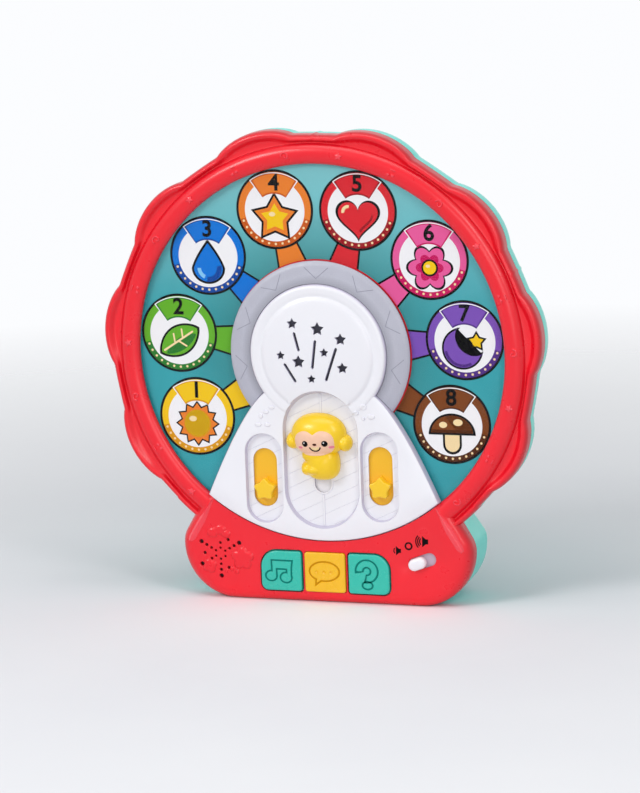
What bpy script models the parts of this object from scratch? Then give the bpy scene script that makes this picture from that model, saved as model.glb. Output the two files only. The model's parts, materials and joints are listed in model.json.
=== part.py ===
"""Light-and-sound learning wheel for toddlers: a lit number wheel on a stand, with a monkey
that is pushed down a track, two star sliders, three sound buttons and a volume switch.

Lengths are in metres, +Z is up and the front faces -Y. The origin is on the table, under the
middle of the stand. Outlines are drawn in the plane of the face as (x, z) with the wheel's
centre at zero, and depth is measured backwards from the plane of the wheel's face.
"""

import math

import bmesh
import bpy
from mathutils import Matrix, Vector

# Placing of the whole toy
FACE_Y = -0.021

# Gaps shared by every fit
FIT = 0.0003
RUNNING_FIT = 0.0004
OVERRUN = 0.003
CRUMB = 0.000002

# Walls
WALL = 0.0022
PARTING_DEPTH = 0.0085

# Main sizes: the dome, the tower's reach under it, and the stand's face below the window
DOME_R = 0.041
TOWER_HEIGHT = 0.069
WINDOW_R = DOME_R + TOWER_HEIGHT
STAND_FACE_HEIGHT = 0.037
WHEEL_HEIGHT = WINDOW_R + STAND_FACE_HEIGHT

# Wheel rim: a half-round ring inside a groove, and a wavy lip outside it
RING_WIDTH = 0.012
GROOVE_R = WINDOW_R + RING_WIDTH
LIP_REACH = 0.0052
WHEEL_R = GROOVE_R + LIP_REACH
LOBE_RISE = 0.0052
LOBE_SPREAD = math.radians(7.5)
RING_EDGE_DEPTH = 0.0009
RING_RISE = 0.0036
LIP_FOOT_GAP = 0.0012
LIP_WIDTH = 0.0060
LIP_CREST_INSET = 0.0030
LIP_CREST_DEPTH = -0.0011
LIP_SHOULDER_INSET = 0.0008
LIP_SHOULDER_DEPTH = 0.0016
LIP_SIDE_DEPTH = 0.0058
RIM_SEGMENTS = 86
RING_STEPS = 4
POCKET_LEDGE = 0.0033
POCKET_R = WINDOW_R + POCKET_LEDGE
POCKET_DEPTH = 0.0014
RIM_WALL = 0.0012
CAVITY_R = WHEEL_R - RIM_WALL
CAVITY_DEPTH = 0.0030
CAVITY_SEGMENTS = 32

# Back of the wheel
BACK_DEPTH = 0.034
BACK_ROLL_START = 0.014
BACK_ROLL_DEPTH = BACK_DEPTH - BACK_ROLL_START
BACK_ROUND_R = 0.025
BACK_STEPS = 3
BACK_DRAFT = 0.0006

# Sound buttons, which set the stand's width together with a panel on each side
BUTTON_WIDTH = 0.0246
BUTTON_BRIDGE = 0.0020
BUTTON_PITCH = BUTTON_WIDTH + BUTTON_BRIDGE
BUTTON_ROW_HALF = BUTTON_PITCH + BUTTON_WIDTH / 2
BUTTON_MARGIN = 0.00675
BUTTON_HEIGHT = STAND_FACE_HEIGHT - 2 * BUTTON_MARGIN
BUTTON_DROP = WINDOW_R + STAND_FACE_HEIGHT / 2
SIDE_PANEL_WIDTH = 0.0493

# Stand
BASE_HALF = BUTTON_ROW_HALF + SIDE_PANEL_WIDTH
BASE_SHOULDER_GAP = 0.0005
BASE_SHOULDER_DROP = WINDOW_R + BASE_SHOULDER_GAP
BASE_TOP_INSET = 0.0012
BASE_TOP_SPREAD = math.radians(41.1)
BASE_TOP_HALF = (WINDOW_R - BASE_TOP_INSET) * math.sin(BASE_TOP_SPREAD)
BASE_TOP_DROP = (WINDOW_R - BASE_TOP_INSET) * math.cos(BASE_TOP_SPREAD)
BASE_CORNER_GAP = 0.005
BASE_CORNER_R = STAND_FACE_HEIGHT - BASE_CORNER_GAP
BASE_SHOULDER_R = 0.016
BASE_TOP_R = 0.014
BASE_FACE_DEPTH = -0.0030
BASE_EDGE_INSET = 0.0050
BASE_EDGE_DEPTH = 0.0042
BASE_FOOT_TRIM = 0.0007
BASE_EDGE_STEPS = 3
BASE_BACK_DEPTH = 0.044
BASE_BACK_ROUND = 0.007
BASE_BACK_DRAFT = 0.0020
BASE_BACK_TOP_SLOPE = 0.004
BASE_BACK_STEPS = 3
BASE_CORNER_STEPS = (7, 7, 4, 1, 1, 4)

# Window and printed panel
WINDOW_DEPTH = 0.0017
WINDOW_THICK = 0.0012
ARTWORK_THICK = 0.0006
HUB_GAP = 0.002
HUB_R = DOME_R + HUB_GAP
WINDOW_SEGMENTS = 44
TOWER_LEDGE = 0.003

# Badges and their lights
BADGE_COUNT = 8
BADGE_INSET = 0.0233
BADGE_R = WINDOW_R - BADGE_INSET
BADGE_RIM_STEPS = 8
BADGE_PITCH = math.tau * BADGE_RIM_STEPS / RIM_SEGMENTS
LED_R = 0.0025
LED_LENGTH = 0.0048
LED_FLANGE_R = 0.0029
LED_FLANGE = 0.0010
LED_SEGMENTS = 6
LED_BOARD_STEPS = 20

# Light divider behind the printed panel
DIVIDER_GAP = 0.0023
DIVIDER_R = POCKET_R - DIVIDER_GAP
DIVIDER_INNER_GAP = 0.0056
DIVIDER_WALL = 0.0015
DIVIDER_FRONT_DEPTH = 0.0040
DIVIDER_BACK_DEPTH = 0.0152
DIVIDER_FOOT_ROOM = 0.020
DIVIDER_SEGMENTS = 26
DIVIDER_GATE_HALF = 0.024
DIVIDER_GATE_DROP = 0.030
LED_BOARD_THICK = 0.0016
LED_BOARD_HALF = 0.012
LED_BOARD_SWEEP = math.radians(252)
LED_POST_R = 0.0032
LED_POST_SPREAD = math.radians(100)

# Frosted ring round the dome
FROST_WIDTH = 0.013
FROST_OUTER_R = DOME_R + FROST_WIDTH
DIVIDER_INNER_R = FROST_OUTER_R + DIVIDER_INNER_GAP
FROST_RISE = 0.0022
FROST_EDGE_DROP = 0.0016
FROST_EDGE_ROUND = 0.0015
FROST_SEGMENTS = 40

# White tower: a dome over a flared panel
DOME_EDGE_DEPTH = -0.0047
DOME_EDGE_ROUND = 0.0024
DOME_BORDER = 0.0070
DOME_DISC_R = DOME_R - DOME_BORDER
DOME_STEP = 0.0007
DOME_CROWN = 0.0020
DOME_BACK_DEPTH = 0.0030
DOME_WALL = 0.0018
DOME_SEGMENTS = 40
TOWER_FACE_DEPTH = -0.0042
TOWER_THICK = 0.0040
TOWER_EDGE_ROUND = 0.0016
TOWER_RIM_WALL = 0.0016
TOWER_NECK_INSET = 0.00106
TOWER_NECK_SPREAD = math.radians(55.7)
TOWER_NECK_HALF = (DOME_R - TOWER_NECK_INSET) * math.sin(TOWER_NECK_SPREAD)
TOWER_NECK_DROP = (DOME_R - TOWER_NECK_INSET) * math.cos(TOWER_NECK_SPREAD)
TOWER_FLARE_REACH = 0.0145
TOWER_FLARE_FALL = 0.0110
TOWER_FOOT_SPREAD = math.radians(39.52)
TOWER_R = WINDOW_R - FIT / 2
TOWER_FOOT_HALF = TOWER_R * math.sin(TOWER_FOOT_SPREAD)
TOWER_FOOT_DROP = TOWER_R * math.cos(TOWER_FOOT_SPREAD)
TOWER_SIDE_STEPS = 7
TOWER_BOTTOM_STEPS = 14
TOWER_TAB_HALF = 0.005
TOWER_TAB_ROOT = 0.0022
TOWER_TAB_REACH = 0.0025
TOWER_TAB_THICK = 0.0015
TOWER_TAB_SPREAD = math.radians(28.5)

# Monkey track
TRACK_HALF = 0.0226
TRACK_HEAD_ROOM = 0.0119
TRACK_FOOT_MARGIN = 0.0077
TRACK_BOTTOM_DROP = WINDOW_R - TRACK_FOOT_MARGIN
TRACK_DEEP = 0.0028
TRACK_DRAFT = 0.0011
TRACK_BACKING = 0.0024
TRACK_SEGMENTS = 10
SLOT_SIDE_ROOM = 0.0004
SLOT_FOOT_MARGIN = 0.0209
SLOT_BOTTOM_DROP = TRACK_BOTTOM_DROP - SLOT_FOOT_MARGIN
SLOT_TOP_SPARE = 0.0045
SLOT_BOTTOM_SPARE = 0.0039
SLOT_SEGMENTS = 6

# Star sliders
POCKET_OFFSET = 0.0350
POCKET_HALF = 0.0112
POCKET_LENGTH = 0.0530
POCKET_DRAFT = 0.0006
SLIDER_SLOT_HALF = 0.0072
SLIDER_SLOT_LENGTH = 0.0345
SLIDER_FOOT_RISE = 0.0379
SLIDER_MIDDLE_DROP = WINDOW_R - SLIDER_FOOT_RISE
SLIDER_STAGGER = 0.0015
SLIDER_TRAVEL = 0.012
SLIDER_OVERLAP = 0.0015
SLIDER_THICK = 0.0015
STAR_R = 0.0066
STAR_WAIST_SHARE = 0.66
STAR_HEIGHT = 0.0055
STAR_ROUND = 0.0007
STAR_RISE_FROM_END = 0.0105
TRAY_WALL = 0.0012
TRAY_FLOOR = 0.0010
POCKET_SEGMENTS = 8
SLIDER_SEGMENTS = 5

# Monkey knob, in front of the track
HEAD_HALF = 0.0160
HEAD_HALF_TALL = 0.0130
HEAD_THICK = 0.0115
EAR_R = 0.0050
EAR_OFFSET = 0.0168
EAR_DROP = 0.0022
EAR_THICK = 0.0070
BODY_HALF = 0.0116
BODY_HALF_TALL = 0.0092
BODY_DROP = 0.0172
BODY_THICK = 0.0095
ARM_R = 0.0046
ARM_OFFSET = 0.0098
ARM_DROP = 0.0190
ARM_THICK = 0.0078
STEM_HALF = 0.0046
STEM_HALF_TALL = 0.0060
STEM_DROP = 0.0110
MONKEY_TRAVEL = 0.014
SLOT_HALF = STEM_HALF + SLOT_SIDE_ROOM
SLOT_TOP_DROP = (SLOT_BOTTOM_DROP - SLOT_BOTTOM_SPARE - MONKEY_TRAVEL - 2 * STEM_HALF_TALL
                 - SLOT_TOP_SPARE)
MONKEY_DROP = SLOT_TOP_DROP + SLOT_TOP_SPARE + STEM_HALF_TALL - STEM_DROP
TRACK_TOP_DROP = MONKEY_DROP - HEAD_HALF_TALL - TRACK_HEAD_ROOM
HEAD_SEGMENTS = 20
BODY_SEGMENTS = 14
EAR_SEGMENTS = 10
HEAD_LEVELS = 8
EAR_LEVELS = 6
CARRIAGE_HALF = 0.0075
CARRIAGE_THICK = 0.0020
CARRIAGE_OVERLAP = 0.0020
GUIDE_WALL = 0.0014
GUIDE_FLOOR = 0.0012
GUIDE_ROOM = 0.0020
GUIDE_REACH = 0.0050
GUIDE_END_DROP = TRACK_BOTTOM_DROP + GUIDE_REACH
GUIDE_EAR = 0.0070
GUIDE_EAR_THICK = 0.0012
STAKE_R = 0.0013
STAKE_LENGTH = 0.0024
SPRING_R = 0.0016
SPRING_WIRE_R = 0.0003
SPRING_TURNS = 5
SPRING_TURN_POINTS = 6

# Dome holes, as fireworks: stars and streaks, as shares of the dome's disc radius
DOME_STAR_SHARES = (
    (-0.41, 0.54, 0.088),
    (0.04, 0.46, 0.110),
    (0.44, 0.29, 0.097),
    (-0.63, -0.01, 0.073),
    (-0.31, -0.11, 0.106),
    (0.15, 0.06, 0.073),
    (0.46, -0.20, 0.091),
    (-0.09, -0.40, 0.070),
)
DOME_STREAK_SHARES = (
    (-0.375, 0.38, -0.30, 0.09),
    (-0.003, 0.255, -0.065, -0.205),
    (0.36, 0.13, 0.17, -0.41),
    (-0.56, -0.16, -0.38, -0.45),
)
DOME_STREAK_HALF = 0.0007

# Screws
SCREW_R = 0.00145
SCREW_HEAD_R = 0.0031
SCREW_HEAD = 0.0020
SCREW_SEGMENTS = 6
WELL_SEGMENTS = 8
PILOT_GAP = 0.0003
BOSS_R = 0.0034
BOSS_RIM_GAP = 0.0010
BOSS_MEET_DEPTH = 0.0120
BOSS_FLOOR = 0.0032
WELL_R = 0.0037
WELL_WALL = 0.0015
BOSS_ORBIT = CAVITY_R - WELL_R - WELL_WALL - BOSS_RIM_GAP
CASE_BOSS_ANGLES = tuple(math.radians(angle) for angle in (0, 50, 100, -50, -100))
BASE_BOSS_GAP = 0.0057
BASE_BOSS_OFFSET = BUTTON_ROW_HALF + BASE_BOSS_GAP
BASE_BOSS_RISE = 0.008
BASE_BOSS_DROP = WHEEL_HEIGHT - BASE_BOSS_RISE
CASE_SCREW_LENGTH = 0.011
DOME_BOSS_OFFSET = 0.022
DOME_BOSS_RISE = 0.012
DOME_SCREW_LENGTH = 0.008
CARRIAGE_SCREW_R = 0.0012
CARRIAGE_SCREW_HEAD_R = 0.0024
CARRIAGE_SCREW_HEAD = 0.0013
CARRIAGE_SCREW_LENGTH = 0.0070

# Sound buttons: their caps, keypad and board
BUTTON_PROUD = 0.0014
BUTTON_GAP = 0.0004
BUTTON_ROUND = 0.0008
BUTTON_CORNER_R = 0.0016
BUTTON_OUTER_CORNER_R = 0.0095
BUTTON_LOWER_CORNER_R = 0.0040
BUTTON_FLANGE = 0.0006
BUTTON_FLANGE_THICK = 0.0011
BUTTON_STEM_HALF = 0.0045
BUTTON_STEM = 0.0019
BUTTON_TRAVEL = 0.0015
PAD_DOME_R = 0.0050
PAD_DOME_TOP_R = 0.0038
PAD_DOME_RISE = 0.0024
PAD_SHEET = 0.0010
PAD_MARGIN = 0.0010
BOARD_THICK = 0.0016
BOARD_SIDE_MARGIN = 0.0011
BOARD_TOP_MARGIN = 0.00575
BOARD_BOTTOM_MARGIN = 0.00275
BOARD_HALF = BUTTON_ROW_HALF + BOARD_SIDE_MARGIN
BOARD_TOP_DROP = BUTTON_DROP - BUTTON_HEIGHT / 2 - BOARD_TOP_MARGIN
BOARD_BOTTOM_DROP = BUTTON_DROP + BUTTON_HEIGHT / 2 + BOARD_BOTTOM_MARGIN
BOARD_WING_REACH = 0.0116
BOARD_WING_RISE = 0.0122
BOARD_WING_FALL = 0.0133

# Volume switch
SWITCH_INSET = 0.0298
SWITCH_X = BASE_HALF - SWITCH_INSET
SWITCH_RISE = 0.0268
SWITCH_DROP = WHEEL_HEIGHT - SWITCH_RISE
SWITCH_TILT = math.radians(20)
SWITCH_SLOT_LENGTH = 0.0172
SWITCH_SLOT_HALF = 0.0039
SWITCH_KNOB_LENGTH = 0.0108
SWITCH_KNOB_HALF = 0.0035
SWITCH_PROUD = 0.0020
SWITCH_TRAVEL = 0.0056
SWITCH_DISH_HALF = 0.0125
SWITCH_DISH_HALF_TALL = 0.0078
SWITCH_DISH_DEEP = 0.0011
SWITCH_FLANGE = 0.0012
SWITCH_FLANGE_THICK = 0.0011
SWITCH_FORK_HALF = 0.0020
SWITCH_FORK = 0.0018
SWITCH_BODY_HALF = 0.0075
SWITCH_BODY_HALF_TALL = 0.0036
SWITCH_SEGMENTS = 6
DISH_SEGMENTS = 20

# Loudspeaker
SPEAKER_INSET = 0.0241
SPEAKER_X = SPEAKER_INSET - BASE_HALF
SPEAKER_RISE = 0.027
SPEAKER_DROP = WHEEL_HEIGHT - SPEAKER_RISE
SPEAKER_R = 0.0145
SPEAKER_FLANGE = 0.0012
SPEAKER_BASKET_R = 0.0115
SPEAKER_MAGNET_R = 0.0090
SPEAKER_BASKET = 0.0042
SPEAKER_MAGNET = 0.0040
SPEAKER_SEGMENTS = 14
COLLAR_WALL = 0.0012
COLLAR_DEEP = 0.0030
SOUND_HOLE_ORBITS = (0.0033, 0.0064, 0.0097, 0.0134)
SOUND_HOLE_RADII = (0.00060, 0.00070, 0.00080, 0.00115)
SOUND_RAY_ANGLES = tuple(math.radians(angle) for angle in (30, 90, 150, 210, 270, 330))
SOUND_RAY_COUNTS = (4, 2, 4, 4, 4, 1)
SOUND_BETWEEN_ANGLES = tuple(math.radians(angle) for angle in (60, 180, 300))
SOUND_HOLE_SEGMENTS = 6

# Battery bay, for three AAA cells
CELL_R = 0.00525
CELL_LENGTH = 0.0430
CELL_NUB_R = 0.0019
CELL_NUB = 0.0010
CELL_PITCH = 0.0112
CELL_COUNT = 3
CELL_SEGMENTS = 11
BAY_RISE = 0.0280
BAY_DROP = WHEEL_HEIGHT - BAY_RISE
BAY_END_ROOM = 0.0032
BAY_WALL = 0.0016
CONTACT_THICK = 0.0004
CONTACT_CONE_R = 0.0030
CONTACT_CONE_TIP_R = 0.0014
CONTACT_CONE = 0.0020
CONTACT_DIMPLE = 0.0008
DOOR_MARGIN = 0.0030
DOOR_THICK = 0.0020
DOOR_CORNER_R = 0.0030
DOOR_SCREW_TAB = 0.0075
DOOR_SCREW_LENGTH = 0.0070


# Materials

def plastic(name, colour, roughness=0.35, metallic=0.0, alpha=1.0):
    material = bpy.data.materials.new(name)
    material.use_nodes = True
    shader = material.node_tree.nodes["Principled BSDF"]
    shader.inputs["Base Color"].default_value = (*colour, 1.0)
    shader.inputs["Roughness"].default_value = roughness
    shader.inputs["Metallic"].default_value = metallic
    shader.inputs["Alpha"].default_value = alpha
    material.diffuse_color = (*colour, alpha)
    return material


MATERIAL_TABLE = {
    "red_shell": dict(colour=(0.80, 0.03, 0.05), roughness=0.28),
    "teal_shell": dict(colour=(0.09, 0.62, 0.50), roughness=0.32),
    "clear_window": dict(colour=(0.95, 0.97, 0.98), roughness=0.08, alpha=0.15),
    "printed_panel": dict(colour=(0.06, 0.36, 0.38), roughness=0.40),
    "white_plastic": dict(colour=(0.88, 0.88, 0.93), roughness=0.35),
    "frosted_plastic": dict(colour=(0.55, 0.56, 0.62), roughness=0.55, alpha=0.85),
    "divider_plastic": dict(colour=(0.85, 0.85, 0.84), roughness=0.50),
    "monkey_yellow": dict(colour=(1.0, 0.68, 0.03), roughness=0.32),
    "slider_orange": dict(colour=(0.95, 0.48, 0.02), roughness=0.32),
    "button_teal": dict(colour=(0.06, 0.50, 0.42), roughness=0.35),
    "button_yellow": dict(colour=(0.90, 0.46, 0.02), roughness=0.35),
    "silicone": dict(colour=(0.60, 0.60, 0.60), roughness=0.60),
    "circuit_board": dict(colour=(0.04, 0.22, 0.10), roughness=0.45),
    "steel": dict(colour=(0.55, 0.56, 0.58), roughness=0.30, metallic=1.0),
    "switch_steel": dict(colour=(0.50, 0.51, 0.53), roughness=0.35, metallic=1.0),
    "speaker_black": dict(colour=(0.03, 0.03, 0.03), roughness=0.50),
    "led_clear": dict(colour=(0.90, 0.92, 0.95), roughness=0.15),
    "cell_wrap": dict(colour=(0.12, 0.13, 0.15), roughness=0.30),
}


# Outlines, as (x, z) points taken anticlockwise

def circle(centre, radius, segments):
    steps = [math.tau * step / segments for step in range(segments)]
    return [(centre[0] + radius * math.cos(turn), centre[1] + radius * math.sin(turn))
            for turn in steps]


def stadium(centre, half_width, length, segments):
    """A slot with round ends, its long axis upright."""
    rise = length / 2 - half_width
    upper = [math.pi * step / segments for step in range(segments + 1)]
    points = [(centre[0] + half_width * math.cos(turn),
               centre[1] + rise + half_width * math.sin(turn)) for turn in upper]
    points += [(centre[0] - half_width * math.cos(turn),
                centre[1] - rise - half_width * math.sin(turn)) for turn in upper]
    return points


def star(centre, radius, waist_share=STAR_WAIST_SHARE):
    """A five-pointed star with one tip up."""
    points = []
    for step in range(10):
        turn = math.pi / 2 + math.pi * step / 5
        reach = radius if step % 2 == 0 else radius * waist_share
        points.append((centre[0] + reach * math.cos(turn), centre[1] + reach * math.sin(turn)))
    return points


def rectangle(left, bottom, right, top):
    return [(left, bottom), (right, bottom), (right, top), (left, top)]


def rounded(corners, radii, steps):
    """A polygon whose corners are arcs; a radius of zero keeps the corner sharp."""
    points = []
    count = len(corners)
    for index, corner in enumerate(corners):
        here = Vector(corner)
        before = (Vector(corners[index - 1]) - here).normalized()
        after = (Vector(corners[(index + 1) % count]) - here).normalized()
        if radii[index] == 0:
            points.append(corner)
            continue
        half = before.angle(after) / 2
        middle = here + (before + after).normalized() * radii[index] / math.sin(half)
        start = here + before * radii[index] / math.tan(half) - middle
        sweep = math.pi - 2 * half
        for step in range(steps[index] + 1):
            turn = sweep * step / steps[index]
            spoke = Matrix.Rotation(turn, 2) @ start
            points.append((middle.x + spoke.x, middle.y + spoke.y))
    return points


def offset(outline, distance):
    """Moves every edge outwards by distance, or inwards when it is negative."""
    moved = []
    count = len(outline)
    for index, point in enumerate(outline):
        here = Vector(point)
        along_in = (here - Vector(outline[index - 1])).normalized()
        along_out = (Vector(outline[(index + 1) % count]) - here).normalized()
        normal_in = Vector((along_in.y, -along_in.x))
        normal_out = Vector((along_out.y, -along_out.x))
        bisector = (normal_in + normal_out).normalized()
        reach = distance / bisector.dot(normal_in)
        moved.append((here.x + bisector.x * reach, here.y + bisector.y * reach))
    return moved


def turned(outline, centre, angle):
    cosine = math.cos(angle)
    sine = math.sin(angle)
    points = []
    for x, z in outline:
        across = x - centre[0]
        up = z - centre[1]
        points.append((centre[0] + across * cosine - up * sine,
                       centre[1] + across * sine + up * cosine))
    return points


def polar(angle, radius):
    """A point at an angle from the top of the wheel, clockwise seen from the front."""
    return (radius * math.sin(angle), radius * math.cos(angle))


# Solids

def at_depth(outline, depth):
    return [(x, FACE_Y + depth, WHEEL_HEIGHT + z) for x, z in outline]


def make_object(name, vertices, faces):
    mesh = bpy.data.meshes.new(name)
    mesh.from_pydata(vertices, [], faces)
    shape = bmesh.new()
    shape.from_mesh(mesh)
    bmesh.ops.recalc_face_normals(shape, faces=shape.faces)
    shape.to_mesh(mesh)
    shape.free()
    created = bpy.data.objects.new(name, mesh)
    bpy.context.scene.collection.objects.link(created)
    return created


def loft(name, rings, closed=False):
    """Skins rings of points; a closed loft joins its last ring to its first."""
    count = len(rings[0])
    vertices = [point for ring in rings for point in ring]
    faces = []
    pairs = len(rings) if closed else len(rings) - 1
    for level in range(pairs):
        lower = level * count
        upper = (level + 1) % len(rings) * count
        for step in range(count):
            after = (step + 1) % count
            faces.append((lower + step, lower + after, upper + after, upper + step))
    if not closed:
        faces.append(tuple(range(count)))
        faces.append(tuple(range(len(vertices) - count, len(vertices))))
    return make_object(name, vertices, faces)


def plate(name, outline, front, back):
    return loft(name, [at_depth(outline, front), at_depth(outline, back)])


def stack(name, levels):
    """A solid from (outline, depth) levels, front to back."""
    return loft(name, [at_depth(outline, depth) for outline, depth in levels])


def turned_solid(name, centre, profile, segments):
    """Revolves (radius, depth) points about an axis along Y; both ends are capped."""
    return stack(name, [(circle(centre, radius, segments), depth) for radius, depth in profile])


def turned_ring(name, centre, profile, segments):
    """Revolves a closed (radius, depth) section about an axis along Y."""
    rings = [at_depth(circle(centre, radius, segments), depth) for radius, depth in profile]
    return loft(name, rings, closed=True)


def ellipsoid(name, centre, half_width, half_tall, depth_back, thick, segments, levels):
    """A pebble whose back lies at depth_back and whose crown stands thick in front of it."""
    shape = bmesh.new()
    bmesh.ops.create_uvsphere(shape, u_segments=segments, v_segments=levels, radius=1)
    place = Matrix.Translation((centre[0], FACE_Y + depth_back, WHEEL_HEIGHT + centre[1]))
    size = Matrix.Diagonal((half_width, thick, half_tall, 1))
    shape.transform(place @ size @ Matrix.Rotation(math.pi / 2, 4, "X"))
    mesh = bpy.data.meshes.new(name)
    shape.to_mesh(mesh)
    shape.free()
    created = bpy.data.objects.new(name, mesh)
    bpy.context.scene.collection.objects.link(created)
    return created


def tidy(target):
    """Welds the crumbs that a Boolean leaves along its seams."""
    shape = bmesh.new()
    shape.from_mesh(target.data)
    bmesh.ops.remove_doubles(shape, verts=shape.verts, dist=CRUMB)
    bmesh.ops.dissolve_degenerate(shape, edges=shape.edges, dist=CRUMB)
    loose = [edge for edge in shape.edges if not edge.link_faces]
    bmesh.ops.delete(shape, geom=loose, context="EDGES")
    shape.to_mesh(target.data)
    shape.free()


def combine(target, tool, operation):
    """Applies one Boolean and removes the tool."""
    step = target.modifiers.new(operation.lower(), "BOOLEAN")
    step.object = tool
    step.operation = operation
    step.solver = "EXACT"
    bpy.context.view_layer.update()
    graph = bpy.context.evaluated_depsgraph_get()
    result = bpy.data.meshes.new_from_object(target.evaluated_get(graph))
    target.modifiers.remove(step)
    target.data = result
    tidy(target)
    bpy.data.objects.remove(tool)


def join(target, *tools):
    for tool in tools:
        combine(target, tool, "UNION")


def cut(target, *tools):
    for tool in tools:
        combine(target, tool, "DIFFERENCE")


def keep_common(target, tool):
    combine(target, tool, "INTERSECT")


def gather(name, pieces):
    """Puts separate solids that don't touch into one object, to cut or join them in one step."""
    shape = bmesh.new()
    for piece in pieces:
        shape.from_mesh(piece.data)
        bpy.data.objects.remove(piece)
    mesh = bpy.data.meshes.new(name)
    shape.to_mesh(mesh)
    shape.free()
    created = bpy.data.objects.new(name, mesh)
    bpy.context.scene.collection.objects.link(created)
    return created


def finish(piece, name, material, pivot=None):
    """Names the piece, gives it its material and puts its origin at pivot, in world space."""
    piece.name = name
    piece.data.name = name
    piece.data.materials.clear()
    piece.data.materials.append(material)
    piece.data.shade_smooth()
    piece.data.set_sharp_from_angle(angle=math.radians(32))
    if pivot is not None:
        piece.data.transform(Matrix.Translation(-Vector(pivot)))
        piece.location = pivot
    return piece


def world_point(outline_point, depth):
    return (outline_point[0], FACE_Y + depth, WHEEL_HEIGHT + outline_point[1])


# Shared outlines of the case

def wheel_radius(angle):
    """Radius of the wavy lip, which swells outside each badge."""
    swell = 0.0
    for index in range(BADGE_COUNT):
        away = angle - badge_angle(index)
        swell += math.exp(-((away / LOBE_SPREAD) ** 2))
    return WHEEL_R + LOBE_RISE * swell


def rim_angles():
    return [math.pi - math.tau * step / RIM_SEGMENTS for step in range(RIM_SEGMENTS)]


def wheel_outline(inset=0.0):
    return [polar(angle, wheel_radius(angle) - inset) for angle in rim_angles()]


def rim_circle(radius):
    return [polar(angle, radius) for angle in rim_angles()]


def base_outline(inset=0.0, lift=None, droop=0.0):
    """The stand's outline drawn in by inset. A lift sets how far its foot rises instead, and
    droop lowers its top as well."""
    foot = -WHEEL_HEIGHT
    corners = [(-BASE_HALF, foot), (BASE_HALF, foot), (BASE_HALF, -BASE_SHOULDER_DROP),
               (BASE_TOP_HALF, -BASE_TOP_DROP), (-BASE_TOP_HALF, -BASE_TOP_DROP),
               (-BASE_HALF, -BASE_SHOULDER_DROP)]
    radii = [BASE_CORNER_R, BASE_CORNER_R, BASE_SHOULDER_R, BASE_TOP_R, BASE_TOP_R,
             BASE_SHOULDER_R]
    drawn = rounded(offset(corners, -inset), [radius - inset for radius in radii],
                    BASE_CORNER_STEPS)
    waist = -BASE_SHOULDER_DROP
    foot_share = (waist - foot - (inset if lift is None else lift)) / (waist - foot - inset)
    rise = waist + BASE_TOP_DROP + inset
    top_share = (rise + droop) / rise
    return [(x, waist + (z - waist) * (foot_share if z < waist else top_share))
            for x, z in drawn]


def tower_outline():
    """The flared panel under the dome: two swept sides over an arc of the window's radius."""
    side = []
    for step in range(TOWER_SIDE_STEPS + 1):
        share = step / TOWER_SIDE_STEPS
        blend = (1 - share) ** 2, 2 * share * (1 - share), share ** 2
        half = (blend[0] * TOWER_NECK_HALF + blend[1] * (TOWER_NECK_HALF + TOWER_FLARE_REACH)
                + blend[2] * TOWER_FOOT_HALF)
        drop = (blend[0] * TOWER_NECK_DROP + blend[1] * (TOWER_NECK_DROP + TOWER_FLARE_FALL)
                + blend[2] * TOWER_FOOT_DROP)
        side.append((half, -drop))
    arc = []
    for step in range(1, TOWER_BOTTOM_STEPS):
        angle = TOWER_FOOT_SPREAD * (2 * step / TOWER_BOTTOM_STEPS - 1)
        arc.append((TOWER_R * math.sin(angle), -TOWER_R * math.cos(angle)))
    return [(-half, z) for half, z in side] + arc + side[::-1]


def slider_middle(sign):
    """Centre of a star slider's slot; the right one stands a little higher than the left."""
    return (sign * POCKET_OFFSET, -SLIDER_MIDDLE_DROP + sign * SLIDER_STAGGER)


def badge_angle(index):
    return (index - (BADGE_COUNT - 1) / 2) * BADGE_PITCH


def tower_back():
    return TOWER_FACE_DEPTH + TOWER_THICK


def base_inner():
    return BASE_FACE_DEPTH + WALL


def case_boss_points():
    points = [polar(angle, BOSS_ORBIT) for angle in CASE_BOSS_ANGLES]
    points.append((-BASE_BOSS_OFFSET, -BASE_BOSS_DROP))
    points.append((BASE_BOSS_OFFSET, -BASE_BOSS_DROP))
    return points


def button_outline(index, grow=0.0):
    """Button 0 is on the left; its outer corners are the large ones, as on button 2."""
    middle = (index - 1) * BUTTON_PITCH
    corners = rectangle(middle - BUTTON_WIDTH / 2, -BUTTON_DROP - BUTTON_HEIGHT / 2,
                        middle + BUTTON_WIDTH / 2, -BUTTON_DROP + BUTTON_HEIGHT / 2)
    radii = [BUTTON_CORNER_R] * 4
    if index == 0:
        radii = [BUTTON_LOWER_CORNER_R, BUTTON_CORNER_R, BUTTON_CORNER_R, BUTTON_OUTER_CORNER_R]
    if index == 2:
        radii = [BUTTON_CORNER_R, BUTTON_LOWER_CORNER_R, BUTTON_OUTER_CORNER_R, BUTTON_CORNER_R]
    steps = [4 if radius > BUTTON_CORNER_R else 2 for radius in radii]
    return offset(rounded(corners, radii, steps), grow)


def switch_outline(length, half_width, slide=0.0):
    """A slot lying along the switch's tilted travel, moved along it by slide."""
    centre = (SWITCH_X, -SWITCH_DROP)
    upright = stadium(centre, half_width, length, SWITCH_SEGMENTS)
    lying = turned(upright, centre, SWITCH_TILT - math.pi / 2)
    shift = (slide * math.cos(SWITCH_TILT), slide * math.sin(SWITCH_TILT))
    return [(x + shift[0], z + shift[1]) for x, z in lying]


# Case

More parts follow.
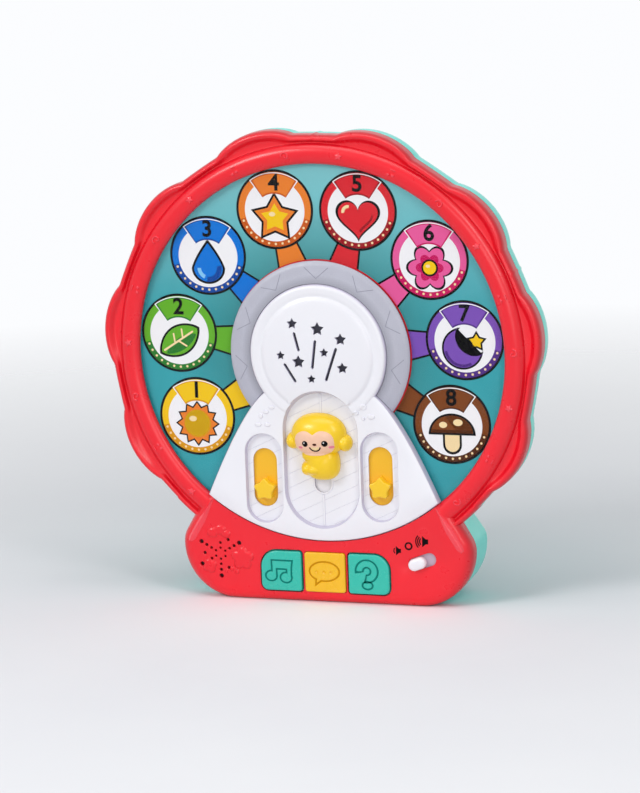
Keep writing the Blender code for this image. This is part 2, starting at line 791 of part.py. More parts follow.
def rim_ring():
    """The rim as one closed section swept round the wheel."""
    foot = GROOVE_R + LIP_FOOT_GAP
    lip_foot = [polar(angle, max(foot, wheel_radius(angle) - LIP_WIDTH))
                for angle in rim_angles()]
    rings = [at_depth(wheel_outline(), PARTING_DEPTH),
             at_depth(wheel_outline(), LIP_SIDE_DEPTH),
             at_depth(wheel_outline(LIP_SHOULDER_INSET), LIP_SHOULDER_DEPTH),
             at_depth(wheel_outline(LIP_CREST_INSET), LIP_CREST_DEPTH),
             at_depth(lip_foot, RING_EDGE_DEPTH),
             at_depth(rim_circle(GROOVE_R), RING_EDGE_DEPTH)]
    middle = (GROOVE_R + WINDOW_R) / 2
    half = (GROOVE_R - WINDOW_R) / 2
    for step in range(1, RING_STEPS + 1):
        turn = math.pi * step / RING_STEPS
        depth = RING_EDGE_DEPTH - RING_RISE * math.sin(turn)
        rings.append(at_depth(rim_circle(middle + half * math.cos(turn)), depth))
    for radius, depth in ((WINDOW_R, POCKET_DEPTH), (POCKET_R, POCKET_DEPTH),
                          (POCKET_R, CAVITY_DEPTH), (CAVITY_R, CAVITY_DEPTH),
                          (CAVITY_R, PARTING_DEPTH)):
        rings.append(at_depth(rim_circle(radius), depth))
    return loft("rim", rings, closed=True)


def base_front():
    """The stand's front: a flat face whose edge rolls into the sides, tighter at the foot."""
    levels = []
    for step in range(BASE_EDGE_STEPS + 1):
        turn = math.pi / 2 * step / BASE_EDGE_STEPS
        inset = BASE_EDGE_INSET * (1 - math.sin(turn))
        depth = BASE_FACE_DEPTH + (BASE_EDGE_DEPTH - BASE_FACE_DEPTH) * (1 - math.cos(turn))
        levels.append((base_outline(inset, max(0, inset - BASE_FOOT_TRIM)), depth))
    levels.append((base_outline(), PARTING_DEPTH))
    return stack("base_front", levels)


def base_front_cavity():
    inner = base_inner()
    levels = [(base_outline(BASE_EDGE_INSET + WALL / 2), inner),
              (base_outline(WALL), BASE_EDGE_DEPTH),
              (base_outline(WALL), PARTING_DEPTH + OVERRUN)]
    return stack("base_front_cavity", levels)


def tube(name, centre, outer, inner, front, back, segments):
    section = [(outer, front), (outer, back), (inner, back), (inner, front)]
    return turned_ring(name, centre, section, segments)


def sound_holes():
    """Six rays of holes that grow outwards, with three more between them."""
    centre = (SPEAKER_X, -SPEAKER_DROP)
    places = []
    for angle, count in zip(SOUND_RAY_ANGLES, SOUND_RAY_COUNTS):
        for orbit, radius in list(zip(SOUND_HOLE_ORBITS, SOUND_HOLE_RADII))[:count]:
            places.append((angle, orbit, radius))
    for angle in SOUND_BETWEEN_ANGLES:
        places.append((angle, SOUND_HOLE_ORBITS[2], SOUND_HOLE_RADII[2]))
    holes = []
    for angle, orbit, radius in places:
        spot = (centre[0] + orbit * math.cos(angle), centre[1] + orbit * math.sin(angle))
        holes.append(plate("hole", circle(spot, radius, SOUND_HOLE_SEGMENTS),
                           BASE_FACE_DEPTH - OVERRUN, base_inner() + OVERRUN))
    return gather("sound_holes", holes)


def switch_dish():
    """A shallow oval hollow round the switch's slot."""
    centre = (SWITCH_X, -SWITCH_DROP)
    oval = [(centre[0] + SWITCH_DISH_HALF * x, centre[1] + SWITCH_DISH_HALF_TALL * z)
            for x, z in circle((0, 0), 1, DISH_SEGMENTS)]
    lying = turned(oval, centre, SWITCH_TILT)
    return stack("dish", [
        (offset(lying, OVERRUN), BASE_FACE_DEPTH - OVERRUN),
        (lying, BASE_FACE_DEPTH),
        (offset(lying, -OVERRUN), BASE_FACE_DEPTH + SWITCH_DISH_DEEP)])


def front_shell(material):
    """Red front case: rim, stand face, and everything that opens through them."""
    shell = base_front()
    cut(shell,
        plate("opening", rim_circle(WINDOW_R + FIT / 2), BASE_FACE_DEPTH - OVERRUN,
              PARTING_DEPTH + OVERRUN),
        plate("pocket", rim_circle(POCKET_R), POCKET_DEPTH, PARTING_DEPTH + OVERRUN))
    join(shell, rim_ring())
    cut(shell, base_front_cavity())
    posts = []
    for index, point in enumerate(case_boss_points()):
        root = CAVITY_DEPTH if index < len(CASE_BOSS_ANGLES) else base_inner()
        posts.append(plate("boss", circle(point, BOSS_R, SCREW_SEGMENTS),
                           root - WALL / 2, BOSS_MEET_DEPTH))
    speaker = (SPEAKER_X, -SPEAKER_DROP)
    collar_inner = SPEAKER_R + RUNNING_FIT
    posts.append(tube("collar", speaker, collar_inner + COLLAR_WALL, collar_inner,
                      base_inner() - WALL / 2, base_inner() + COLLAR_DEEP, SPEAKER_SEGMENTS))
    join(shell, gather("posts", posts))
    pilots = []
    for index, point in enumerate(case_boss_points()):
        root = CAVITY_DEPTH if index < len(CASE_BOSS_ANGLES) else base_inner()
        pilots.append(plate("pilot", circle(point, SCREW_R + PILOT_GAP, SCREW_SEGMENTS),
                            root + WALL / 4, BOSS_MEET_DEPTH + OVERRUN))
    cut(shell, gather("pilots", pilots), sound_holes(), switch_dish())
    openings = [plate("opening", button_outline(index, BUTTON_GAP),
                      BASE_FACE_DEPTH - OVERRUN, base_inner() + OVERRUN) for index in range(3)]
    openings.append(plate("slot", switch_outline(SWITCH_SLOT_LENGTH, SWITCH_SLOT_HALF),
                          BASE_FACE_DEPTH - OVERRUN, base_inner() + OVERRUN))
    cut(shell, gather("openings", openings))
    return finish(shell, "front_shell", material)


def wheel_back():
    """The wheel's back half: straight beside the rim, then rolled in to a flat back."""
    levels = [(wheel_outline(), PARTING_DEPTH + FIT)]
    for step in range(BACK_STEPS + 1):
        turn = math.pi / 2 * step / BACK_STEPS
        inset = BACK_DRAFT + BACK_ROUND_R * (1 - math.cos(turn))
        depth = BACK_ROLL_START + BACK_ROLL_DEPTH * math.sin(turn)
        levels.append((wheel_outline(inset), depth))
    return stack("wheel_back", levels)


def wheel_back_cavity():
    levels = [(circle((0, 0), CAVITY_R, CAVITY_SEGMENTS), PARTING_DEPTH - OVERRUN)]
    for step in range(BACK_STEPS):
        turn = math.pi / 2 * step / (BACK_STEPS - 1)
        inset = BACK_ROUND_R * (1 - math.cos(turn))
        depth = BACK_ROLL_START + (BACK_ROLL_DEPTH - WALL) * math.sin(turn)
        levels.append((circle((0, 0), CAVITY_R - inset, CAVITY_SEGMENTS), depth))
    return stack("wheel_back_cavity", levels)


def base_back(shrink, front):
    """The stand's back; shrink draws it in all round, which makes the cavity's shape."""
    levels = [(base_outline(shrink, shrink), front)]
    start = BASE_BACK_DEPTH - BASE_BACK_ROUND
    for step in range(BASE_BACK_STEPS + 1):
        turn = math.pi / 2 * step / BASE_BACK_STEPS
        inset = (BASE_BACK_ROUND - shrink) * (1 - math.cos(turn))
        depth = start + (BASE_BACK_ROUND - shrink) * math.sin(turn)
        levels.append((base_outline(shrink + BASE_BACK_DRAFT + inset, shrink + inset,
                                    BASE_BACK_TOP_SLOPE), depth))
    return stack("base_back", levels)


def bay_half_width():
    return CELL_LENGTH / 2 + CELL_NUB + BAY_END_ROOM


def bay_half_tall():
    return CELL_PITCH * CELL_COUNT / 2 + FIT


def bay_outline(grow=0.0):
    half = bay_half_width() + grow
    tall = bay_half_tall() + grow
    return rectangle(-half, -BAY_DROP - tall, half, -BAY_DROP + tall)


def bay_mouth_depth():
    return BASE_BACK_DEPTH - DOOR_THICK - FIT


def bay_floor_depth():
    return bay_mouth_depth() - 2 * CELL_R - 2 * FIT


def door_outline(grow=0.0):
    """A rounded plate over the bay, with a tab for its screw above it."""
    half = bay_half_width() + DOOR_MARGIN
    bottom = -BAY_DROP - bay_half_tall() - DOOR_MARGIN
    top = -BAY_DROP + bay_half_tall() + DOOR_MARGIN
    tab_top = top + DOOR_SCREW_TAB
    tab_half = DOOR_SCREW_TAB
    corners = [(-half, bottom), (half, bottom), (half, top), (tab_half, top),
               (tab_half, tab_top), (-tab_half, tab_top), (-tab_half, top), (-half, top)]
    radii = [DOOR_CORNER_R, DOOR_CORNER_R, DOOR_CORNER_R, 0, DOOR_CORNER_R, DOOR_CORNER_R, 0,
             DOOR_CORNER_R]
    return offset(rounded(corners, radii, [3] * len(corners)), grow)


def door_screw_point():
    top = -BAY_DROP + bay_half_tall() + DOOR_MARGIN
    return (0.0, top + DOOR_SCREW_TAB / 2)


def back_posts():
    """What stands inside the back case: screw wells, light posts, battery bay and door post."""
    meet = BOSS_MEET_DEPTH + FIT
    past = BASE_BACK_DEPTH + OVERRUN
    posts = [plate("well", circle(point, WELL_R + WELL_WALL, WELL_SEGMENTS), meet, past)
             for point in case_boss_points()]
    led_back = DIVIDER_BACK_DEPTH + 2 * FIT + LED_BOARD_THICK
    posts += [plate("post", circle(polar(angle, BADGE_R), LED_POST_R, SCREW_SEGMENTS),
                    led_back, past) for angle in (0.0, LED_POST_SPREAD, -LED_POST_SPREAD)]
    posts.append(plate("bay", bay_outline(BAY_WALL), bay_floor_depth() - BAY_WALL, past))
    standing = gather("posts", posts)
    join(standing,
         plate("frame", door_outline(WALL), bay_mouth_depth() - WALL, past + FIT),
         plate("door_post", circle(door_screw_point(), BOSS_R, SCREW_SEGMENTS),
               bay_mouth_depth() - DOOR_SCREW_LENGTH - WALL, bay_mouth_depth()))
    return standing


def back_shell(material):
    """Turquoise back case with screw wells, light posts and the battery bay."""
    shell = wheel_back()
    join(shell, base_back(0.0, PARTING_DEPTH + FIT))
    cavity = wheel_back_cavity()
    join(cavity, base_back(WALL, PARTING_DEPTH - 2 * OVERRUN))
    cut(cavity, back_posts())
    cut(shell, cavity)
    meet = BOSS_MEET_DEPTH + FIT
    past = BASE_BACK_DEPTH + OVERRUN
    holes = [stack("well_hole", [
        (circle(point, SCREW_R + PILOT_GAP, SCREW_SEGMENTS), meet - OVERRUN),
        (circle(point, SCREW_R + PILOT_GAP, SCREW_SEGMENTS), meet + BOSS_FLOOR),
        (circle(point, WELL_R, SCREW_SEGMENTS), meet + BOSS_FLOOR),
        (circle(point, WELL_R, SCREW_SEGMENTS), past)]) for point in case_boss_points()]
    cut(shell, gather("wells", holes))
    cut(shell, plate("bay_room", bay_outline(), bay_floor_depth(), past))
    cut(shell, plate("door_seat", door_outline(FIT), bay_mouth_depth(), past + FIT))
    cut(shell, plate("door_pilot", circle(door_screw_point(), SCREW_R + PILOT_GAP,
                                          SCREW_SEGMENTS),
                     bay_mouth_depth() - DOOR_SCREW_LENGTH, bay_mouth_depth() + OVERRUN))
    return finish(shell, "back_shell", material)


def screw(name, material, point, head_depth, forward, shaft_r, head_r, head, segments):
    """A pan-head screw driven from behind: its head lies behind head_depth."""
    piece = turned_solid(name, point, [
        (shaft_r * 2 / 3, head_depth - forward),
        (shaft_r, head_depth),
        (head_r, head_depth),
        (head_r * 3 / 4, head_depth + head)], segments)
    return finish(piece, name, material, world_point(point, head_depth))


def case_screws(material):
    seat = BOSS_MEET_DEPTH + FIT + BOSS_FLOOR + FIT
    for index, point in enumerate(case_boss_points()):
        screw(f"case_screw_{index + 1}", material, point, seat, CASE_SCREW_LENGTH,
              SCREW_R, SCREW_HEAD_R, SCREW_HEAD, SCREW_SEGMENTS)


# Window, print and lights

def hub_and_tower_cutter(hub_radius, ledge, front, back):
    cutter = plate("hub", circle((0, 0), hub_radius, DOME_SEGMENTS), front, back)
    join(cutter, plate("tower", offset(tower_outline(), -ledge), front - FIT, back + FIT),
         plate("below", rectangle(-TOWER_FOOT_HALF + ledge, -2 * WINDOW_R,
                                  TOWER_FOOT_HALF - ledge, -TOWER_FOOT_DROP),
               front - 2 * FIT, back + 2 * FIT))
    return cutter


def window(material):
    """Clear cover, held in the rim's pocket and open behind the tower."""
    back = WINDOW_DEPTH + WINDOW_THICK
    pane = plate("window", circle((0, 0), POCKET_R - FIT, WINDOW_SEGMENTS), WINDOW_DEPTH, back)
    cut(pane, hub_and_tower_cutter(HUB_R, TOWER_LEDGE, WINDOW_DEPTH - OVERRUN, back + OVERRUN))
    return finish(pane, "window", material)


def artwork_panel(material):
    """Printed light-passing panel close behind the window."""
    front = WINDOW_DEPTH + WINDOW_THICK + FIT
    back = front + ARTWORK_THICK
    panel = plate("artwork", circle((0, 0), POCKET_R - 2 * FIT, WINDOW_SEGMENTS), front, back)
    cut(panel, hub_and_tower_cutter(HUB_R, TOWER_LEDGE, front - OVERRUN, back + OVERRUN))
    return finish(panel, "artwork_panel", material)


def light_divider(material):
    """White tray with a cell behind each badge, so that each lights up by itself."""
    floor_front = DIVIDER_BACK_DEPTH - DIVIDER_WALL
    tray = turned_ring("tray", (0, 0), [
        (DIVIDER_R, DIVIDER_FRONT_DEPTH), (DIVIDER_R, DIVIDER_BACK_DEPTH),
        (DOME_BOSS_OFFSET / 2, DIVIDER_BACK_DEPTH), (DOME_BOSS_OFFSET / 2, floor_front),
        (DIVIDER_INNER_R - DIVIDER_WALL, floor_front),
        (DIVIDER_INNER_R - DIVIDER_WALL, DIVIDER_FRONT_DEPTH),
        (DIVIDER_INNER_R, DIVIDER_FRONT_DEPTH), (DIVIDER_INNER_R, floor_front),
        (DIVIDER_R - DIVIDER_WALL, floor_front),
        (DIVIDER_R - DIVIDER_WALL, DIVIDER_FRONT_DEPTH)], DIVIDER_SEGMENTS)
    walls = []
    for index in range(BADGE_COUNT + 1):
        angle = badge_angle(index) - BADGE_PITCH / 2
        inner = DIVIDER_INNER_R - DIVIDER_WALL / 2
        outer = DIVIDER_R - DIVIDER_WALL / 2
        blade = rectangle(-DIVIDER_WALL / 2, inner, DIVIDER_WALL / 2, outer)
        walls.append(plate("wall", turned(blade, (0, 0), -angle),
                           DIVIDER_FRONT_DEPTH + FIT, floor_front + DIVIDER_WALL / 2))
    join(tray, gather("walls", walls))
    holes = []
    for index in range(BADGE_COUNT):
        spot = polar(badge_angle(index), BADGE_R)
        holes.append(plate("hole", circle(spot, LED_FLANGE_R + RUNNING_FIT, LED_SEGMENTS),
                           floor_front - OVERRUN, DIVIDER_BACK_DEPTH + OVERRUN))
    for sign in (-1, 1):
        spot = (sign * DOME_BOSS_OFFSET, DOME_BOSS_RISE)
        holes.append(plate("hole", circle(spot, SCREW_R + PILOT_GAP, SCREW_SEGMENTS),
                           floor_front - OVERRUN, DIVIDER_BACK_DEPTH + OVERRUN))
    cut(tray, gather("holes", holes))
    cut_drop = SWITCH_DROP - BOARD_WING_RISE - DIVIDER_FOOT_ROOM
    below = rectangle(-2 * DIVIDER_R, -2 * DIVIDER_R, 2 * DIVIDER_R, -cut_drop)
    cut(tray, plate("below", below, DIVIDER_FRONT_DEPTH - OVERRUN,
                    DIVIDER_BACK_DEPTH + OVERRUN))
    gate = rectangle(-DIVIDER_GATE_HALF, -2 * DIVIDER_R, DIVIDER_GATE_HALF, -DIVIDER_GATE_DROP)
    cut(tray, plate("gate", gate, DIVIDER_FRONT_DEPTH - OVERRUN, floor_front))
    return finish(tray, "light_divider", material)


def led_board(material):
    """Curved circuit board that carries the eight lights."""
    front = DIVIDER_BACK_DEPTH + FIT
    outline = []
    for radius, direction in ((BADGE_R + LED_BOARD_HALF, -1), (BADGE_R - LED_BOARD_HALF, 1)):
        for step in range(LED_BOARD_STEPS + 1):
            share = step / LED_BOARD_STEPS - 1 / 2
            outline.append(polar(-direction * LED_BOARD_SWEEP * share, radius))
    board = plate("led_board", outline, front, front + LED_BOARD_THICK)
    return finish(board, "led_board", material)


def leds(material):
    seat = DIVIDER_BACK_DEPTH
    for index in range(BADGE_COUNT):
        spot = polar(badge_angle(index), BADGE_R)
        piece = turned_solid("led", spot, [
            (LED_R * 2 / 3, seat - LED_LENGTH),
            (LED_R, seat - LED_FLANGE), (LED_FLANGE_R, seat - LED_FLANGE),
            (LED_FLANGE_R, seat)], LED_SEGMENTS)
        finish(piece, f"led_{index + 1}", material)


def light_ring(material):
    """Frosted ring round the dome, cut away where the tower's shoulders cross it."""
    inner = DOME_R + FIT
    back = WINDOW_DEPTH - FIT
    ring = turned_ring("light_ring", (0, 0), [
        (inner, back), (inner, back - FROST_RISE - FROST_EDGE_DROP),
        (FROST_OUTER_R - 2 * FROST_EDGE_ROUND, back - FROST_RISE),
        (FROST_OUTER_R - FROST_EDGE_ROUND / 2, back - FROST_EDGE_DROP),
        (FROST_OUTER_R, back - FROST_EDGE_DROP / 2),
        (FROST_OUTER_R, back)], FROST_SEGMENTS)
    cut(ring, plate("shoulders", offset(tower_outline(), FIT), TOWER_FACE_DEPTH - OVERRUN,
                    back + OVERRUN))
    return finish(ring, "light_ring", material)


# Tower

def dome():
    """Outer skin of the dome: rolled edge, narrow step and a crowned disc."""
    levels = [(DOME_R, DOME_BACK_DEPTH), (DOME_R, DOME_EDGE_DEPTH + DOME_EDGE_ROUND)]
    for step in (1, 2):
        turn = math.pi / 2 * step / 2
        levels.append((DOME_R - DOME_EDGE_ROUND * (1 - math.cos(turn)),
                       DOME_EDGE_DEPTH + DOME_EDGE_ROUND * (1 - math.sin(turn))))
    levels.append((DOME_DISC_R + DOME_STEP, DOME_EDGE_DEPTH))
    for share in (1, 2 / 3, 1 / 3):
        crown = DOME_CROWN * (1 - share ** 2)
        levels.append((DOME_DISC_R * share, DOME_EDGE_DEPTH - DOME_STEP - crown))
    return turned_solid("dome", (0, 0), levels, DOME_SEGMENTS)


def dome_hollow():
    inner = DOME_R - DOME_WALL
    levels = [(inner, DOME_BACK_DEPTH + OVERRUN),
              (inner, DOME_EDGE_DEPTH + DOME_EDGE_ROUND + DOME_WALL / 2),
              (DOME_DISC_R - DOME_WALL, DOME_EDGE_DEPTH + DOME_WALL - DOME_STEP),
              (DOME_DISC_R / 2, DOME_EDGE_DEPTH + DOME_WALL - DOME_STEP - DOME_CROWN * 3 / 4)]
    return turned_solid("dome_hollow", (0, 0), levels, DOME_SEGMENTS // 2)


def tower_skirt():
    outline = tower_outline()
    edge = TOWER_FACE_DEPTH + TOWER_EDGE_ROUND
    return stack("skirt", [
        (offset(outline, -TOWER_EDGE_ROUND), TOWER_FACE_DEPTH),
        (offset(outline, -TOWER_EDGE_ROUND / 3), TOWER_FACE_DEPTH + TOWER_EDGE_ROUND / 3),
        (outline, edge),
        (outline, tower_back() + FIT)])


def tower_foot_wall():
    """Low wall under the skirt's sides that rests on the window."""
    outline = tower_outline()
    back = WINDOW_DEPTH - FIT
    front = tower_back() - TOWER_RIM_WALL
    wall = plate("foot_wall", outline, front, back)
    cut(wall, plate("inside", offset(outline, -TOWER_RIM_WALL), front - OVERRUN,
                    back + OVERRUN),
        plate("below", rectangle(-WINDOW_R, -2 * WINDOW_R, WINDOW_R, -TOWER_FOOT_DROP),
              front - OVERRUN, back + OVERRUN),
        plate("neck", circle((0, 0), DOME_R - DOME_WALL / 2, DOME_SEGMENTS),
              front - OVERRUN, back + OVERRUN))
    return wall


def tower_tabs():
    """Tabs on the lower edge that hook behind the stand's face."""
    tabs = []
    roots = []
    top = -WINDOW_R + TOWER_TAB_ROOT
    front = base_inner() + FIT
    back = front + TOWER_TAB_THICK
    for angle in (-TOWER_TAB_SPREAD, 0.0, TOWER_TAB_SPREAD):
        hook = rectangle(-TOWER_TAB_HALF, -WINDOW_R - TOWER_TAB_REACH, TOWER_TAB_HALF, top)
        root = rectangle(-TOWER_TAB_HALF + FIT, -WINDOW_R + 2 * FIT, TOWER_TAB_HALF - FIT,
                         top - FIT)
        tabs.append(plate("tab", turned(hook, (0, 0), angle), front, back))
        roots.append(plate("root", turned(root, (0, 0), angle),
                           TOWER_FACE_DEPTH + TOWER_THICK / 2, back - FIT))
    hooks = gather("tabs", tabs)
    join(hooks, gather("roots", roots))
    return hooks


def track_outline(grow=0.0):
    middle = -(TRACK_TOP_DROP + TRACK_BOTTOM_DROP) / 2
    length = TRACK_BOTTOM_DROP - TRACK_TOP_DROP
    return stadium((0, middle), TRACK_HALF + grow, length + 2 * grow, TRACK_SEGMENTS)


def slot_outline(grow=0.0):
    middle = -(SLOT_TOP_DROP + SLOT_BOTTOM_DROP) / 2
    length = SLOT_BOTTOM_DROP - SLOT_TOP_DROP
    return stadium((0, middle), SLOT_HALF + grow, length + 2 * grow, SLOT_SEGMENTS)


def recess(outline, draft):
    """A hollow with sloping walls, sunk into the tower's face."""
    floor = TOWER_FACE_DEPTH + TRACK_DEEP
    far_front = DOME_EDGE_DEPTH - DOME_STEP - DOME_CROWN - OVERRUN
    slope = draft / TRACK_DEEP
    flare = slope * (TOWER_FACE_DEPTH - far_front)
    return stack("recess", [(offset(outline, flare), far_front), (offset(outline, -draft),
                                                                  floor)])


def dome_cutters():
    """Star holes and narrow streaks through the dome's disc."""
    front = DOME_EDGE_DEPTH - DOME_STEP - DOME_CROWN - OVERRUN
    back = DOME_EDGE_DEPTH + DOME_WALL
    holes = []
    for x_share, z_share, r_share in DOME_STAR_SHARES:
        spot = (DOME_DISC_R * x_share, DOME_DISC_R * z_share)
        holes.append(plate("star", star(spot, DOME_DISC_R * r_share, 1 / 2), front, back))
    for x0, z0, x1, z1 in DOME_STREAK_SHARES:
        start = Vector((x0, z0)) * DOME_DISC_R
        end = Vector((x1, z1)) * DOME_DISC_R
        middle = tuple((start + end) / 2)
        along = end - start
        bar = stadium(middle, DOME_STREAK_HALF, along.length + 2 * DOME_STREAK_HALF, 2)
        tilt = math.atan2(along.y, along.x) - math.pi / 2
        holes.append(plate("streak", turned(bar, middle, tilt), front, back))
    return gather("dome_cutters", holes)


def tower_panel(material):
    """White tower: dome, flared panel, monkey track and the two star pockets, in one moulding."""
    tower = dome()
    cut(tower, dome_hollow())
    join(tower, tower_skirt())
    cut(tower, plate("behind", offset(tower_outline(), -TOWER_RIM_WALL / 2), tower_back(),
                     DOME_BACK_DEPTH + OVERRUN))
    backing = plate("backing", track_outline(TRACK_BACKING),
                    DOME_EDGE_DEPTH + DOME_WALL / 2, tower_back() - FIT / 2)
    crown = DOME_EDGE_DEPTH - DOME_STEP
    upper = plate("upper", track_outline(TRACK_BACKING), crown, tower_back() - FIT)
    keep_common(upper, plate("disc", circle((0, 0), DOME_DISC_R - DOME_STEP, DOME_SEGMENTS),
                             crown - OVERRUN, tower_back() + OVERRUN))
    join(tower, backing, upper, tower_foot_wall(), tower_tabs())
    bosses = [plate("boss", circle((sign * DOME_BOSS_OFFSET, DOME_BOSS_RISE), BOSS_R,
                                   SCREW_SEGMENTS),
                    crown, DIVIDER_BACK_DEPTH - DIVIDER_WALL - FIT) for sign in (-1, 1)]
    stake_x = CARRIAGE_HALF + RUNNING_FIT + GUIDE_WALL + GUIDE_EAR / 2
    stake_z = -(SLOT_TOP_DROP + SLOT_BOTTOM_DROP) / 2
    bosses += [plate("stake", circle((sign * stake_x, stake_z), STAKE_R, LED_SEGMENTS),
                     tower_back() - FIT, tower_back() + STAKE_LENGTH) for sign in (-1, 1)]
    join(tower, gather("bosses", bosses))
    cut(tower, recess(track_outline(), TRACK_DRAFT))
    pockets = []
    slots = [plate("slot", slot_outline(), TOWER_FACE_DEPTH, tower_back() + OVERRUN)]
    for sign in (-1, 1):
        middle = slider_middle(sign)
        pocket = stadium(middle, POCKET_HALF, POCKET_LENGTH, POCKET_SEGMENTS)
        pockets.append(recess(pocket, POCKET_DRAFT))
        slot = stadium(middle, SLIDER_SLOT_HALF, SLIDER_SLOT_LENGTH, POCKET_SEGMENTS)
        slots.append(plate("slot", slot, TOWER_FACE_DEPTH, tower_back() + OVERRUN))
    cut(tower, gather("pockets", pockets), gather("slots", slots), dome_cutters())
    pilots = [plate("pilot", circle((sign * DOME_BOSS_OFFSET, DOME_BOSS_RISE),
                                    SCREW_R + PILOT_GAP, SCREW_SEGMENTS),
                    DIVIDER_BACK_DEPTH - DIVIDER_WALL - DOME_SCREW_LENGTH,
                    DIVIDER_BACK_DEPTH) for sign in (-1, 1)]
    cut(tower, gather("pilots", pilots))
    return finish(tower, "tower_panel", material)


def dome_screws(material):
    for side, sign in (("left", -1), ("right", 1)):
        screw(f"dome_screw_{side}", material, (sign * DOME_BOSS_OFFSET, DOME_BOSS_RISE),
              DIVIDER_BACK_DEPTH + FIT, DOME_SCREW_LENGTH, SCREW_R, SCREW_HEAD_R, SCREW_HEAD,
              SCREW_SEGMENTS)


# Monkey and its carriage

def monkey_knob(material):
    """Pillow-shaped monkey: head, ears, body and one arm, flat at the back, on a stem."""
    back = TOWER_FACE_DEPTH + TRACK_DEEP - FIT
    centre_z = -MONKEY_DROP
    knob = ellipsoid("head", (0, centre_z), HEAD_HALF, HEAD_HALF_TALL, back, HEAD_THICK,
                     HEAD_SEGMENTS, HEAD_LEVELS)
    join(knob,
         ellipsoid("body", (0, centre_z - BODY_DROP), BODY_HALF, BODY_HALF_TALL, back,
                   BODY_THICK, BODY_SEGMENTS, HEAD_LEVELS),
         ellipsoid("ear", (-EAR_OFFSET, centre_z - EAR_DROP), EAR_R, EAR_R, back, EAR_THICK,
                   EAR_SEGMENTS, EAR_LEVELS),
         ellipsoid("ear", (EAR_OFFSET, centre_z - EAR_DROP), EAR_R, EAR_R, back, EAR_THICK,
                   EAR_SEGMENTS, EAR_LEVELS),
         ellipsoid("arm", (-ARM_OFFSET, centre_z - ARM_DROP), ARM_R, ARM_R, back, ARM_THICK,
                   EAR_SEGMENTS, EAR_LEVELS))
    behind = rectangle(-2 * HEAD_HALF, centre_z - 2 * BODY_DROP - BODY_HALF_TALL,
                       2 * HEAD_HALF, centre_z + 2 * HEAD_HALF_TALL)
    cut(knob, plate("behind", behind, back, back + 2 * HEAD_THICK))
    stem_z = centre_z - STEM_DROP
    stem = rectangle(-STEM_HALF, stem_z - STEM_HALF_TALL, STEM_HALF, stem_z + STEM_HALF_TALL)
    join(knob, plate("stem", stem, back - STEM_HALF, tower_back()))
    cut(knob, plate("pilot", circle((0, stem_z), CARRIAGE_SCREW_R + PILOT_GAP, LED_SEGMENTS),
                    tower_back() - CARRIAGE_SCREW_LENGTH, tower_back() + OVERRUN))
    return finish(knob, "monkey_knob", material, world_point((0, stem_z), 0))


def carriage_ends():
    """Top and bottom of the carriage, long enough to hide the slot at both ends of travel."""
    top = -SLOT_TOP_DROP + MONKEY_TRAVEL + CARRIAGE_OVERLAP
    bottom = -SLOT_BOTTOM_DROP - CARRIAGE_OVERLAP
    return top, bottom


def monkey_carriage(material):
    """Slide plate behind the slot that carries the monkey."""
    top, bottom = carriage_ends()
    front = tower_back() + FIT
    outline = stadium((0, (top + bottom) / 2), CARRIAGE_HALF, top - bottom, SLOT_SEGMENTS)
    slide = plate("carriage", outline, front, front + CARRIAGE_THICK)
    stem_z = -MONKEY_DROP - STEM_DROP
    cut(slide, plate("hole", circle((0, stem_z), CARRIAGE_SCREW_R + PILOT_GAP, LED_SEGMENTS),
                     front - OVERRUN, front + CARRIAGE_THICK + OVERRUN))
    return finish(slide, "monkey_carriage", material, world_point((0, stem_z), front))


def carriage_screw(material):
    stem_z = -MONKEY_DROP - STEM_DROP
    head = tower_back() + FIT + CARRIAGE_THICK + FIT
    screw("carriage_screw", material, (0, stem_z), head, CARRIAGE_SCREW_LENGTH,
          CARRIAGE_SCREW_R, CARRIAGE_SCREW_HEAD_R, CARRIAGE_SCREW_HEAD, LED_SEGMENTS)


def guide_floor_depth():
    return tower_back() + FIT + CARRIAGE_THICK + GUIDE_ROOM


def carriage_guide(material):
    """Channel staked behind the tower: it guides the carriage and seats the spring."""
    inner = CARRIAGE_HALF + RUNNING_FIT
    outer = inner + GUIDE_WALL
    top = carriage_ends()[0]
    front = tower_back() + FIT
    floor = guide_floor_depth()
    guide = plate("guide", rectangle(-outer, -GUIDE_END_DROP, outer, top), front,
                  floor + GUIDE_FLOOR)
    middle_z = -(SLOT_TOP_DROP + SLOT_BOTTOM_DROP) / 2
    wing = outer + GUIDE_EAR
    join(guide, plate("ears", rectangle(-wing, middle_z - GUIDE_EAR / 2, wing,
                                        middle_z + GUIDE_EAR / 2), front,
                      front + GUIDE_EAR_THICK))
    cut(guide, plate("channel", rectangle(-inner, -GUIDE_END_DROP + GUIDE_WALL, inner,
                                          top + OVERRUN), front - OVERRUN, floor))
    holes = [plate("hole", circle((sign * (outer + GUIDE_EAR / 2), middle_z),
                                  STAKE_R + PILOT_GAP, LED_SEGMENTS),
                   front - OVERRUN, floor) for sign in (-1, 1)]
    cut(guide, gather("holes", holes))
    return finish(guide, "carriage_guide", material)


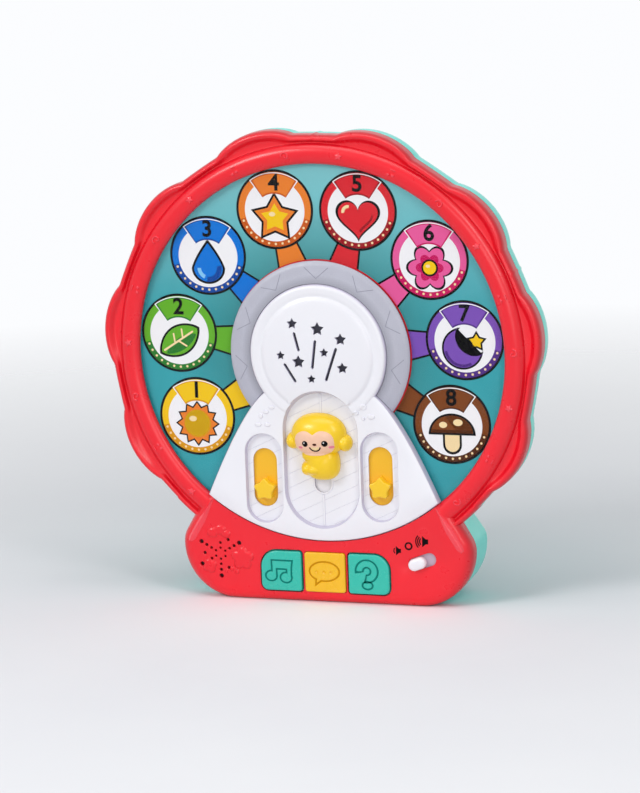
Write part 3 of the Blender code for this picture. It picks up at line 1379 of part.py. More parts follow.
def monkey_spring(material):
    """Compression spring between the carriage and the end of its channel."""
    top = carriage_ends()[1] - FIT - SPRING_WIRE_R
    bottom = -GUIDE_END_DROP + GUIDE_WALL + FIT + SPRING_WIRE_R
    depth = (tower_back() + guide_floor_depth()) / 2
    count = SPRING_TURNS * SPRING_TURN_POINTS
    curve = bpy.data.curves.new("spring", "CURVE")
    curve.dimensions = "3D"
    curve.bevel_depth = SPRING_WIRE_R
    curve.bevel_resolution = 0
    curve.use_fill_caps = True
    wire = curve.splines.new("POLY")
    wire.points.add(count)
    for index in range(count + 1):
        turn = math.tau * index / SPRING_TURN_POINTS
        x = SPRING_R * math.cos(turn)
        z = bottom + (top - bottom) * index / count
        point = world_point((x, z), depth + SPRING_R * math.sin(turn))
        wire.points[index].co = (*point, 1.0)
    guide_curve = bpy.data.objects.new("spring", curve)
    bpy.context.scene.collection.objects.link(guide_curve)
    bpy.context.view_layer.update()
    graph = bpy.context.evaluated_depsgraph_get()
    mesh = bpy.data.meshes.new_from_object(guide_curve.evaluated_get(graph))
    bpy.data.objects.remove(guide_curve)
    spring = bpy.data.objects.new("monkey_spring", mesh)
    bpy.context.scene.collection.objects.link(spring)
    return finish(spring, "monkey_spring", material)


# Star sliders

def slider_plate(sign):
    """Centre, half width and length of the plate, which hides the slot over its travel."""
    middle = slider_middle(sign)
    half = SLIDER_SLOT_HALF + SLIDER_OVERLAP
    top = middle[1] + SLIDER_SLOT_LENGTH / 2 + SLIDER_OVERLAP
    bottom = middle[1] - SLIDER_SLOT_LENGTH / 2 - SLIDER_TRAVEL
    return (middle[0], (top + bottom) / 2), half, top - bottom


def star_slider(name, material, sign):
    """Sliding plate with a thick star for a finger."""
    centre, half, length = slider_plate(sign)
    front = tower_back() + FIT
    middle = slider_middle(sign)
    slide = plate("slider", stadium(centre, half, length, SLIDER_SEGMENTS), front,
                  front + SLIDER_THICK)
    spot = (middle[0], middle[1] - SLIDER_SLOT_LENGTH / 2 + STAR_RISE_FROM_END)
    grip = star(spot, STAR_R)
    blunt = rounded(grip, [STAR_ROUND, 0] * 5, [2] * 10)
    join(slide, stack("star", [
        (offset(blunt, -STAR_ROUND), front - STAR_HEIGHT),
        (blunt, front - STAR_HEIGHT + STAR_ROUND),
        (blunt, front + SLIDER_THICK / 2)]))
    return finish(slide, name, material, world_point(spot, front))


def slider_tray(name, material, sign):
    """Fixed tray behind the tower in which the star's plate runs."""
    centre, half, length = slider_plate(sign)
    front = tower_back() + FIT
    room = front + SLIDER_THICK + RUNNING_FIT
    middle = (centre[0], centre[1] + SLIDER_TRAVEL / 2)
    inner_half = half + RUNNING_FIT
    inner_length = length + SLIDER_TRAVEL + 2 * RUNNING_FIT
    wide = stadium(middle, inner_half + TRAY_WALL, inner_length + 2 * TRAY_WALL,
                   SLIDER_SEGMENTS)
    tray = plate("tray", wide, front, room + TRAY_FLOOR)
    inside = stadium(middle, inner_half, inner_length, SLIDER_SEGMENTS)
    cut(tray, plate("room", inside, front - OVERRUN, room))
    return finish(tray, name, material)


# Sound buttons, keypad and board

def sound_button(name, material, index):
    """Button cap with a soft edge, a flange behind the case and a stem onto the keypad."""
    front = BASE_FACE_DEPTH - BUTTON_PROUD
    flange = base_inner() + FIT
    flange_back = flange + BUTTON_FLANGE_THICK
    outline = button_outline(index)
    wide = offset(outline, BUTTON_FLANGE)
    middle = ((index - 1) * BUTTON_PITCH, -BUTTON_DROP)
    cap = stack("cap", [
        (offset(outline, -BUTTON_ROUND), front),
        (offset(outline, -BUTTON_ROUND / 4), front + BUTTON_ROUND / 3),
        (outline, front + BUTTON_ROUND),
        (outline, flange),
        (wide, flange),
        (wide, flange_back)])
    stem = rectangle(middle[0] - BUTTON_STEM_HALF, middle[1] - BUTTON_STEM_HALF,
                     middle[0] + BUTTON_STEM_HALF, middle[1] + BUTTON_STEM_HALF)
    join(cap, plate("stem", stem, flange, flange_back + BUTTON_STEM))
    return finish(cap, name, material, world_point(middle, front))


def pad_top_depth():
    return base_inner() + FIT + BUTTON_FLANGE_THICK + BUTTON_STEM + FIT


def board_front_depth():
    return pad_top_depth() + PAD_DOME_RISE + PAD_SHEET + FIT


def button_pad(material):
    """Rubber keypad: a sheet with a soft dome under each button."""
    top = pad_top_depth()
    sheet = top + PAD_DOME_RISE
    half = BUTTON_ROW_HALF - PAD_MARGIN
    tall = BUTTON_HEIGHT / 2 - PAD_MARGIN
    pad = plate("pad", rectangle(-half, -BUTTON_DROP - tall, half, -BUTTON_DROP + tall), sheet,
                sheet + PAD_SHEET)
    domes = [turned_solid("dome", ((index - 1) * BUTTON_PITCH, -BUTTON_DROP),
                          [(PAD_DOME_TOP_R, top), (PAD_DOME_R, sheet + PAD_SHEET / 2)],
                          CELL_SEGMENTS) for index in range(3)]
    join(pad, gather("domes", domes))
    return finish(pad, "button_pad", material)


def main_board(material):
    """Sound board behind the keypad, with a wing that carries the volume switch."""
    front = board_front_depth()
    tip = SWITCH_X + BOARD_WING_REACH
    wing_top = BOARD_WING_RISE - SWITCH_DROP
    wing_bottom = -SWITCH_DROP - BOARD_WING_FALL
    outline = [(-BOARD_HALF, -BOARD_BOTTOM_DROP), (BOARD_HALF, -BOARD_BOTTOM_DROP),
               (BOARD_HALF, wing_bottom), (tip, wing_bottom), (tip, wing_top),
               (BOARD_HALF, wing_top), (BOARD_HALF, -BOARD_TOP_DROP),
               (-BOARD_HALF, -BOARD_TOP_DROP)]
    board = plate("board", outline, front, front + BOARD_THICK)
    return finish(board, "main_board", material)


# Volume switch

def knob_rest_slide():
    """At rest the knob is at the low end of its slot."""
    return -SWITCH_TRAVEL / 2


def volume_knob(material):
    """Oblong knob with a flange behind the case and a fork on the switch."""
    front = BASE_FACE_DEPTH - SWITCH_PROUD
    flange = base_inner() + FIT
    rest = knob_rest_slide()
    body = switch_outline(SWITCH_KNOB_LENGTH, SWITCH_KNOB_HALF, rest)
    knob = stack("knob", [
        (offset(body, -BUTTON_ROUND * 3 / 2), front),
        (offset(body, -BUTTON_ROUND / 2), front + BUTTON_ROUND / 2),
        (body, front + BUTTON_ROUND * 3 / 2),
        (body, flange),
        (offset(body, SWITCH_FLANGE), flange),
        (offset(body, SWITCH_FLANGE), flange + SWITCH_FLANGE_THICK)])
    fork = switch_outline(4 * SWITCH_FORK_HALF, SWITCH_FORK_HALF, rest)
    join(knob, plate("fork", fork, flange, flange + SWITCH_FLANGE_THICK + SWITCH_FORK))
    pivot = (SWITCH_X + rest * math.cos(SWITCH_TILT), -SWITCH_DROP + rest * math.sin(SWITCH_TILT))
    return finish(knob, "volume_knob", material, world_point(pivot, front))


def volume_switch(material):
    """Slide switch in its steel can, on the board's wing."""
    back = board_front_depth() - FIT
    front = base_inner() + FIT + SWITCH_FLANGE_THICK + SWITCH_FORK + FIT
    centre = (SWITCH_X, -SWITCH_DROP)
    can = rectangle(centre[0] - SWITCH_BODY_HALF, centre[1] - SWITCH_BODY_HALF_TALL,
                    centre[0] + SWITCH_BODY_HALF, centre[1] + SWITCH_BODY_HALF_TALL)
    lying = turned(can, centre, SWITCH_TILT)
    body = stack("can", [(offset(lying, -FIT), front), (lying, front + FIT), (lying, back)])
    return finish(body, "volume_switch", material)


# Loudspeaker

def speaker(material):
    """Small loudspeaker inside its collar, facing the sound holes."""
    front = base_inner() + FIT
    waist = front + SPEAKER_FLANGE + SPEAKER_BASKET
    body = turned_solid("speaker", (SPEAKER_X, -SPEAKER_DROP), [
        (SPEAKER_R, front), (SPEAKER_R, front + SPEAKER_FLANGE),
        (SPEAKER_BASKET_R, front + SPEAKER_FLANGE),
        (SPEAKER_MAGNET_R, waist), (SPEAKER_MAGNET_R, waist + SPEAKER_MAGNET)],
        SPEAKER_SEGMENTS)
    return finish(body, "speaker", material)


# Batteries

def along_x(outline_points, start, end):
    """A prism along X from (y, z) points."""
    rings = [[(x, y, z) for y, z in outline_points] for x in (start, end)]
    return loft("prism", rings)


def cell_axis(index):
    depth = bay_floor_depth() + FIT + CELL_R
    z = -BAY_DROP + (index - (CELL_COUNT - 1) / 2) * CELL_PITCH
    return FACE_Y + depth, WHEEL_HEIGHT + z


def lathe_x(name, axis, profile, segments):
    """Revolves (radius, x) points about an axis along X."""
    rings = []
    for radius, x in profile:
        ring = []
        for step in range(segments):
            turn = math.tau * step / segments
            ring.append((x, axis[0] + radius * math.cos(turn), axis[1] + radius * math.sin(turn)))
        rings.append(ring)
    return loft(name, rings)


def batteries(material):
    """Three AAA cells, each the other way round from its neighbour."""
    half = CELL_LENGTH / 2
    for index in range(CELL_COUNT):
        way = 1 if index % 2 == 0 else -1
        cell = lathe_x("cell", cell_axis(index), [
            (CELL_R, -way * half), (CELL_R, way * half),
            (CELL_NUB_R, way * half),
            (CELL_NUB_R, way * (half + CELL_NUB))], CELL_SEGMENTS)
        finish(cell, f"battery_{index + 1}", material)


def contact_strip(name, material, sign):
    """Sprung contact strip at one end of the bay: cones press on the flat ends, dimples on
    the nubs."""
    wall = bay_half_width() - FIT
    inner = wall - CONTACT_THICK
    depth_front = FACE_Y + bay_floor_depth() + FIT
    depth_back = FACE_Y + bay_mouth_depth() - FIT
    low = WHEEL_HEIGHT - BAY_DROP - bay_half_tall() + FIT
    high = WHEEL_HEIGHT - BAY_DROP + bay_half_tall() - FIT
    section = [(depth_front, low), (depth_back, low), (depth_back, high), (depth_front, high)]
    strip = along_x(section, sign * inner, sign * wall)
    tips = []
    for index in range(CELL_COUNT):
        way = 1 if index % 2 == 0 else -1
        root = sign * (inner + CONTACT_THICK / 2)
        if way == sign:
            reach = sign * (CELL_LENGTH / 2 + CELL_NUB + FIT)
            profile = [(CELL_NUB_R, root), (CELL_NUB_R / 2, reach)]
        else:
            reach = sign * (CELL_LENGTH / 2 + FIT)
            profile = [(CONTACT_CONE_R, root), (CONTACT_CONE_TIP_R, reach)]
        tips.append(lathe_x("tip", cell_axis(index), profile, SCREW_SEGMENTS))
    join(strip, gather("tips", tips))
    return finish(strip, name, material)


def battery_door(material):
    """Door plate over the bay, flush with the stand's back, with a sunk seat for its screw."""
    front = bay_mouth_depth() + FIT
    door = plate("door", door_outline(), front, BASE_BACK_DEPTH)
    point = door_screw_point()
    hole = stack("hole", [
        (circle(point, SCREW_R + PILOT_GAP, SCREW_SEGMENTS), front - OVERRUN),
        (circle(point, SCREW_R + PILOT_GAP, SCREW_SEGMENTS), front + DOOR_THICK / 3),
        (circle(point, SCREW_HEAD_R + PILOT_GAP, SCREW_SEGMENTS), front + DOOR_THICK / 3),
        (circle(point, SCREW_HEAD_R + PILOT_GAP, SCREW_SEGMENTS), BASE_BACK_DEPTH + OVERRUN)])
    cut(door, hole)
    pivot = world_point((0, -BAY_DROP), front)
    return finish(door, "battery_door", material, pivot)


def door_screw(material):
    seat = bay_mouth_depth() + FIT + DOOR_THICK / 3 + FIT
    head = BASE_BACK_DEPTH - seat
    screw("door_screw", material, door_screw_point(), seat, DOOR_SCREW_LENGTH - FIT,
          SCREW_R, SCREW_HEAD_R, head, SCREW_SEGMENTS)


# Assembly

def clear_scene():
    for existing in list(bpy.data.objects):
        bpy.data.objects.remove(existing)


def build():
    clear_scene()
    looks = {name: plastic(name, **values) for name, values in MATERIAL_TABLE.items()}
    front_shell(looks["red_shell"])
    back_shell(looks["teal_shell"])
    case_screws(looks["steel"])
    window(looks["clear_window"])
    artwork_panel(looks["printed_panel"])
    light_divider(looks["divider_plastic"])
    led_board(looks["circuit_board"])
    leds(looks["led_clear"])
    light_ring(looks["frosted_plastic"])
    tower_panel(looks["white_plastic"])
    dome_screws(looks["steel"])
    monkey_knob(looks["monkey_yellow"])
    monkey_carriage(looks["white_plastic"])
    carriage_screw(looks["steel"])
    carriage_guide(looks["divider_plastic"])
    monkey_spring(looks["steel"])
    for side, sign in (("left", -1), ("right", 1)):
        star_slider(f"star_slider_{side}", looks["slider_orange"], sign)
        slider_tray(f"slider_tray_{side}", looks["divider_plastic"], sign)
    for index, (name, look) in enumerate((("button_music", "button_teal"),
                                          ("button_speech", "button_yellow"),
                                          ("button_question", "button_teal"))):
        sound_button(name, looks[look], index)
    button_pad(looks["silicone"])
    main_board(looks["circuit_board"])
    volume_knob(looks["white_plastic"])
    volume_switch(looks["switch_steel"])
    speaker(looks["speaker_black"])
    batteries(looks["cell_wrap"])
    contact_strip("battery_contact_left", looks["steel"], -1)
    contact_strip("battery_contact_right", looks["steel"], 1)
    battery_door(looks["teal_shell"])
    door_screw(looks["steel"])


build()
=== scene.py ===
"""Dressed model of the light-and-sound learning wheel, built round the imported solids.

Lengths are in metres, +Z is up and the front faces -Y. Outlines are drawn in the plane of the
face as (x, z) about the wheel's centre, and depth is measured backwards from the wheel's face.
Artwork, icons and reliefs are drawn in millimetres and scaled by MM.
"""

import json
import math

import bmesh
import bpy
from mathutils import Matrix, Vector
from mathutils.bvhtree import BVHTree


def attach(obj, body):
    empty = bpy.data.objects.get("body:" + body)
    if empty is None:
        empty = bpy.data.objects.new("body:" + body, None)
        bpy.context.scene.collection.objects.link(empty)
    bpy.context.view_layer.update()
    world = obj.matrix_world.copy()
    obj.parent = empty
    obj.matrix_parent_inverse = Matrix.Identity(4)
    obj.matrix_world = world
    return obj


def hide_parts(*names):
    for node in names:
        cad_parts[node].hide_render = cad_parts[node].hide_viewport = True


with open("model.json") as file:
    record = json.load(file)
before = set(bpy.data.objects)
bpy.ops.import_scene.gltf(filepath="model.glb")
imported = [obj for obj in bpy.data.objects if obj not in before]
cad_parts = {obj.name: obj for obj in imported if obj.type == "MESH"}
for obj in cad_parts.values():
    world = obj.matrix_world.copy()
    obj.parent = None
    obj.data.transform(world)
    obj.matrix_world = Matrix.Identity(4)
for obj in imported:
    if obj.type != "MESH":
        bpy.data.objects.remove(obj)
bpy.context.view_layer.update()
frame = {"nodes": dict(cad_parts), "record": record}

MM = 0.001

FACE_Y = -0.021
FIT = 0.0003
RUNNING_FIT = 0.0004
OVERRUN = 0.003
CRUMB = 0.000002
WALL = 0.0022
PARTING_DEPTH = 0.0085
DOME_R = 0.041
TOWER_HEIGHT = 0.069
WINDOW_R = DOME_R + TOWER_HEIGHT
STAND_FACE_HEIGHT = 0.037
WHEEL_HEIGHT = WINDOW_R + STAND_FACE_HEIGHT
RING_WIDTH = 0.012
GROOVE_R = WINDOW_R + RING_WIDTH
LIP_REACH = 0.0052
WHEEL_R = GROOVE_R + LIP_REACH
LOBE_RISE = 0.0052
LOBE_HALF = math.radians(10.6)
LOBE_FULLNESS = 0.86
VALLEY_DIP = 0.00045
RING_EDGE_DEPTH = 0.0009
RING_RISE = 0.0036
LIP_FOOT_GAP = 0.0004
LIP_WIDTH = 0.0054
LIP_REST = 0.0071
LIP_CREST_DEPTH = -0.0013
LIP_SIDE_DEPTH = 0.0030
LIP_STEPS = 8
VALLEY_DEEP = 0.0011
RIM_SEGMENTS = 516
RING_STEPS = 20
RING_MIDDLE_R = (GROOVE_R + WINDOW_R) / 2
RING_HALF = (GROOVE_R - WINDOW_R) / 2
POCKET_LEDGE = 0.0033
POCKET_R = WINDOW_R + POCKET_LEDGE
POCKET_DEPTH = 0.0014
RIM_WALL = 0.0012
CAVITY_R = WHEEL_R - RIM_WALL
CAVITY_DEPTH = 0.0030
CAVITY_SEGMENTS = 64
BACK_DEPTH = 0.034
BACK_ROLL_START = 0.014
BACK_ROLL_DEPTH = BACK_DEPTH - BACK_ROLL_START
BACK_ROUND_R = 0.025
BACK_STEPS = 10
SEAM_CHAMFER = 0.0005
BACK_DRAFT = 0.0002
BUTTON_WIDTH = 0.0246
BUTTON_BRIDGE = 0.0020
BUTTON_PITCH = BUTTON_WIDTH + BUTTON_BRIDGE
BUTTON_ROW_HALF = BUTTON_PITCH + BUTTON_WIDTH / 2
BUTTON_MARGIN = 0.00675
BUTTON_HEIGHT = STAND_FACE_HEIGHT - 2 * BUTTON_MARGIN
BUTTON_DROP = WINDOW_R + STAND_FACE_HEIGHT / 2
SIDE_PANEL_WIDTH = 0.0493
BASE_HALF = BUTTON_ROW_HALF + SIDE_PANEL_WIDTH
BASE_SHOULDER_GAP = 0.0005
BASE_SHOULDER_DROP = WINDOW_R + BASE_SHOULDER_GAP
BASE_TOP_INSET = 0.0012
BASE_TOP_SPREAD = math.radians(41.1)
BASE_TOP_HALF = (WINDOW_R - BASE_TOP_INSET) * math.sin(BASE_TOP_SPREAD)
BASE_TOP_DROP = (WINDOW_R - BASE_TOP_INSET) * math.cos(BASE_TOP_SPREAD)
BASE_CORNER_GAP = 0.005
BASE_CORNER_R = STAND_FACE_HEIGHT - BASE_CORNER_GAP
BASE_SHOULDER_R = 0.016
BASE_TOP_R = 0.014
BASE_CORNER_RADII = (BASE_CORNER_R, BASE_CORNER_R, BASE_SHOULDER_R, BASE_TOP_R, BASE_TOP_R,
                     BASE_SHOULDER_R)
BASE_FACE_DEPTH = -0.0030
BASE_EDGE_INSET = 0.0074
BASE_EDGE_DEPTH = 0.0042
BASE_FOOT_TRIM = 0.0007
BASE_EDGE_STEPS = 9
BASE_BACK_DEPTH = 0.044
BASE_BACK_ROUND = 0.007
BASE_BACK_DRAFT = 0.0020
BASE_BACK_TOP_SLOPE = 0.004
BASE_BACK_STEPS = 7
BASE_CORNER_STEPS = (22, 22, 14, 6, 6, 14)
WINDOW_DEPTH = 0.0017
WINDOW_THICK = 0.0012
BADGE_COUNT = 8
BADGE_INSET = 0.0233
BADGE_R = WINDOW_R - BADGE_INSET
BADGE_RIM_STEPS = 48
BADGE_PITCH = math.tau * BADGE_RIM_STEPS / RIM_SEGMENTS
STAKE_SEGMENTS = 14
DIVIDER_WALL = 0.0015
DIVIDER_BACK_DEPTH = 0.0152
LED_BOARD_THICK = 0.0016
LED_POST_R = 0.0032
LED_POST_SPREAD = math.radians(100)
FROST_WIDTH = 0.013
FROST_OUTER_R = DOME_R + FROST_WIDTH
FROST_RISE = 0.0022
FROST_EDGE_DROP = 0.0016
FROST_EDGE_ROUND = 0.0015
FROST_SEGMENTS = 160
DOME_EDGE_DEPTH = -0.0047
DOME_EDGE_ROUND = 0.0024
DOME_BORDER = 0.0070
DOME_DISC_R = DOME_R - DOME_BORDER
DOME_STEP = 0.0007
DOME_CROWN = 0.0020
DOME_FAR_FRONT = DOME_EDGE_DEPTH - DOME_STEP - DOME_CROWN - OVERRUN
DOME_EDGE_STEPS = 6
DOME_VALLEY_STEPS = 8
DOME_CROWN_SHARES = (0.96, 0.9, 5 / 6, 2 / 3, 1 / 2, 1 / 3, 1 / 6)
DOME_BACK_DEPTH = 0.0030
DOME_WALL = 0.0018
DOME_SEGMENTS = 160
DOME_VALLEY_HALF = 0.0011
DOME_VALLEY_DEEP = 0.00055
TOWER_FACE_DEPTH = -0.0042
TOWER_THICK = 0.0040
TOWER_EDGE_ROUND = 0.0016
TOWER_RIM_WALL = 0.0016
TOWER_NECK_INSET = 0.00106
TOWER_NECK_SPREAD = math.radians(55.7)
TOWER_NECK_HALF = (DOME_R - TOWER_NECK_INSET) * math.sin(TOWER_NECK_SPREAD)
TOWER_NECK_DROP = (DOME_R - TOWER_NECK_INSET) * math.cos(TOWER_NECK_SPREAD)
TOWER_FLARE_REACH = 0.0145
TOWER_FLARE_FALL = 0.0110
TOWER_FOOT_SPREAD = math.radians(39.52)
TOWER_R = WINDOW_R - FIT / 2
TOWER_FOOT_HALF = TOWER_R * math.sin(TOWER_FOOT_SPREAD)
TOWER_FOOT_DROP = TOWER_R * math.cos(TOWER_FOOT_SPREAD)
TOWER_SIDE_STEPS = 24
TOWER_BOTTOM_STEPS = 48
TOWER_TAB_HALF = 0.005
TOWER_TAB_ROOT = 0.0022
TOWER_TAB_REACH = 0.0025
TOWER_TAB_THICK = 0.0015
TOWER_TAB_SPREAD = math.radians(28.5)
TRACK_HALF = 0.0226
TRACK_HEAD_ROOM = 0.0119
TRACK_FOOT_MARGIN = 0.0077
TRACK_BOTTOM_DROP = WINDOW_R - TRACK_FOOT_MARGIN
TRACK_DEEP = 0.0028
TRACK_DRAFT = 0.0011
TRACK_BACKING = 0.0024
TRACK_SEGMENTS = 36
SLOT_SIDE_ROOM = 0.0004
SLOT_FOOT_MARGIN = 0.0209
SLOT_BOTTOM_DROP = TRACK_BOTTOM_DROP - SLOT_FOOT_MARGIN
SLOT_TOP_SPARE = 0.0045
SLOT_BOTTOM_SPARE = 0.0039
SLOT_SEGMENTS = 18
POCKET_OFFSET = 0.0350
POCKET_HALF = 0.0112
POCKET_LENGTH = 0.0530
POCKET_DRAFT = 0.0006
SLIDER_SLOT_HALF = 0.0072
SLIDER_SLOT_LENGTH = 0.0345
SLIDER_FOOT_RISE = 0.0379
SLIDER_MIDDLE_DROP = WINDOW_R - SLIDER_FOOT_RISE
SLIDER_STAGGER = 0.0015
SLIDER_TRAVEL = 0.012
SLIDER_OVERLAP = 0.0015
SLIDER_THICK = 0.0015
STAR_R = 0.0066
STAR_WAIST_SHARE = 0.66
STAR_HEIGHT = 0.0055
STAR_TIP_R = 0.0013
STAR_EDGE_R = 0.0008
STAR_GROW = 1.09
STAR_TIP_STEPS = 7
STAR_FOOT_Y = FACE_Y + TOWER_FACE_DEPTH + TRACK_DEEP + 0.0024 + FIT
STAR_TOP_Y = STAR_FOOT_Y - 0.7 * STAR_HEIGHT
STAR_RISE_FROM_END = 0.0105
POCKET_SEGMENTS = 28
SLIDER_SEGMENTS = 18
HEAD_HALF = 0.0160
HEAD_HALF_TALL = 0.0130
HEAD_THICK = 0.0115
EAR_THICK = 0.0070
BODY_HALF_TALL = 0.0092
BODY_DROP = 0.0172
BODY_THICK = 0.0095
STEM_HALF = 0.0046
STEM_HALF_TALL = 0.0060
STEM_DROP = 0.0110
MONKEY_TRAVEL = 0.014
SLOT_HALF = STEM_HALF + SLOT_SIDE_ROOM
SLOT_TOP_DROP = (SLOT_BOTTOM_DROP - SLOT_BOTTOM_SPARE - MONKEY_TRAVEL - 2 * STEM_HALF_TALL
                 - SLOT_TOP_SPARE)
MONKEY_DROP = SLOT_TOP_DROP + SLOT_TOP_SPARE + STEM_HALF_TALL - STEM_DROP
TRACK_TOP_DROP = MONKEY_DROP - HEAD_HALF_TALL - TRACK_HEAD_ROOM
HEAD_SEGMENTS = 72
HEAD_LEVELS = 36
SOFT_CELL = 0.00032
CARRIAGE_HALF = 0.0075
GUIDE_WALL = 0.0014
GUIDE_EAR = 0.0070
STAKE_R = 0.0013
STAKE_LENGTH = 0.0024
DOME_STAR_SHARES = (
    (-0.41, 0.54, 0.088),
    (0.04, 0.46, 0.110),
    (0.44, 0.29, 0.097),
    (-0.63, -0.01, 0.073),
    (-0.31, -0.11, 0.106),
    (0.15, 0.06, 0.073),
    (0.46, -0.20, 0.091),
    (-0.09, -0.40, 0.070),
)
DOME_STREAK_SHARES = (
    (-0.375, 0.38, -0.30, 0.09),
    (-0.003, 0.255, -0.065, -0.205),
    (0.36, 0.13, 0.17, -0.41),
    (-0.56, -0.16, -0.38, -0.45),
)
DOME_STREAK_HALF = 0.0008
DOME_STAR_GROW = 1.1
DOME_STAR_WAIST = 0.54
SCREW_R = 0.00145
SCREW_HEAD_R = 0.0031
SCREW_HEAD = 0.0020
SCREW_SEGMENTS = 20
WELL_SEGMENTS = 24
PILOT_GAP = 0.0003
BOSS_R = 0.0034
BOSS_RIM_GAP = 0.0010
BOSS_MEET_DEPTH = 0.0120
BOSS_FLOOR = 0.0032
WELL_R = 0.0037
WELL_WALL = 0.0015
BOSS_ORBIT = CAVITY_R - WELL_R - WELL_WALL - BOSS_RIM_GAP
CASE_BOSS_ANGLES = tuple(math.radians(angle) for angle in (0, 50, 100, -50, -100))
BASE_BOSS_GAP = 0.0057
BASE_BOSS_OFFSET = BUTTON_ROW_HALF + BASE_BOSS_GAP
BASE_BOSS_RISE = 0.008
BASE_BOSS_DROP = WHEEL_HEIGHT - BASE_BOSS_RISE
CASE_SCREW_LENGTH = 0.011
DOME_BOSS_OFFSET = 0.022
DOME_BOSS_RISE = 0.012
DOME_SCREW_LENGTH = 0.008
CARRIAGE_SCREW_R = 0.0012
CARRIAGE_SCREW_LENGTH = 0.0070
BUTTON_PROUD = 0.0014
BUTTON_GAPS = (0.00085, 0.00030, 0.00085)
BUTTON_ROUND = 0.0008
SOFT_EDGE_STEPS = 5
KNOB_ROUNDING = ((7 / 4, -1 / 4), (1, 1 / 8), (3 / 8, 5 / 8), (1 / 10, 11 / 8))
BUTTON_CORNER_R = 0.0016
BUTTON_OUTER_CORNER_R = 0.0095
BUTTON_LOWER_CORNER_R = 0.0040
BUTTON_FLANGE = 0.0006
BUTTON_FLANGE_THICK = 0.0011
BUTTON_STEM_HALF = 0.0045
BUTTON_STEM = 0.0019
SWITCH_INSET = 0.0298
SWITCH_X = BASE_HALF - SWITCH_INSET
SWITCH_RISE = 0.0268
SWITCH_DROP = WHEEL_HEIGHT - SWITCH_RISE
SWITCH_TILT = math.radians(20)
SWITCH_SLOT_LENGTH = 0.0172
SWITCH_SLOT_HALF = 0.0039
SWITCH_KNOB_LENGTH = 0.0108
SWITCH_KNOB_HALF = 0.0035
SWITCH_PROUD = 0.0020
SWITCH_TRAVEL = 0.0056
SWITCH_DISH_HALF = 0.0125
SWITCH_DISH_HALF_TALL = 0.0078
SWITCH_DISH_DEEP = 0.0013
SWITCH_FLANGE = 0.0012
SWITCH_SHUTTER_LENGTH = 0.0236
SWITCH_FLANGE_THICK = 0.0011
SWITCH_FORK_HALF = 0.0020
SWITCH_FORK = 0.0018
SWITCH_SEGMENTS = 18
DISH_SEGMENTS = 64
ICON_HALF = 0.62
ICON_DEEP = 0.70
ICON_LINE_HALF = 0.42
SPEAKER_INSET = 0.0241
SPEAKER_X = SPEAKER_INSET - BASE_HALF
SPEAKER_RISE = 0.027
SPEAKER_DROP = WHEEL_HEIGHT - SPEAKER_RISE
SPEAKER_R = 0.0145
SPEAKER_SEGMENTS = 40
COLLAR_WALL = 0.0012
COLLAR_DEEP = 0.0030
SOUND_HOLE_ORBITS = (0.0033, 0.0064, 0.0097, 0.0134)
SOUND_HOLE_RADII = (0.00066, 0.00078, 0.00092, 0.00128)
SOUND_RAY_ANGLES = tuple(math.radians(angle) for angle in (30, 90, 150, 210, 270, 330))
SOUND_RAY_COUNTS = (4, 2, 4, 4, 4, 1)
SOUND_BETWEEN_ANGLES = tuple(math.radians(angle) for angle in (60, 180, 300))
SOUND_HOLE_SEGMENTS = 18
HOLE_CHAMFER = 0.00025
CREASE_HALF = 1.6
CREASE_INNER_HALF = 2.6
CREASE_RISE = 0.00115
CREASE_STEPS = 24
CELL_R = 0.00525
CELL_LENGTH = 0.0430
CELL_NUB = 0.0010
CELL_PITCH = 0.0112
CELL_COUNT = 3
BAY_RISE = 0.0280
BAY_DROP = WHEEL_HEIGHT - BAY_RISE
BAY_END_ROOM = 0.0032
BAY_WALL = 0.0016
DOOR_MARGIN = 0.0030
DOOR_THICK = 0.0020
DOOR_CORNER_R = 0.0030
DOOR_SCREW_TAB = 0.0075
DOOR_SCREW_LENGTH = 0.0070
TOWER_BACK = TOWER_FACE_DEPTH + TOWER_THICK
TRACK_FLOOR = TOWER_FACE_DEPTH + TRACK_DEEP
BASE_INNER = BASE_FACE_DEPTH + WALL
BUTTON_FACE = BASE_FACE_DEPTH - BUTTON_PROUD
FLANGE_DEPTH = BASE_INNER + FIT
PILOT_R = SCREW_R + PILOT_GAP
KNOB_REST = -SWITCH_TRAVEL / 2
BAY_HALF_WIDTH = CELL_LENGTH / 2 + CELL_NUB + BAY_END_ROOM
BAY_HALF_TALL = CELL_PITCH * CELL_COUNT / 2 + FIT
BAY_MOUTH_DEPTH = BASE_BACK_DEPTH - DOOR_THICK - FIT
BAY_FLOOR_DEPTH = BAY_MOUTH_DEPTH - 2 * CELL_R - 2 * FIT
DOOR_TOP = -BAY_DROP + BAY_HALF_TALL + DOOR_MARGIN
DOOR_SCREW_POINT = (0.0, DOOR_TOP + DOOR_SCREW_TAB / 2)
SPEAKER_POINT = (SPEAKER_X, -SPEAKER_DROP)
SWITCH_POINT = (SWITCH_X, -SWITCH_DROP)

# Materials

WALL_FACING = 0.40
FACE_FACING = 0.90
EDGE_WEAR_R = 0.0004
SKIN_GRAIN = 0.05


def srgb(red, green, blue):
    """A colour from 0-255 display values, as linear RGBA."""
    linear = []
    for value in (red, green, blue):
        share = value / 255
        linear.append(share / 12.92 if share <= 0.04045 else ((share + 0.055) / 1.055) ** 2.4)
    return (*linear, 1.0)


def toned(colour, share):
    """The colour made darker, or lighter where share is above 1."""
    return tuple(min(1.0, value * share) for value in colour[:3]) + (1.0,)


def paler(colour, share):
    return tuple(value + (1 - value) * share for value in colour[:3]) + (1.0,)


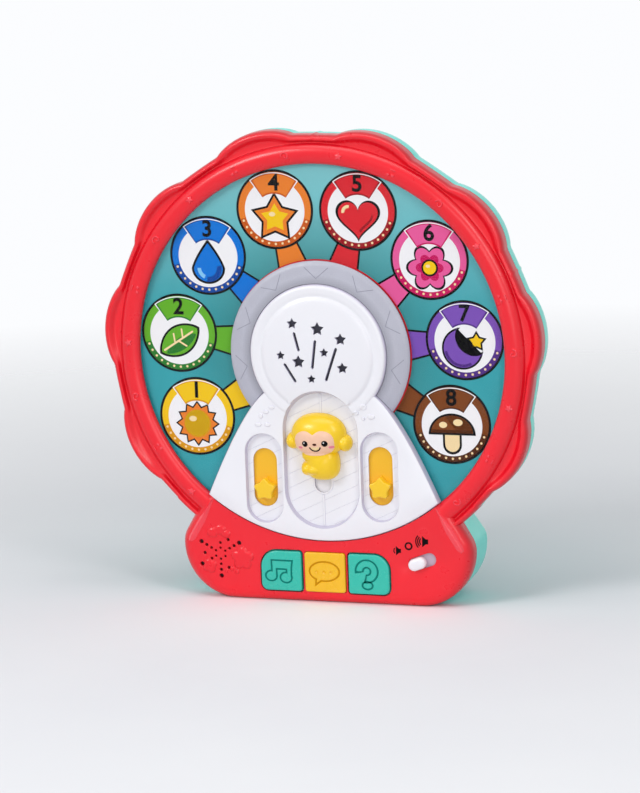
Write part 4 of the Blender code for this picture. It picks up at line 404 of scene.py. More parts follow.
class Nodes:
    """Short calls for adding and linking the nodes of one material or world."""

    def __init__(self, owner, shader="Principled BSDF"):
        self.owner = owner
        owner.use_nodes = True
        self.tree = owner.node_tree
        self.shader = self.tree.nodes[shader]

    def feed(self, value, socket):
        if isinstance(value, bpy.types.NodeSocket):
            self.tree.links.new(value, socket)
        else:
            socket.default_value = value

    def fill(self, node, **inputs):
        """Feeds named inputs; an underscore stands for a space."""
        for key, value in inputs.items():
            self.feed(value, node.inputs[key.replace("_", " ")])
        return node

    def add(self, kind, settings=None, **inputs):
        node = self.tree.nodes.new("ShaderNode" + kind)
        for key, value in (settings or {}).items():
            setattr(node, key, value)
        return self.fill(node, **inputs)

    def place(self, output="Object"):
        node = self.tree.nodes.get("Texture Coordinate") or self.add("TexCoord")
        return node.outputs[output]

    def axes(self, output="Object"):
        return self.add("SeparateXYZ", Vector=self.place(output)).outputs

    def noise(self, scale, detail=2.0, roughness=0.5):
        return self.add("TexNoise", Vector=self.place(), Scale=scale, Detail=detail,
                        Roughness=roughness).outputs["Fac"]

    def ramp(self, value, low, high, from_low=0.3, from_high=0.7):
        return self.add("MapRange", Value=value, From_Min=from_low, From_Max=from_high,
                        To_Min=low, To_Max=high).outputs["Result"]

    def blend(self, share, first, second):
        node = self.add("Mix", {"data_type": "RGBA"}, Factor=share)
        self.feed(first, node.inputs[6])
        self.feed(second, node.inputs[7])
        return node.outputs[2]

    def clouded(self, scale, detail, first, second):
        """Two tones in soft clouds."""
        return self.blend(self.ramp(self.noise(scale, detail), 0.0, 1.0), first, second)

    def math(self, operation, first, second=0.0):
        node = self.add("Math", {"operation": operation})
        self.feed(first, node.inputs[0])
        self.feed(second, node.inputs[1])
        return node.outputs[0]

    def mixed(self, share, first, second):
        """The first of two shaders, with a share of the second."""
        node = self.add("MixShader", Fac=share)
        self.feed(first, node.inputs[1])
        self.feed(second, node.inputs[2])
        return node.outputs[0]

    def wheel_radius(self):
        """How far a point lies from the wheel's axis."""
        axes = self.axes()
        rise = self.math("SUBTRACT", axes["Z"], WHEEL_HEIGHT)
        square = self.math("ADD", self.math("MULTIPLY", axes["X"], axes["X"]),
                           self.math("MULTIPLY", rise, rise))
        return self.math("SQRT", square)

    def edges(self, radius):
        """A share that is high along sharp edges, and the softened normal it comes from."""
        soft = self.add("Bevel", {"samples": 4}, Radius=radius)
        match = self.add("VectorMath", {"operation": "DOT_PRODUCT"})
        self.feed(soft.outputs["Normal"], match.inputs[0])
        self.feed(self.add("NewGeometry").outputs["Normal"], match.inputs[1])
        return self.ramp(match.outputs["Value"], 1.0, 0.0, 0.80, 0.995), soft.outputs["Normal"]

    def bump(self, height, strength, distance, **normal):
        return self.add("Bump", Height=height, Strength=strength, Distance=distance,
                        **normal).outputs["Normal"]

    def surface(self, colour, roughness, normal, **inputs):
        """Feeds the shader and gives back the finished material."""
        self.fill(self.shader, Base_Color=colour, Roughness=roughness, Normal=normal, **inputs)
        return self.owner

    def output(self, shader):
        """Puts another shader in the place of the usual one."""
        self.feed(shader, self.tree.nodes["Material Output"].inputs["Surface"])
        return self.owner


def new_material(name):
    return Nodes(bpy.data.materials.new(name))


def moulded(name, colour, roughness=0.3, coat=0.0, mottle=0.03, wear=0.12, crest=None,
            walls=None):
    """Injection-moulded plastic: faint mottling, fine skin texture and rubbed edges. A crest is
    the colour of its foremost faces, the Y where it is full and the Y where it has run out;
    the two tones are painted light on the front faces and painted shade on those behind.
    Walls is the colour of the faces that look sideways, a painted shade."""
    nodes = new_material(name)
    edge, soft_normal = nodes.edges(EDGE_WEAR_R)
    body = nodes.clouded(38.0, 3.0, toned(colour, 1 - mottle), colour)
    # Painted light and shade: the crest's tone on the foremost faces, the body's tone behind.
    if crest is not None:
        front = nodes.ramp(nodes.axes()["Y"], 1.0, 0.0, crest[1], crest[2])
        body = nodes.blend(front, body, crest[0])
    # Painted shade: a darker tone on the faces that look sideways.
    if walls is not None:
        facing = nodes.math("ABSOLUTE", nodes.axes("Normal")["Y"])
        body = nodes.blend(nodes.ramp(facing, 1.0, 0.0, WALL_FACING, FACE_FACING), body, walls)
    scuffs = nodes.ramp(nodes.noise(420.0, 4.0, 0.7), 0.0, wear, 0.45, 0.75)
    return nodes.surface(
        nodes.blend(nodes.math("MULTIPLY", edge, scuffs), body, paler(colour, 0.35)),
        nodes.ramp(nodes.noise(120.0, 4.0), roughness * 0.92, roughness * 1.12),
        nodes.bump(nodes.noise(1500.0, 2.0), SKIN_GRAIN, 0.00006, Normal=soft_normal),
        Coat_Weight=coat, Coat_Roughness=0.12)


def ink(name, colour, roughness=0.45):
    """A printed or painted patch: even colour with a faint screen dot and slight gloss changes."""
    nodes = new_material("ink_" + name)
    dots = nodes.add("TexVoronoi", {"feature": "F1"}, Vector=nodes.place(), Scale=2600.0,
                     Randomness=0.15)
    share = nodes.ramp(dots.outputs["Distance"], 0.0, 1.0, 0.1, 0.6)
    return nodes.surface(
        nodes.blend(share, toned(colour, 1.05), colour),
        nodes.ramp(nodes.noise(300.0, 3.0), roughness * 0.85, roughness * 1.15),
        nodes.bump(nodes.noise(3000.0), 0.05, 0.00003), Specular_IOR_Level=0.08)


def metal(name, colour, roughness):
    """Plated steel: turned streaks, small stains and a little pitting."""
    nodes = new_material(name)
    stretch = nodes.add("Mapping", Vector=nodes.place(), Scale=(1.0, 0.08, 1.0))
    streaks = nodes.add("TexNoise", Vector=stretch.outputs["Vector"], Scale=2500.0,
                        Detail=3.0).outputs["Fac"]
    return nodes.surface(nodes.clouded(700.0, 4.0, toned(colour, 0.8), colour),
                         nodes.ramp(streaks, roughness * 0.7, roughness * 1.4),
                         nodes.bump(streaks, 0.15, 0.00004), Metallic=1.0)


def clear_sheet(name):
    """Clear pane: straight-through light and a polished surface that mirrors at a slant, with
    a faint haze of fine rubbing."""
    nodes = new_material(name)
    nodes.tree.nodes.remove(nodes.shader)
    through = nodes.add("BsdfTransparent", Color=srgb(254, 254, 255))
    mirror = nodes.add("BsdfGlossy", {"distribution": "GGX"}, Color=(1.0, 1.0, 1.0, 1.0),
                       Roughness=nodes.ramp(nodes.noise(160.0, 4.0), 0.03, 0.07))
    haze = nodes.add("BsdfDiffuse", Color=srgb(246, 250, 252))
    slant = nodes.add("Fresnel", IOR=1.17).outputs["Fac"]
    front_only = nodes.math("SUBTRACT", 1.0, nodes.add("NewGeometry").outputs["Backfacing"])
    shine = nodes.mixed(nodes.math("MULTIPLY", slant, front_only), through.outputs["BSDF"],
                        mirror.outputs["BSDF"])
    return nodes.output(nodes.mixed(nodes.ramp(nodes.noise(24.0, 3.0), 0.0, 0.006), shine,
                                    haze.outputs["BSDF"]))


def frosted(name, colour):
    """Frosted clear plastic over a moulded net, grey from what lies behind it, with a painted
    shadow of the dome in a darker band beside it."""
    nodes = new_material(name)
    net = nodes.add("TexVoronoi", {"feature": "DISTANCE_TO_EDGE"}, Vector=nodes.place(),
                    Scale=900.0, Randomness=0.5)
    threads = nodes.ramp(net.outputs["Distance"], 1.0, 0.0, 0.02, 0.16)
    # Painted shadow of the dome on the ring beside it.
    shadow = nodes.ramp(nodes.wheel_radius(), 0.75, 0.0, DOME_R + 0.0010, DOME_R + 0.0058)
    mist = nodes.ramp(nodes.noise(70.0, 3.0), 0.0, 0.18)
    body = nodes.blend(nodes.math("MAXIMUM", shadow, mist), colour, toned(colour, 0.62))
    return nodes.surface(nodes.blend(nodes.math("MULTIPLY", threads, 0.16), body,
                                     paler(colour, 0.3)),
                         nodes.ramp(nodes.noise(300.0, 3.0), 0.32, 0.44),
                         nodes.bump(threads, 0.10, 0.00008))


def resist_board(name):
    """Circuit board: green resist over a faint copper pattern."""
    nodes = new_material(name)
    tracks = nodes.add("TexBrick", Vector=nodes.place(), Scale=260.0, Color1=srgb(26, 112, 62),
                       Color2=srgb(20, 92, 52), Mortar=srgb(60, 140, 80), Mortar_Size=0.06)
    return nodes.surface(tracks.outputs["Color"], nodes.ramp(nodes.noise(400.0), 0.3, 0.5),
                         nodes.bump(tracks.outputs["Fac"], 0.2, 0.00005))


def teal_print(name):
    """Printed panel: teal that pales towards its top, a painted reflection of light in the
    window, and deepens round the hub, with a fine grain."""
    nodes = new_material(name)
    # The paler top is a painted reflection of light in the window.
    height = nodes.ramp(nodes.axes()["Z"], 0.0, 0.8, WHEEL_HEIGHT + 0.02, WHEEL_HEIGHT + 0.105)
    lower = nodes.clouded(60.0, 3.0, srgb(30, 158, 166), srgb(42, 168, 176))
    body = nodes.blend(height, lower, srgb(140, 214, 216))
    near_hub = nodes.ramp(nodes.wheel_radius(), 0.55, 0.0, 0.056, 0.088)
    return nodes.surface(nodes.blend(near_hub, body, srgb(30, 118, 116)),
                         nodes.ramp(nodes.noise(300.0, 3.0), 0.35, 0.5),
                         nodes.bump(nodes.noise(2600.0), 0.06, 0.00003))


PLASTICS = {
    # The red shell's walls tone is painted shade on its sideways faces, such as the rim's valley and
    # the stand's lower edge.
    "red_shell": ((248, 14, 38), 0.29, {"coat": 0.12, "mottle": 0.02,
                                        "walls": srgb(214, 12, 34)}),
    "teal_shell": ((66, 240, 224), 0.30, {"coat": 0.2}),
    # The white plastic's walls tone is painted shade, lilac grey on the walls of the track and
    # pockets.
    "white_plastic": ((247, 247, 253), 0.30, {"coat": 0.15, "mottle": 0.01,
                                              "walls": srgb(205, 201, 222)}),
    "divider_plastic": ((232, 232, 230), 0.45, {"mottle": 0.04}),
    "monkey_yellow": ((255, 212, 4), 0.32, {"coat": 0.2, "mottle": 0.02}),
    # The slider's lighter crest is painted light on the star's top; its base tone is painted shade on
    # the plate.
    "slider_orange": ((253, 186, 10), 0.30, {"coat": 0.2, "crest": (srgb(255, 208, 30),
                                                                    STAR_TOP_Y, STAR_FOOT_Y)}),
    "button_teal": ((38, 196, 176), 0.26, {"coat": 0.3}),
    "button_yellow": ((252, 194, 8), 0.26, {"coat": 0.3}),
    "silicone": ((190, 190, 192), 0.60, {"wear": 0.0}),
    "speaker_black": ((40, 40, 42), 0.50, {}),
    "led_clear": ((236, 240, 246), 0.12, {}),
    "cell_wrap": ((58, 62, 70), 0.25, {"coat": 0.3}),
    # A lighter red that paints highlights on the rim's raised marks and the stand's shoulder ridges.
    "red_painted_highlight": ((255, 62, 78), 0.24, {"coat": 0.3, "mottle": 0.02}),
    "face_skin": ((255, 208, 178), 0.34, {"mottle": 0.02}),
    # The knob's foremost faces are white; its base tone is painted shade, lilac pink on the flange
    # behind the slot.
    "knob_white_painted_shade": ((200, 178, 196), 0.30, {"coat": 0.15, "crest": (
        srgb(247, 247, 253), FACE_Y + BASE_FACE_DEPTH, FACE_Y + BASE_INNER)}),
}
LOOKS = {name: moulded(name, srgb(*tone), roughness, **settings)
         for name, (tone, roughness, settings) in PLASTICS.items()}
LOOKS["clear_window"] = clear_sheet("clear_window")
LOOKS["printed_panel"] = teal_print("printed_panel")
LOOKS["frosted_plastic"] = frosted("frosted_plastic", srgb(188, 189, 203))
LOOKS["circuit_board"] = resist_board("circuit_board")
LOOKS["steel"] = metal("steel", (0.62, 0.63, 0.65, 1.0), 0.28)
LOOKS["switch_steel"] = metal("switch_steel", (0.55, 0.56, 0.58, 1.0), 0.34)
INKS = {
    "black": (6, 6, 8), "white": (252, 251, 250), "yellow": (252, 206, 22),
    "green": (104, 182, 44), "blue": (14, 122, 218), "orange": (242, 134, 44),
    "red": (226, 40, 50), "pink": (240, 96, 160), "purple": (128, 84, 184),
    "brown": (128, 68, 26), "cream": (254, 226, 172), "sky": (140, 206, 246),
    "deep_yellow": (226, 158, 12), "deep_green": (46, 128, 48), "deep_blue": (16, 74, 160),
    "deep_orange": (206, 92, 22), "deep_red": (160, 18, 30), "deep_pink": (206, 22, 96),
    "deep_purple": (84, 48, 134), "deep_brown": (84, 40, 12), "blush": (240, 140, 160),
    # The teal and yellow line tones on the next line are painted shade in the buttons' icon grooves.
    "teal_line": (14, 124, 114), "yellow_line": (206, 142, 4), "mist": (150, 150, 166),
    "nose": (70, 34, 26),
}
INK_LOOKS = {name: ink(name, srgb(*tone)) for name, tone in INKS.items()}
INK_LOOKS["screen"] = ink("screen", srgb(112, 112, 124), 0.6)
BODY_OF = {node: body for body, members in frame["record"]["behaviour"]["bodies"].items()
           for node in members}


# Meshes and Booleans

SHARP_ANGLE = math.radians(32)
RAY_ROOM = 0.05


def placed(data, name="piece"):
    """Puts a mesh, curve, light or camera into the scene."""
    created = bpy.data.objects.new(name, data)
    bpy.context.scene.collection.objects.link(created)
    return created


def opened(mesh):
    shape = bmesh.new()
    shape.from_mesh(mesh)
    return shape


def closed(shape, mesh):
    """Writes an edited shape back to its mesh."""
    shape.to_mesh(mesh)
    shape.free()
    return mesh


def made_from(shape):
    return placed(closed(shape, bpy.data.meshes.new("piece")))


def make_object(vertices, faces):
    mesh = bpy.data.meshes.new("piece")
    mesh.from_pydata(vertices, [], faces)
    shape = opened(mesh)
    bmesh.ops.recalc_face_normals(shape, faces=shape.faces)
    return placed(closed(shape, mesh))


def evaluated_mesh(target):
    """The mesh that an object's modifiers or curves make."""
    bpy.context.view_layer.update()
    graph = bpy.context.evaluated_depsgraph_get()
    return bpy.data.meshes.new_from_object(target.evaluated_get(graph))


def loft(rings, closed_loop=False):
    """Skins rings of points; a closed loop joins its last ring to its first."""
    count = len(rings[0])
    vertices = [point for ring in rings for point in ring]
    faces = []
    for level in range(len(rings) if closed_loop else len(rings) - 1):
        lower = level * count
        upper = (level + 1) % len(rings) * count
        for step in range(count):
            after = (step + 1) % count
            faces.append((lower + step, lower + after, upper + after, upper + step))
    if not closed_loop:
        faces.append(tuple(range(count)))
        faces.append(tuple(range(len(vertices) - count, len(vertices))))
    return make_object(vertices, faces)


def net(first, rings, last=None):
    """Skins rings of points from a first point, and up to a last one if there is one."""
    count = len(rings[0])
    vertices = [first] + [point for ring in rings for point in ring]
    faces = [(0, 1 + step, 1 + (step + 1) % count) for step in range(count)]
    for row in range(len(rings) - 1):
        base = 1 + row * count
        for step in range(count):
            after = (step + 1) % count
            faces.append((base + step, base + count + step, base + count + after, base + after))
    if last is not None:
        base = 1 + (len(rings) - 1) * count
        faces += [(base + step, len(vertices), base + (step + 1) % count)
                  for step in range(count)]
        vertices.append(last)
    return make_object(vertices, faces)


def world_point(outline_point, depth):
    return (outline_point[0], FACE_Y + depth, WHEEL_HEIGHT + outline_point[1])


def at_depth(outline, depth):
    return [world_point(point, depth) for point in outline]


def stack(levels, closed_loop=False):
    """A solid from (outline, depth) levels, front to back."""
    return loft([at_depth(outline, depth) for outline, depth in levels], closed_loop)


def plate(outline, front, back):
    return stack([(outline, front), (outline, back)])


def turned_solid(centre, profile, segments, closed_loop=False):
    """Revolves (radius, depth) points about an axis along Y."""
    return stack([(circle(centre, radius, segments), depth) for radius, depth in profile],
                 closed_loop)


def peg(point, radius, front, back, segments=SCREW_SEGMENTS):
    return turned_solid(point, [(radius, front), (radius, back)], segments)


def tidy(target):
    """Welds the crumbs that a Boolean leaves along its seams, and drops doubled faces."""
    shape = opened(target.data)
    bmesh.ops.remove_doubles(shape, verts=shape.verts, dist=CRUMB)
    bmesh.ops.dissolve_degenerate(shape, edges=shape.edges, dist=CRUMB)
    shape.verts.index_update()
    loose = [edge for edge in shape.edges if not edge.link_faces]
    bmesh.ops.delete(shape, geom=loose, context="EDGES")
    shared = {}
    for face in shape.faces:
        shared.setdefault(frozenset(vert.index for vert in face.verts), []).append(face)
    flaps = [face for faces in shared.values() if len(faces) == 2 for face in faces]
    bmesh.ops.delete(shape, geom=flaps, context="FACES")
    closed(shape, target.data)


def combine(target, tool, operation):
    """Applies one Boolean and removes the tool."""
    step = target.modifiers.new("combine", "BOOLEAN")
    step.object = tool
    step.operation = operation
    step.solver = "EXACT"
    result = evaluated_mesh(target)
    target.modifiers.remove(step)
    target.data = result
    tidy(target)
    bpy.data.objects.remove(tool)


def join(target, *tools):
    for tool in tools:
        combine(target, tool, "UNION")


def cut(target, *tools):
    for tool in tools:
        combine(target, tool, "DIFFERENCE")


def keep_common(target, tool):
    combine(target, tool, "INTERSECT")


def merged(pieces):
    """Joins overlapping pieces into the first of them."""
    join(pieces[0], *pieces[1:])
    return pieces[0]


def gather(pieces):
    """Puts separate solids that don't touch into one object, to cut or join them in one step."""
    shape = bmesh.new()
    for piece in pieces:
        shape.from_mesh(piece.data)
        bpy.data.objects.remove(piece)
    return made_from(shape)


def soften(target, rounds):
    """Melts the seams between joined solids: remeshed finely, then smoothed."""
    remesh = target.modifiers.new("remesh", "REMESH")
    remesh.mode = "VOXEL"
    remesh.voxel_size = SOFT_CELL
    smoothing = target.modifiers.new("smooth", "SMOOTH")
    smoothing.factor = 0.5
    smoothing.iterations = rounds
    result = evaluated_mesh(target)
    target.modifiers.clear()
    target.data = result


def surface_of(target):
    """A rule that finds points on the front of a piece: x and z in millimetres, and how far
    the point stands off."""
    shape = opened(target.data)
    tree = BVHTree.FromBMesh(shape)
    shape.free()

    def surface(x, z, away):
        start = Vector((x * MM, FACE_Y - RAY_ROOM, WHEEL_HEIGHT + z * MM))
        hit = tree.ray_cast(start, Vector((0, 1, 0)))[0]
        return (start.x, hit.y - away, start.z)

    return surface


def dress(piece, name, slot, look, body):
    """Gives a piece its name, look and body; without a look it takes the slot's."""
    piece.name = name
    piece.data.name = name
    piece.data.materials.clear()
    piece.data.materials.append(look or LOOKS[slot])
    piece.data.shade_smooth()
    piece.data.set_sharp_from_angle(angle=SHARP_ANGLE)
    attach(piece, body)


def finish(piece, node, slot, look=None):
    """Dresses a piece that stands for a node. Its faces are split into well shaped triangles,
    so that no two long ones fold onto each other."""
    shape = opened(piece.data)
    bmesh.ops.triangulate(shape, faces=shape.faces)
    closed(shape, piece.data)
    dress(piece, node + "_skin", slot, look, BODY_OF[node])
    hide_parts(node)
    return piece


def trim(pieces, name, slot, look=None, body="case"):
    """Dresses small extra pieces, such as prints or reliefs, as one that rides on a body."""
    dress(gather(pieces), name, slot, look, body)


# Outlines

def circle(centre, radius, segments):
    turns = [math.tau * step / segments for step in range(segments)]
    return [(centre[0] + radius * math.cos(turn), centre[1] + radius * math.sin(turn))
            for turn in turns]


def quarter_turn(steps, first=0):
    """Sine and cosine along a quarter turn."""
    turns = [math.pi / 2 * step / steps for step in range(first, steps + 1)]
    return [(math.sin(turn), math.cos(turn)) for turn in turns]


def stadium(centre, half_width, length, segments):
    """A slot with round ends, its long axis upright."""
    points = []
    for side in (1, -1):
        middle = centre[1] + side * (length / 2 - half_width)
        for step in range(segments + 1):
            turn = math.pi * step / segments
            points.append((centre[0] + side * half_width * math.cos(turn),
                           middle + side * half_width * math.sin(turn)))
    return points


def rectangle(left, bottom, right, top):
    return [(left, bottom), (right, bottom), (right, top), (left, top)]


def rounded(corners, radii, steps):
    """A polygon whose corners are arcs; a radius of zero keeps the corner sharp."""
    points = []
    count = len(corners)
    for index, corner in enumerate(corners):
        if radii[index] == 0:
            points.append(corner)
            continue
        here = Vector(corner)
        before = (Vector(corners[index - 1]) - here).normalized()
        after = (Vector(corners[(index + 1) % count]) - here).normalized()
        half = before.angle(after) / 2
        middle = here + (before + after).normalized() * radii[index] / math.sin(half)
        start = here + before * radii[index] / math.tan(half) - middle
        sweep = math.pi - 2 * half
        for step in range(steps[index] + 1):
            spoke = Matrix.Rotation(sweep * step / steps[index], 2) @ start
            points.append((middle.x + spoke.x, middle.y + spoke.y))
    return points


def offset(outline, distance):
    """Moves every edge outwards by distance, or inwards when it is negative."""
    points = []
    count = len(outline)
    for index, point in enumerate(outline):
        here = Vector(point)
        along_in = (here - Vector(outline[index - 1])).normalized()
        along_out = (Vector(outline[(index + 1) % count]) - here).normalized()
        normal_in = Vector((along_in.y, -along_in.x))
        normal_out = Vector((along_out.y, -along_out.x))
        bisector = (normal_in + normal_out).normalized()
        reach = distance / bisector.dot(normal_in)
        points.append((here.x + bisector.x * reach, here.y + bisector.y * reach))
    return points


def turned(outline, centre, angle):
    cosine = math.cos(angle)
    sine = math.sin(angle)
    points = []
    for x, z in outline:
        across = x - centre[0]
        up = z - centre[1]
        points.append((centre[0] + across * cosine - up * sine,
                       centre[1] + across * sine + up * cosine))
    return points


def polar(angle, radius):
    """A point at an angle from the top of the wheel, clockwise seen from the front."""
    return (radius * math.sin(angle), radius * math.cos(angle))


def scaled(points):
    return [(x * MM, z * MM) for x, z in points]


def in_millimetres(point):
    return (point[0] / MM, point[1] / MM)


def moved(points, x, z):
    return [(px + x, pz + z) for px, pz in points]


def radial(x, z, segments, reach):
    """An outline round (x, z) whose distance at each angle is worked out by reach."""
    turns = [math.tau * step / segments for step in range(segments)]
    return [(x + reach(turn) * math.cos(turn), z + reach(turn) * math.sin(turn))
            for turn in turns]


def oval(x, z, half_wide, half_tall, segments=48):
    return [(x + half_wide * px, z + half_tall * pz) for px, pz in circle((0, 0), 1, segments)]


def star_points(x, z, radius, waist=0.5, tips=5):
    """A star with one tip up."""
    points = []
    for step in range(2 * tips):
        turn = math.pi / 2 + math.pi * step / tips
        reach = radius if step % 2 == 0 else radius * waist
        points.append((x + reach * math.cos(turn), z + reach * math.sin(turn)))
    return points


def petals(x, z, radius, count, depth, segments=96, start=0.0):
    """A round outline that swells into count lobes."""
    return radial(x, z, segments, lambda turn: radius * (
        1 - depth + depth * abs(math.cos(count * (turn - start) / 2))))


def heart(x, z, size, segments=72):
    points = []
    for step in range(segments):
        turn = math.tau * step / segments
        across = 16 * math.sin(turn) ** 3
        up = (13 * math.cos(turn) - 5 * math.cos(2 * turn) - 2 * math.cos(3 * turn)
              - math.cos(4 * turn))
        points.append((x - across * size / 17, z + up * size / 17))
    return points


def drop(x, z, half_wide, top, bottom, segments=60):
    """A water drop with its tip up."""
    points = []
    for step in range(segments):
        turn = math.tau * step / segments
        across = half_wide * math.cos(turn)
        up = math.sin(turn)
        if up > 0:
            across *= (1 - up) ** 0.55
        points.append((x + across, z + (top if up > 0 else bottom) * up))
    return points


def leaf(x, z, half_long, half_wide, tilt, segments=48):
    """A pointed leaf; tilt is in degrees from level."""
    points = []
    for step in range(segments):
        share = step / segments
        along = 1 - 4 * share if share < 0.5 else 4 * share - 3
        wide = half_wide * (1 if share < 0.5 else -1) * (1 - along * along) ** 0.8
        points.append((half_long * along, wide))
    return moved(turned(points, (0, 0), math.radians(tilt)), x, z)


def crescent(x, z, radius, segments=40):
    """A moon open to the upper right."""
    outer = []
    for step in range(segments + 1):
        turn = math.radians(95 + 260 * step / segments)
        outer.append((x + radius * math.cos(turn), z + radius * math.sin(turn)))
    first = Vector(outer[-1])
    last = Vector(outer[0])
    middle = (first + last) / 2
    along = (first - last) / 2
    inward = Vector((along.y, -along.x))
    if inward.dot(Vector((x, z)) - middle) < 0:
        inward = -inward
    inner = []
    for step in range(1, segments):
        turn = math.pi * step / segments
        spot = middle + along * math.cos(turn) + inward * 0.85 * math.sin(turn)
        inner.append((spot.x, spot.y))
    return outer + inner


def capsule(x0, z0, x1, z1, half, segments=10):
    """A stroke with round ends."""
    lean = math.atan2(z1 - z0, x1 - x0)
    points = []
    for end, base in (((x1, z1), -math.pi / 2), ((x0, z0), math.pi / 2)):
        for step in range(segments + 1):
            turn = lean + base + math.pi * step / segments
            points.append((end[0] + half * math.cos(turn), end[1] + half * math.sin(turn)))
    return points


def arc_band(x, z, radius, half, start, end, segments=40):
    """A thick arc from start to end, in degrees anticlockwise."""
    rows = ([], [])
    for step in range(segments + 1):
        turn = math.radians(start + (end - start) * step / segments)
        for row, reach in zip(rows, (radius + half, radius - half)):
            row.append((x + reach * math.cos(turn), z + reach * math.sin(turn)))
    return rows[0] + rows[1][::-1]


def cap_shape(x, z, half_wide, height, segments=36):
    """The upper half of an oval, flat below."""
    turns = [math.pi * step / segments for step in range(segments + 1)]
    return [(x + half_wide * math.cos(turn), z + height * math.sin(turn)) for turn in turns]


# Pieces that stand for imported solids

def badge_angle(index):
    return (index - (BADGE_COUNT - 1) / 2) * BADGE_PITCH


def wheel_radius(angle):
    """Radius of the wavy lip: a full lobe outside each badge, nearly straight between two."""
    radius = WHEEL_R
    for index in range(BADGE_COUNT):
        away = abs(angle - badge_angle(index))
        if away < LOBE_HALF:
            return WHEEL_R + LOBE_RISE * (1 - (away / LOBE_HALF) ** 2) ** LOBE_FULLNESS
        if away < BADGE_PITCH / 2:
            share = (away - LOBE_HALF) / (BADGE_PITCH / 2 - LOBE_HALF)
            radius = WHEEL_R - VALLEY_DIP * math.sin(share * math.pi / 2)
    return radius


def rim_angles():
    return [math.pi - math.tau * step / RIM_SEGMENTS for step in range(RIM_SEGMENTS)]


def wheel_outline(inset=0.0):
    return [polar(angle, wheel_radius(angle) - inset) for angle in rim_angles()]


def rim_circle(radius):
    return [polar(angle, radius) for angle in rim_angles()]


def base_outline(inset=0.0, lift=None, droop=0.0):
    """The stand's outline drawn in by inset. A lift sets how far its foot rises instead, and
    droop lowers its top as well."""
    foot = -WHEEL_HEIGHT
    waist = -BASE_SHOULDER_DROP
    corners = [(-BASE_HALF, foot), (BASE_HALF, foot), (BASE_HALF, waist),
               (BASE_TOP_HALF, -BASE_TOP_DROP), (-BASE_TOP_HALF, -BASE_TOP_DROP),
               (-BASE_HALF, waist)]
    radii = [radius - inset for radius in BASE_CORNER_RADII]
    drawn = rounded(offset(corners, -inset), radii, BASE_CORNER_STEPS)
    foot_share = (waist - foot - (inset if lift is None else lift)) / (waist - foot - inset)
    rise = waist + BASE_TOP_DROP + inset
    top_share = (rise + droop) / rise
    return [(x, waist + (z - waist) * (foot_share if z < waist else top_share))
            for x, z in drawn]


def tower_outline():
    """The flared panel under the dome: two swept sides over an arc of the window's radius."""
    side = []
    for step in range(TOWER_SIDE_STEPS + 1):
        share = step / TOWER_SIDE_STEPS
        blend = (1 - share) ** 2, 2 * share * (1 - share), share ** 2
        side.append([sum(part * place for part, place in zip(blend, places)) for places in (
            (TOWER_NECK_HALF, TOWER_NECK_HALF + TOWER_FLARE_REACH, TOWER_FOOT_HALF),
            (-TOWER_NECK_DROP, -TOWER_NECK_DROP - TOWER_FLARE_FALL, -TOWER_FOOT_DROP))])
    arc = []
    for step in range(1, TOWER_BOTTOM_STEPS):
        angle = TOWER_FOOT_SPREAD * (2 * step / TOWER_BOTTOM_STEPS - 1)
        arc.append((TOWER_R * math.sin(angle), -TOWER_R * math.cos(angle)))
    return [(-half, z) for half, z in side] + arc + [(half, z) for half, z in side[::-1]]


def slider_middle(sign):
    """Centre of a star slider's slot; the right one stands a little higher than the left."""
    return (sign * POCKET_OFFSET, -SLIDER_MIDDLE_DROP + sign * SLIDER_STAGGER)


def case_boss_points():
    low = [(sign * BASE_BOSS_OFFSET, -BASE_BOSS_DROP) for sign in (-1, 1)]
    return [polar(angle, BOSS_ORBIT) for angle in CASE_BOSS_ANGLES] + low


def button_point(index):
    return ((index - 1) * BUTTON_PITCH, -BUTTON_DROP)


def box_round(point, half_wide, half_tall):
    return rectangle(point[0] - half_wide, point[1] - half_tall, point[0] + half_wide,
                     point[1] + half_tall)


def button_outline(index, grow=0.0):
    """Button 0 is on the left; its outer corners are the large ones, as on button 2."""
    corners = box_round(button_point(index), BUTTON_WIDTH / 2, BUTTON_HEIGHT / 2)
    radii = [BUTTON_CORNER_R] * 4
    if index == 0:
        radii[0], radii[3] = BUTTON_LOWER_CORNER_R, BUTTON_OUTER_CORNER_R
    if index == 2:
        radii[1], radii[2] = BUTTON_LOWER_CORNER_R, BUTTON_OUTER_CORNER_R
    steps = [18 if radius > BUTTON_CORNER_R else 8 for radius in radii]
    return offset(rounded(corners, radii, steps), grow)


def switch_outline(length, half_width, slide=0.0):
    """A slot lying along the switch's tilted travel, moved along it by slide."""
    upright = stadium(SWITCH_POINT, half_width, length, SWITCH_SEGMENTS)
    lying = turned(upright, SWITCH_POINT, SWITCH_TILT - math.pi / 2)
    return moved(lying, slide * math.cos(SWITCH_TILT), slide * math.sin(SWITCH_TILT))


def ring_height(radius):
    """Depth of the rim's rounded ring at a radius; its outer foot runs out softly."""
    share = max(-1.0, min(1.0, (radius - RING_MIDDLE_R) / RING_HALF))
    power = 0.5 if share < 0 else 0.5 + 0.3 * share
    return RING_EDGE_DEPTH - RING_RISE * (1 - share * share) ** power


def lip_ring(share):
    """The lip's inner side, from its crest (0) down to its foot (1)."""
    ring = []
    for angle in rim_angles():
        low = max(GROOVE_R + LIP_FOOT_GAP, wheel_radius(angle) - LIP_REST)
        top = wheel_radius(angle) - LIP_WIDTH / 2
        sink = VALLEY_DEEP * (low - GROOVE_R) / LIP_WIDTH
        drop_down = LIP_CREST_DEPTH + ((RING_EDGE_DEPTH + sink - LIP_CREST_DEPTH)
                                       * (1 - math.cos(share * math.pi)) / 2)
        ring.append(world_point(polar(angle, top + (low - top) * share), drop_down))
    return ring


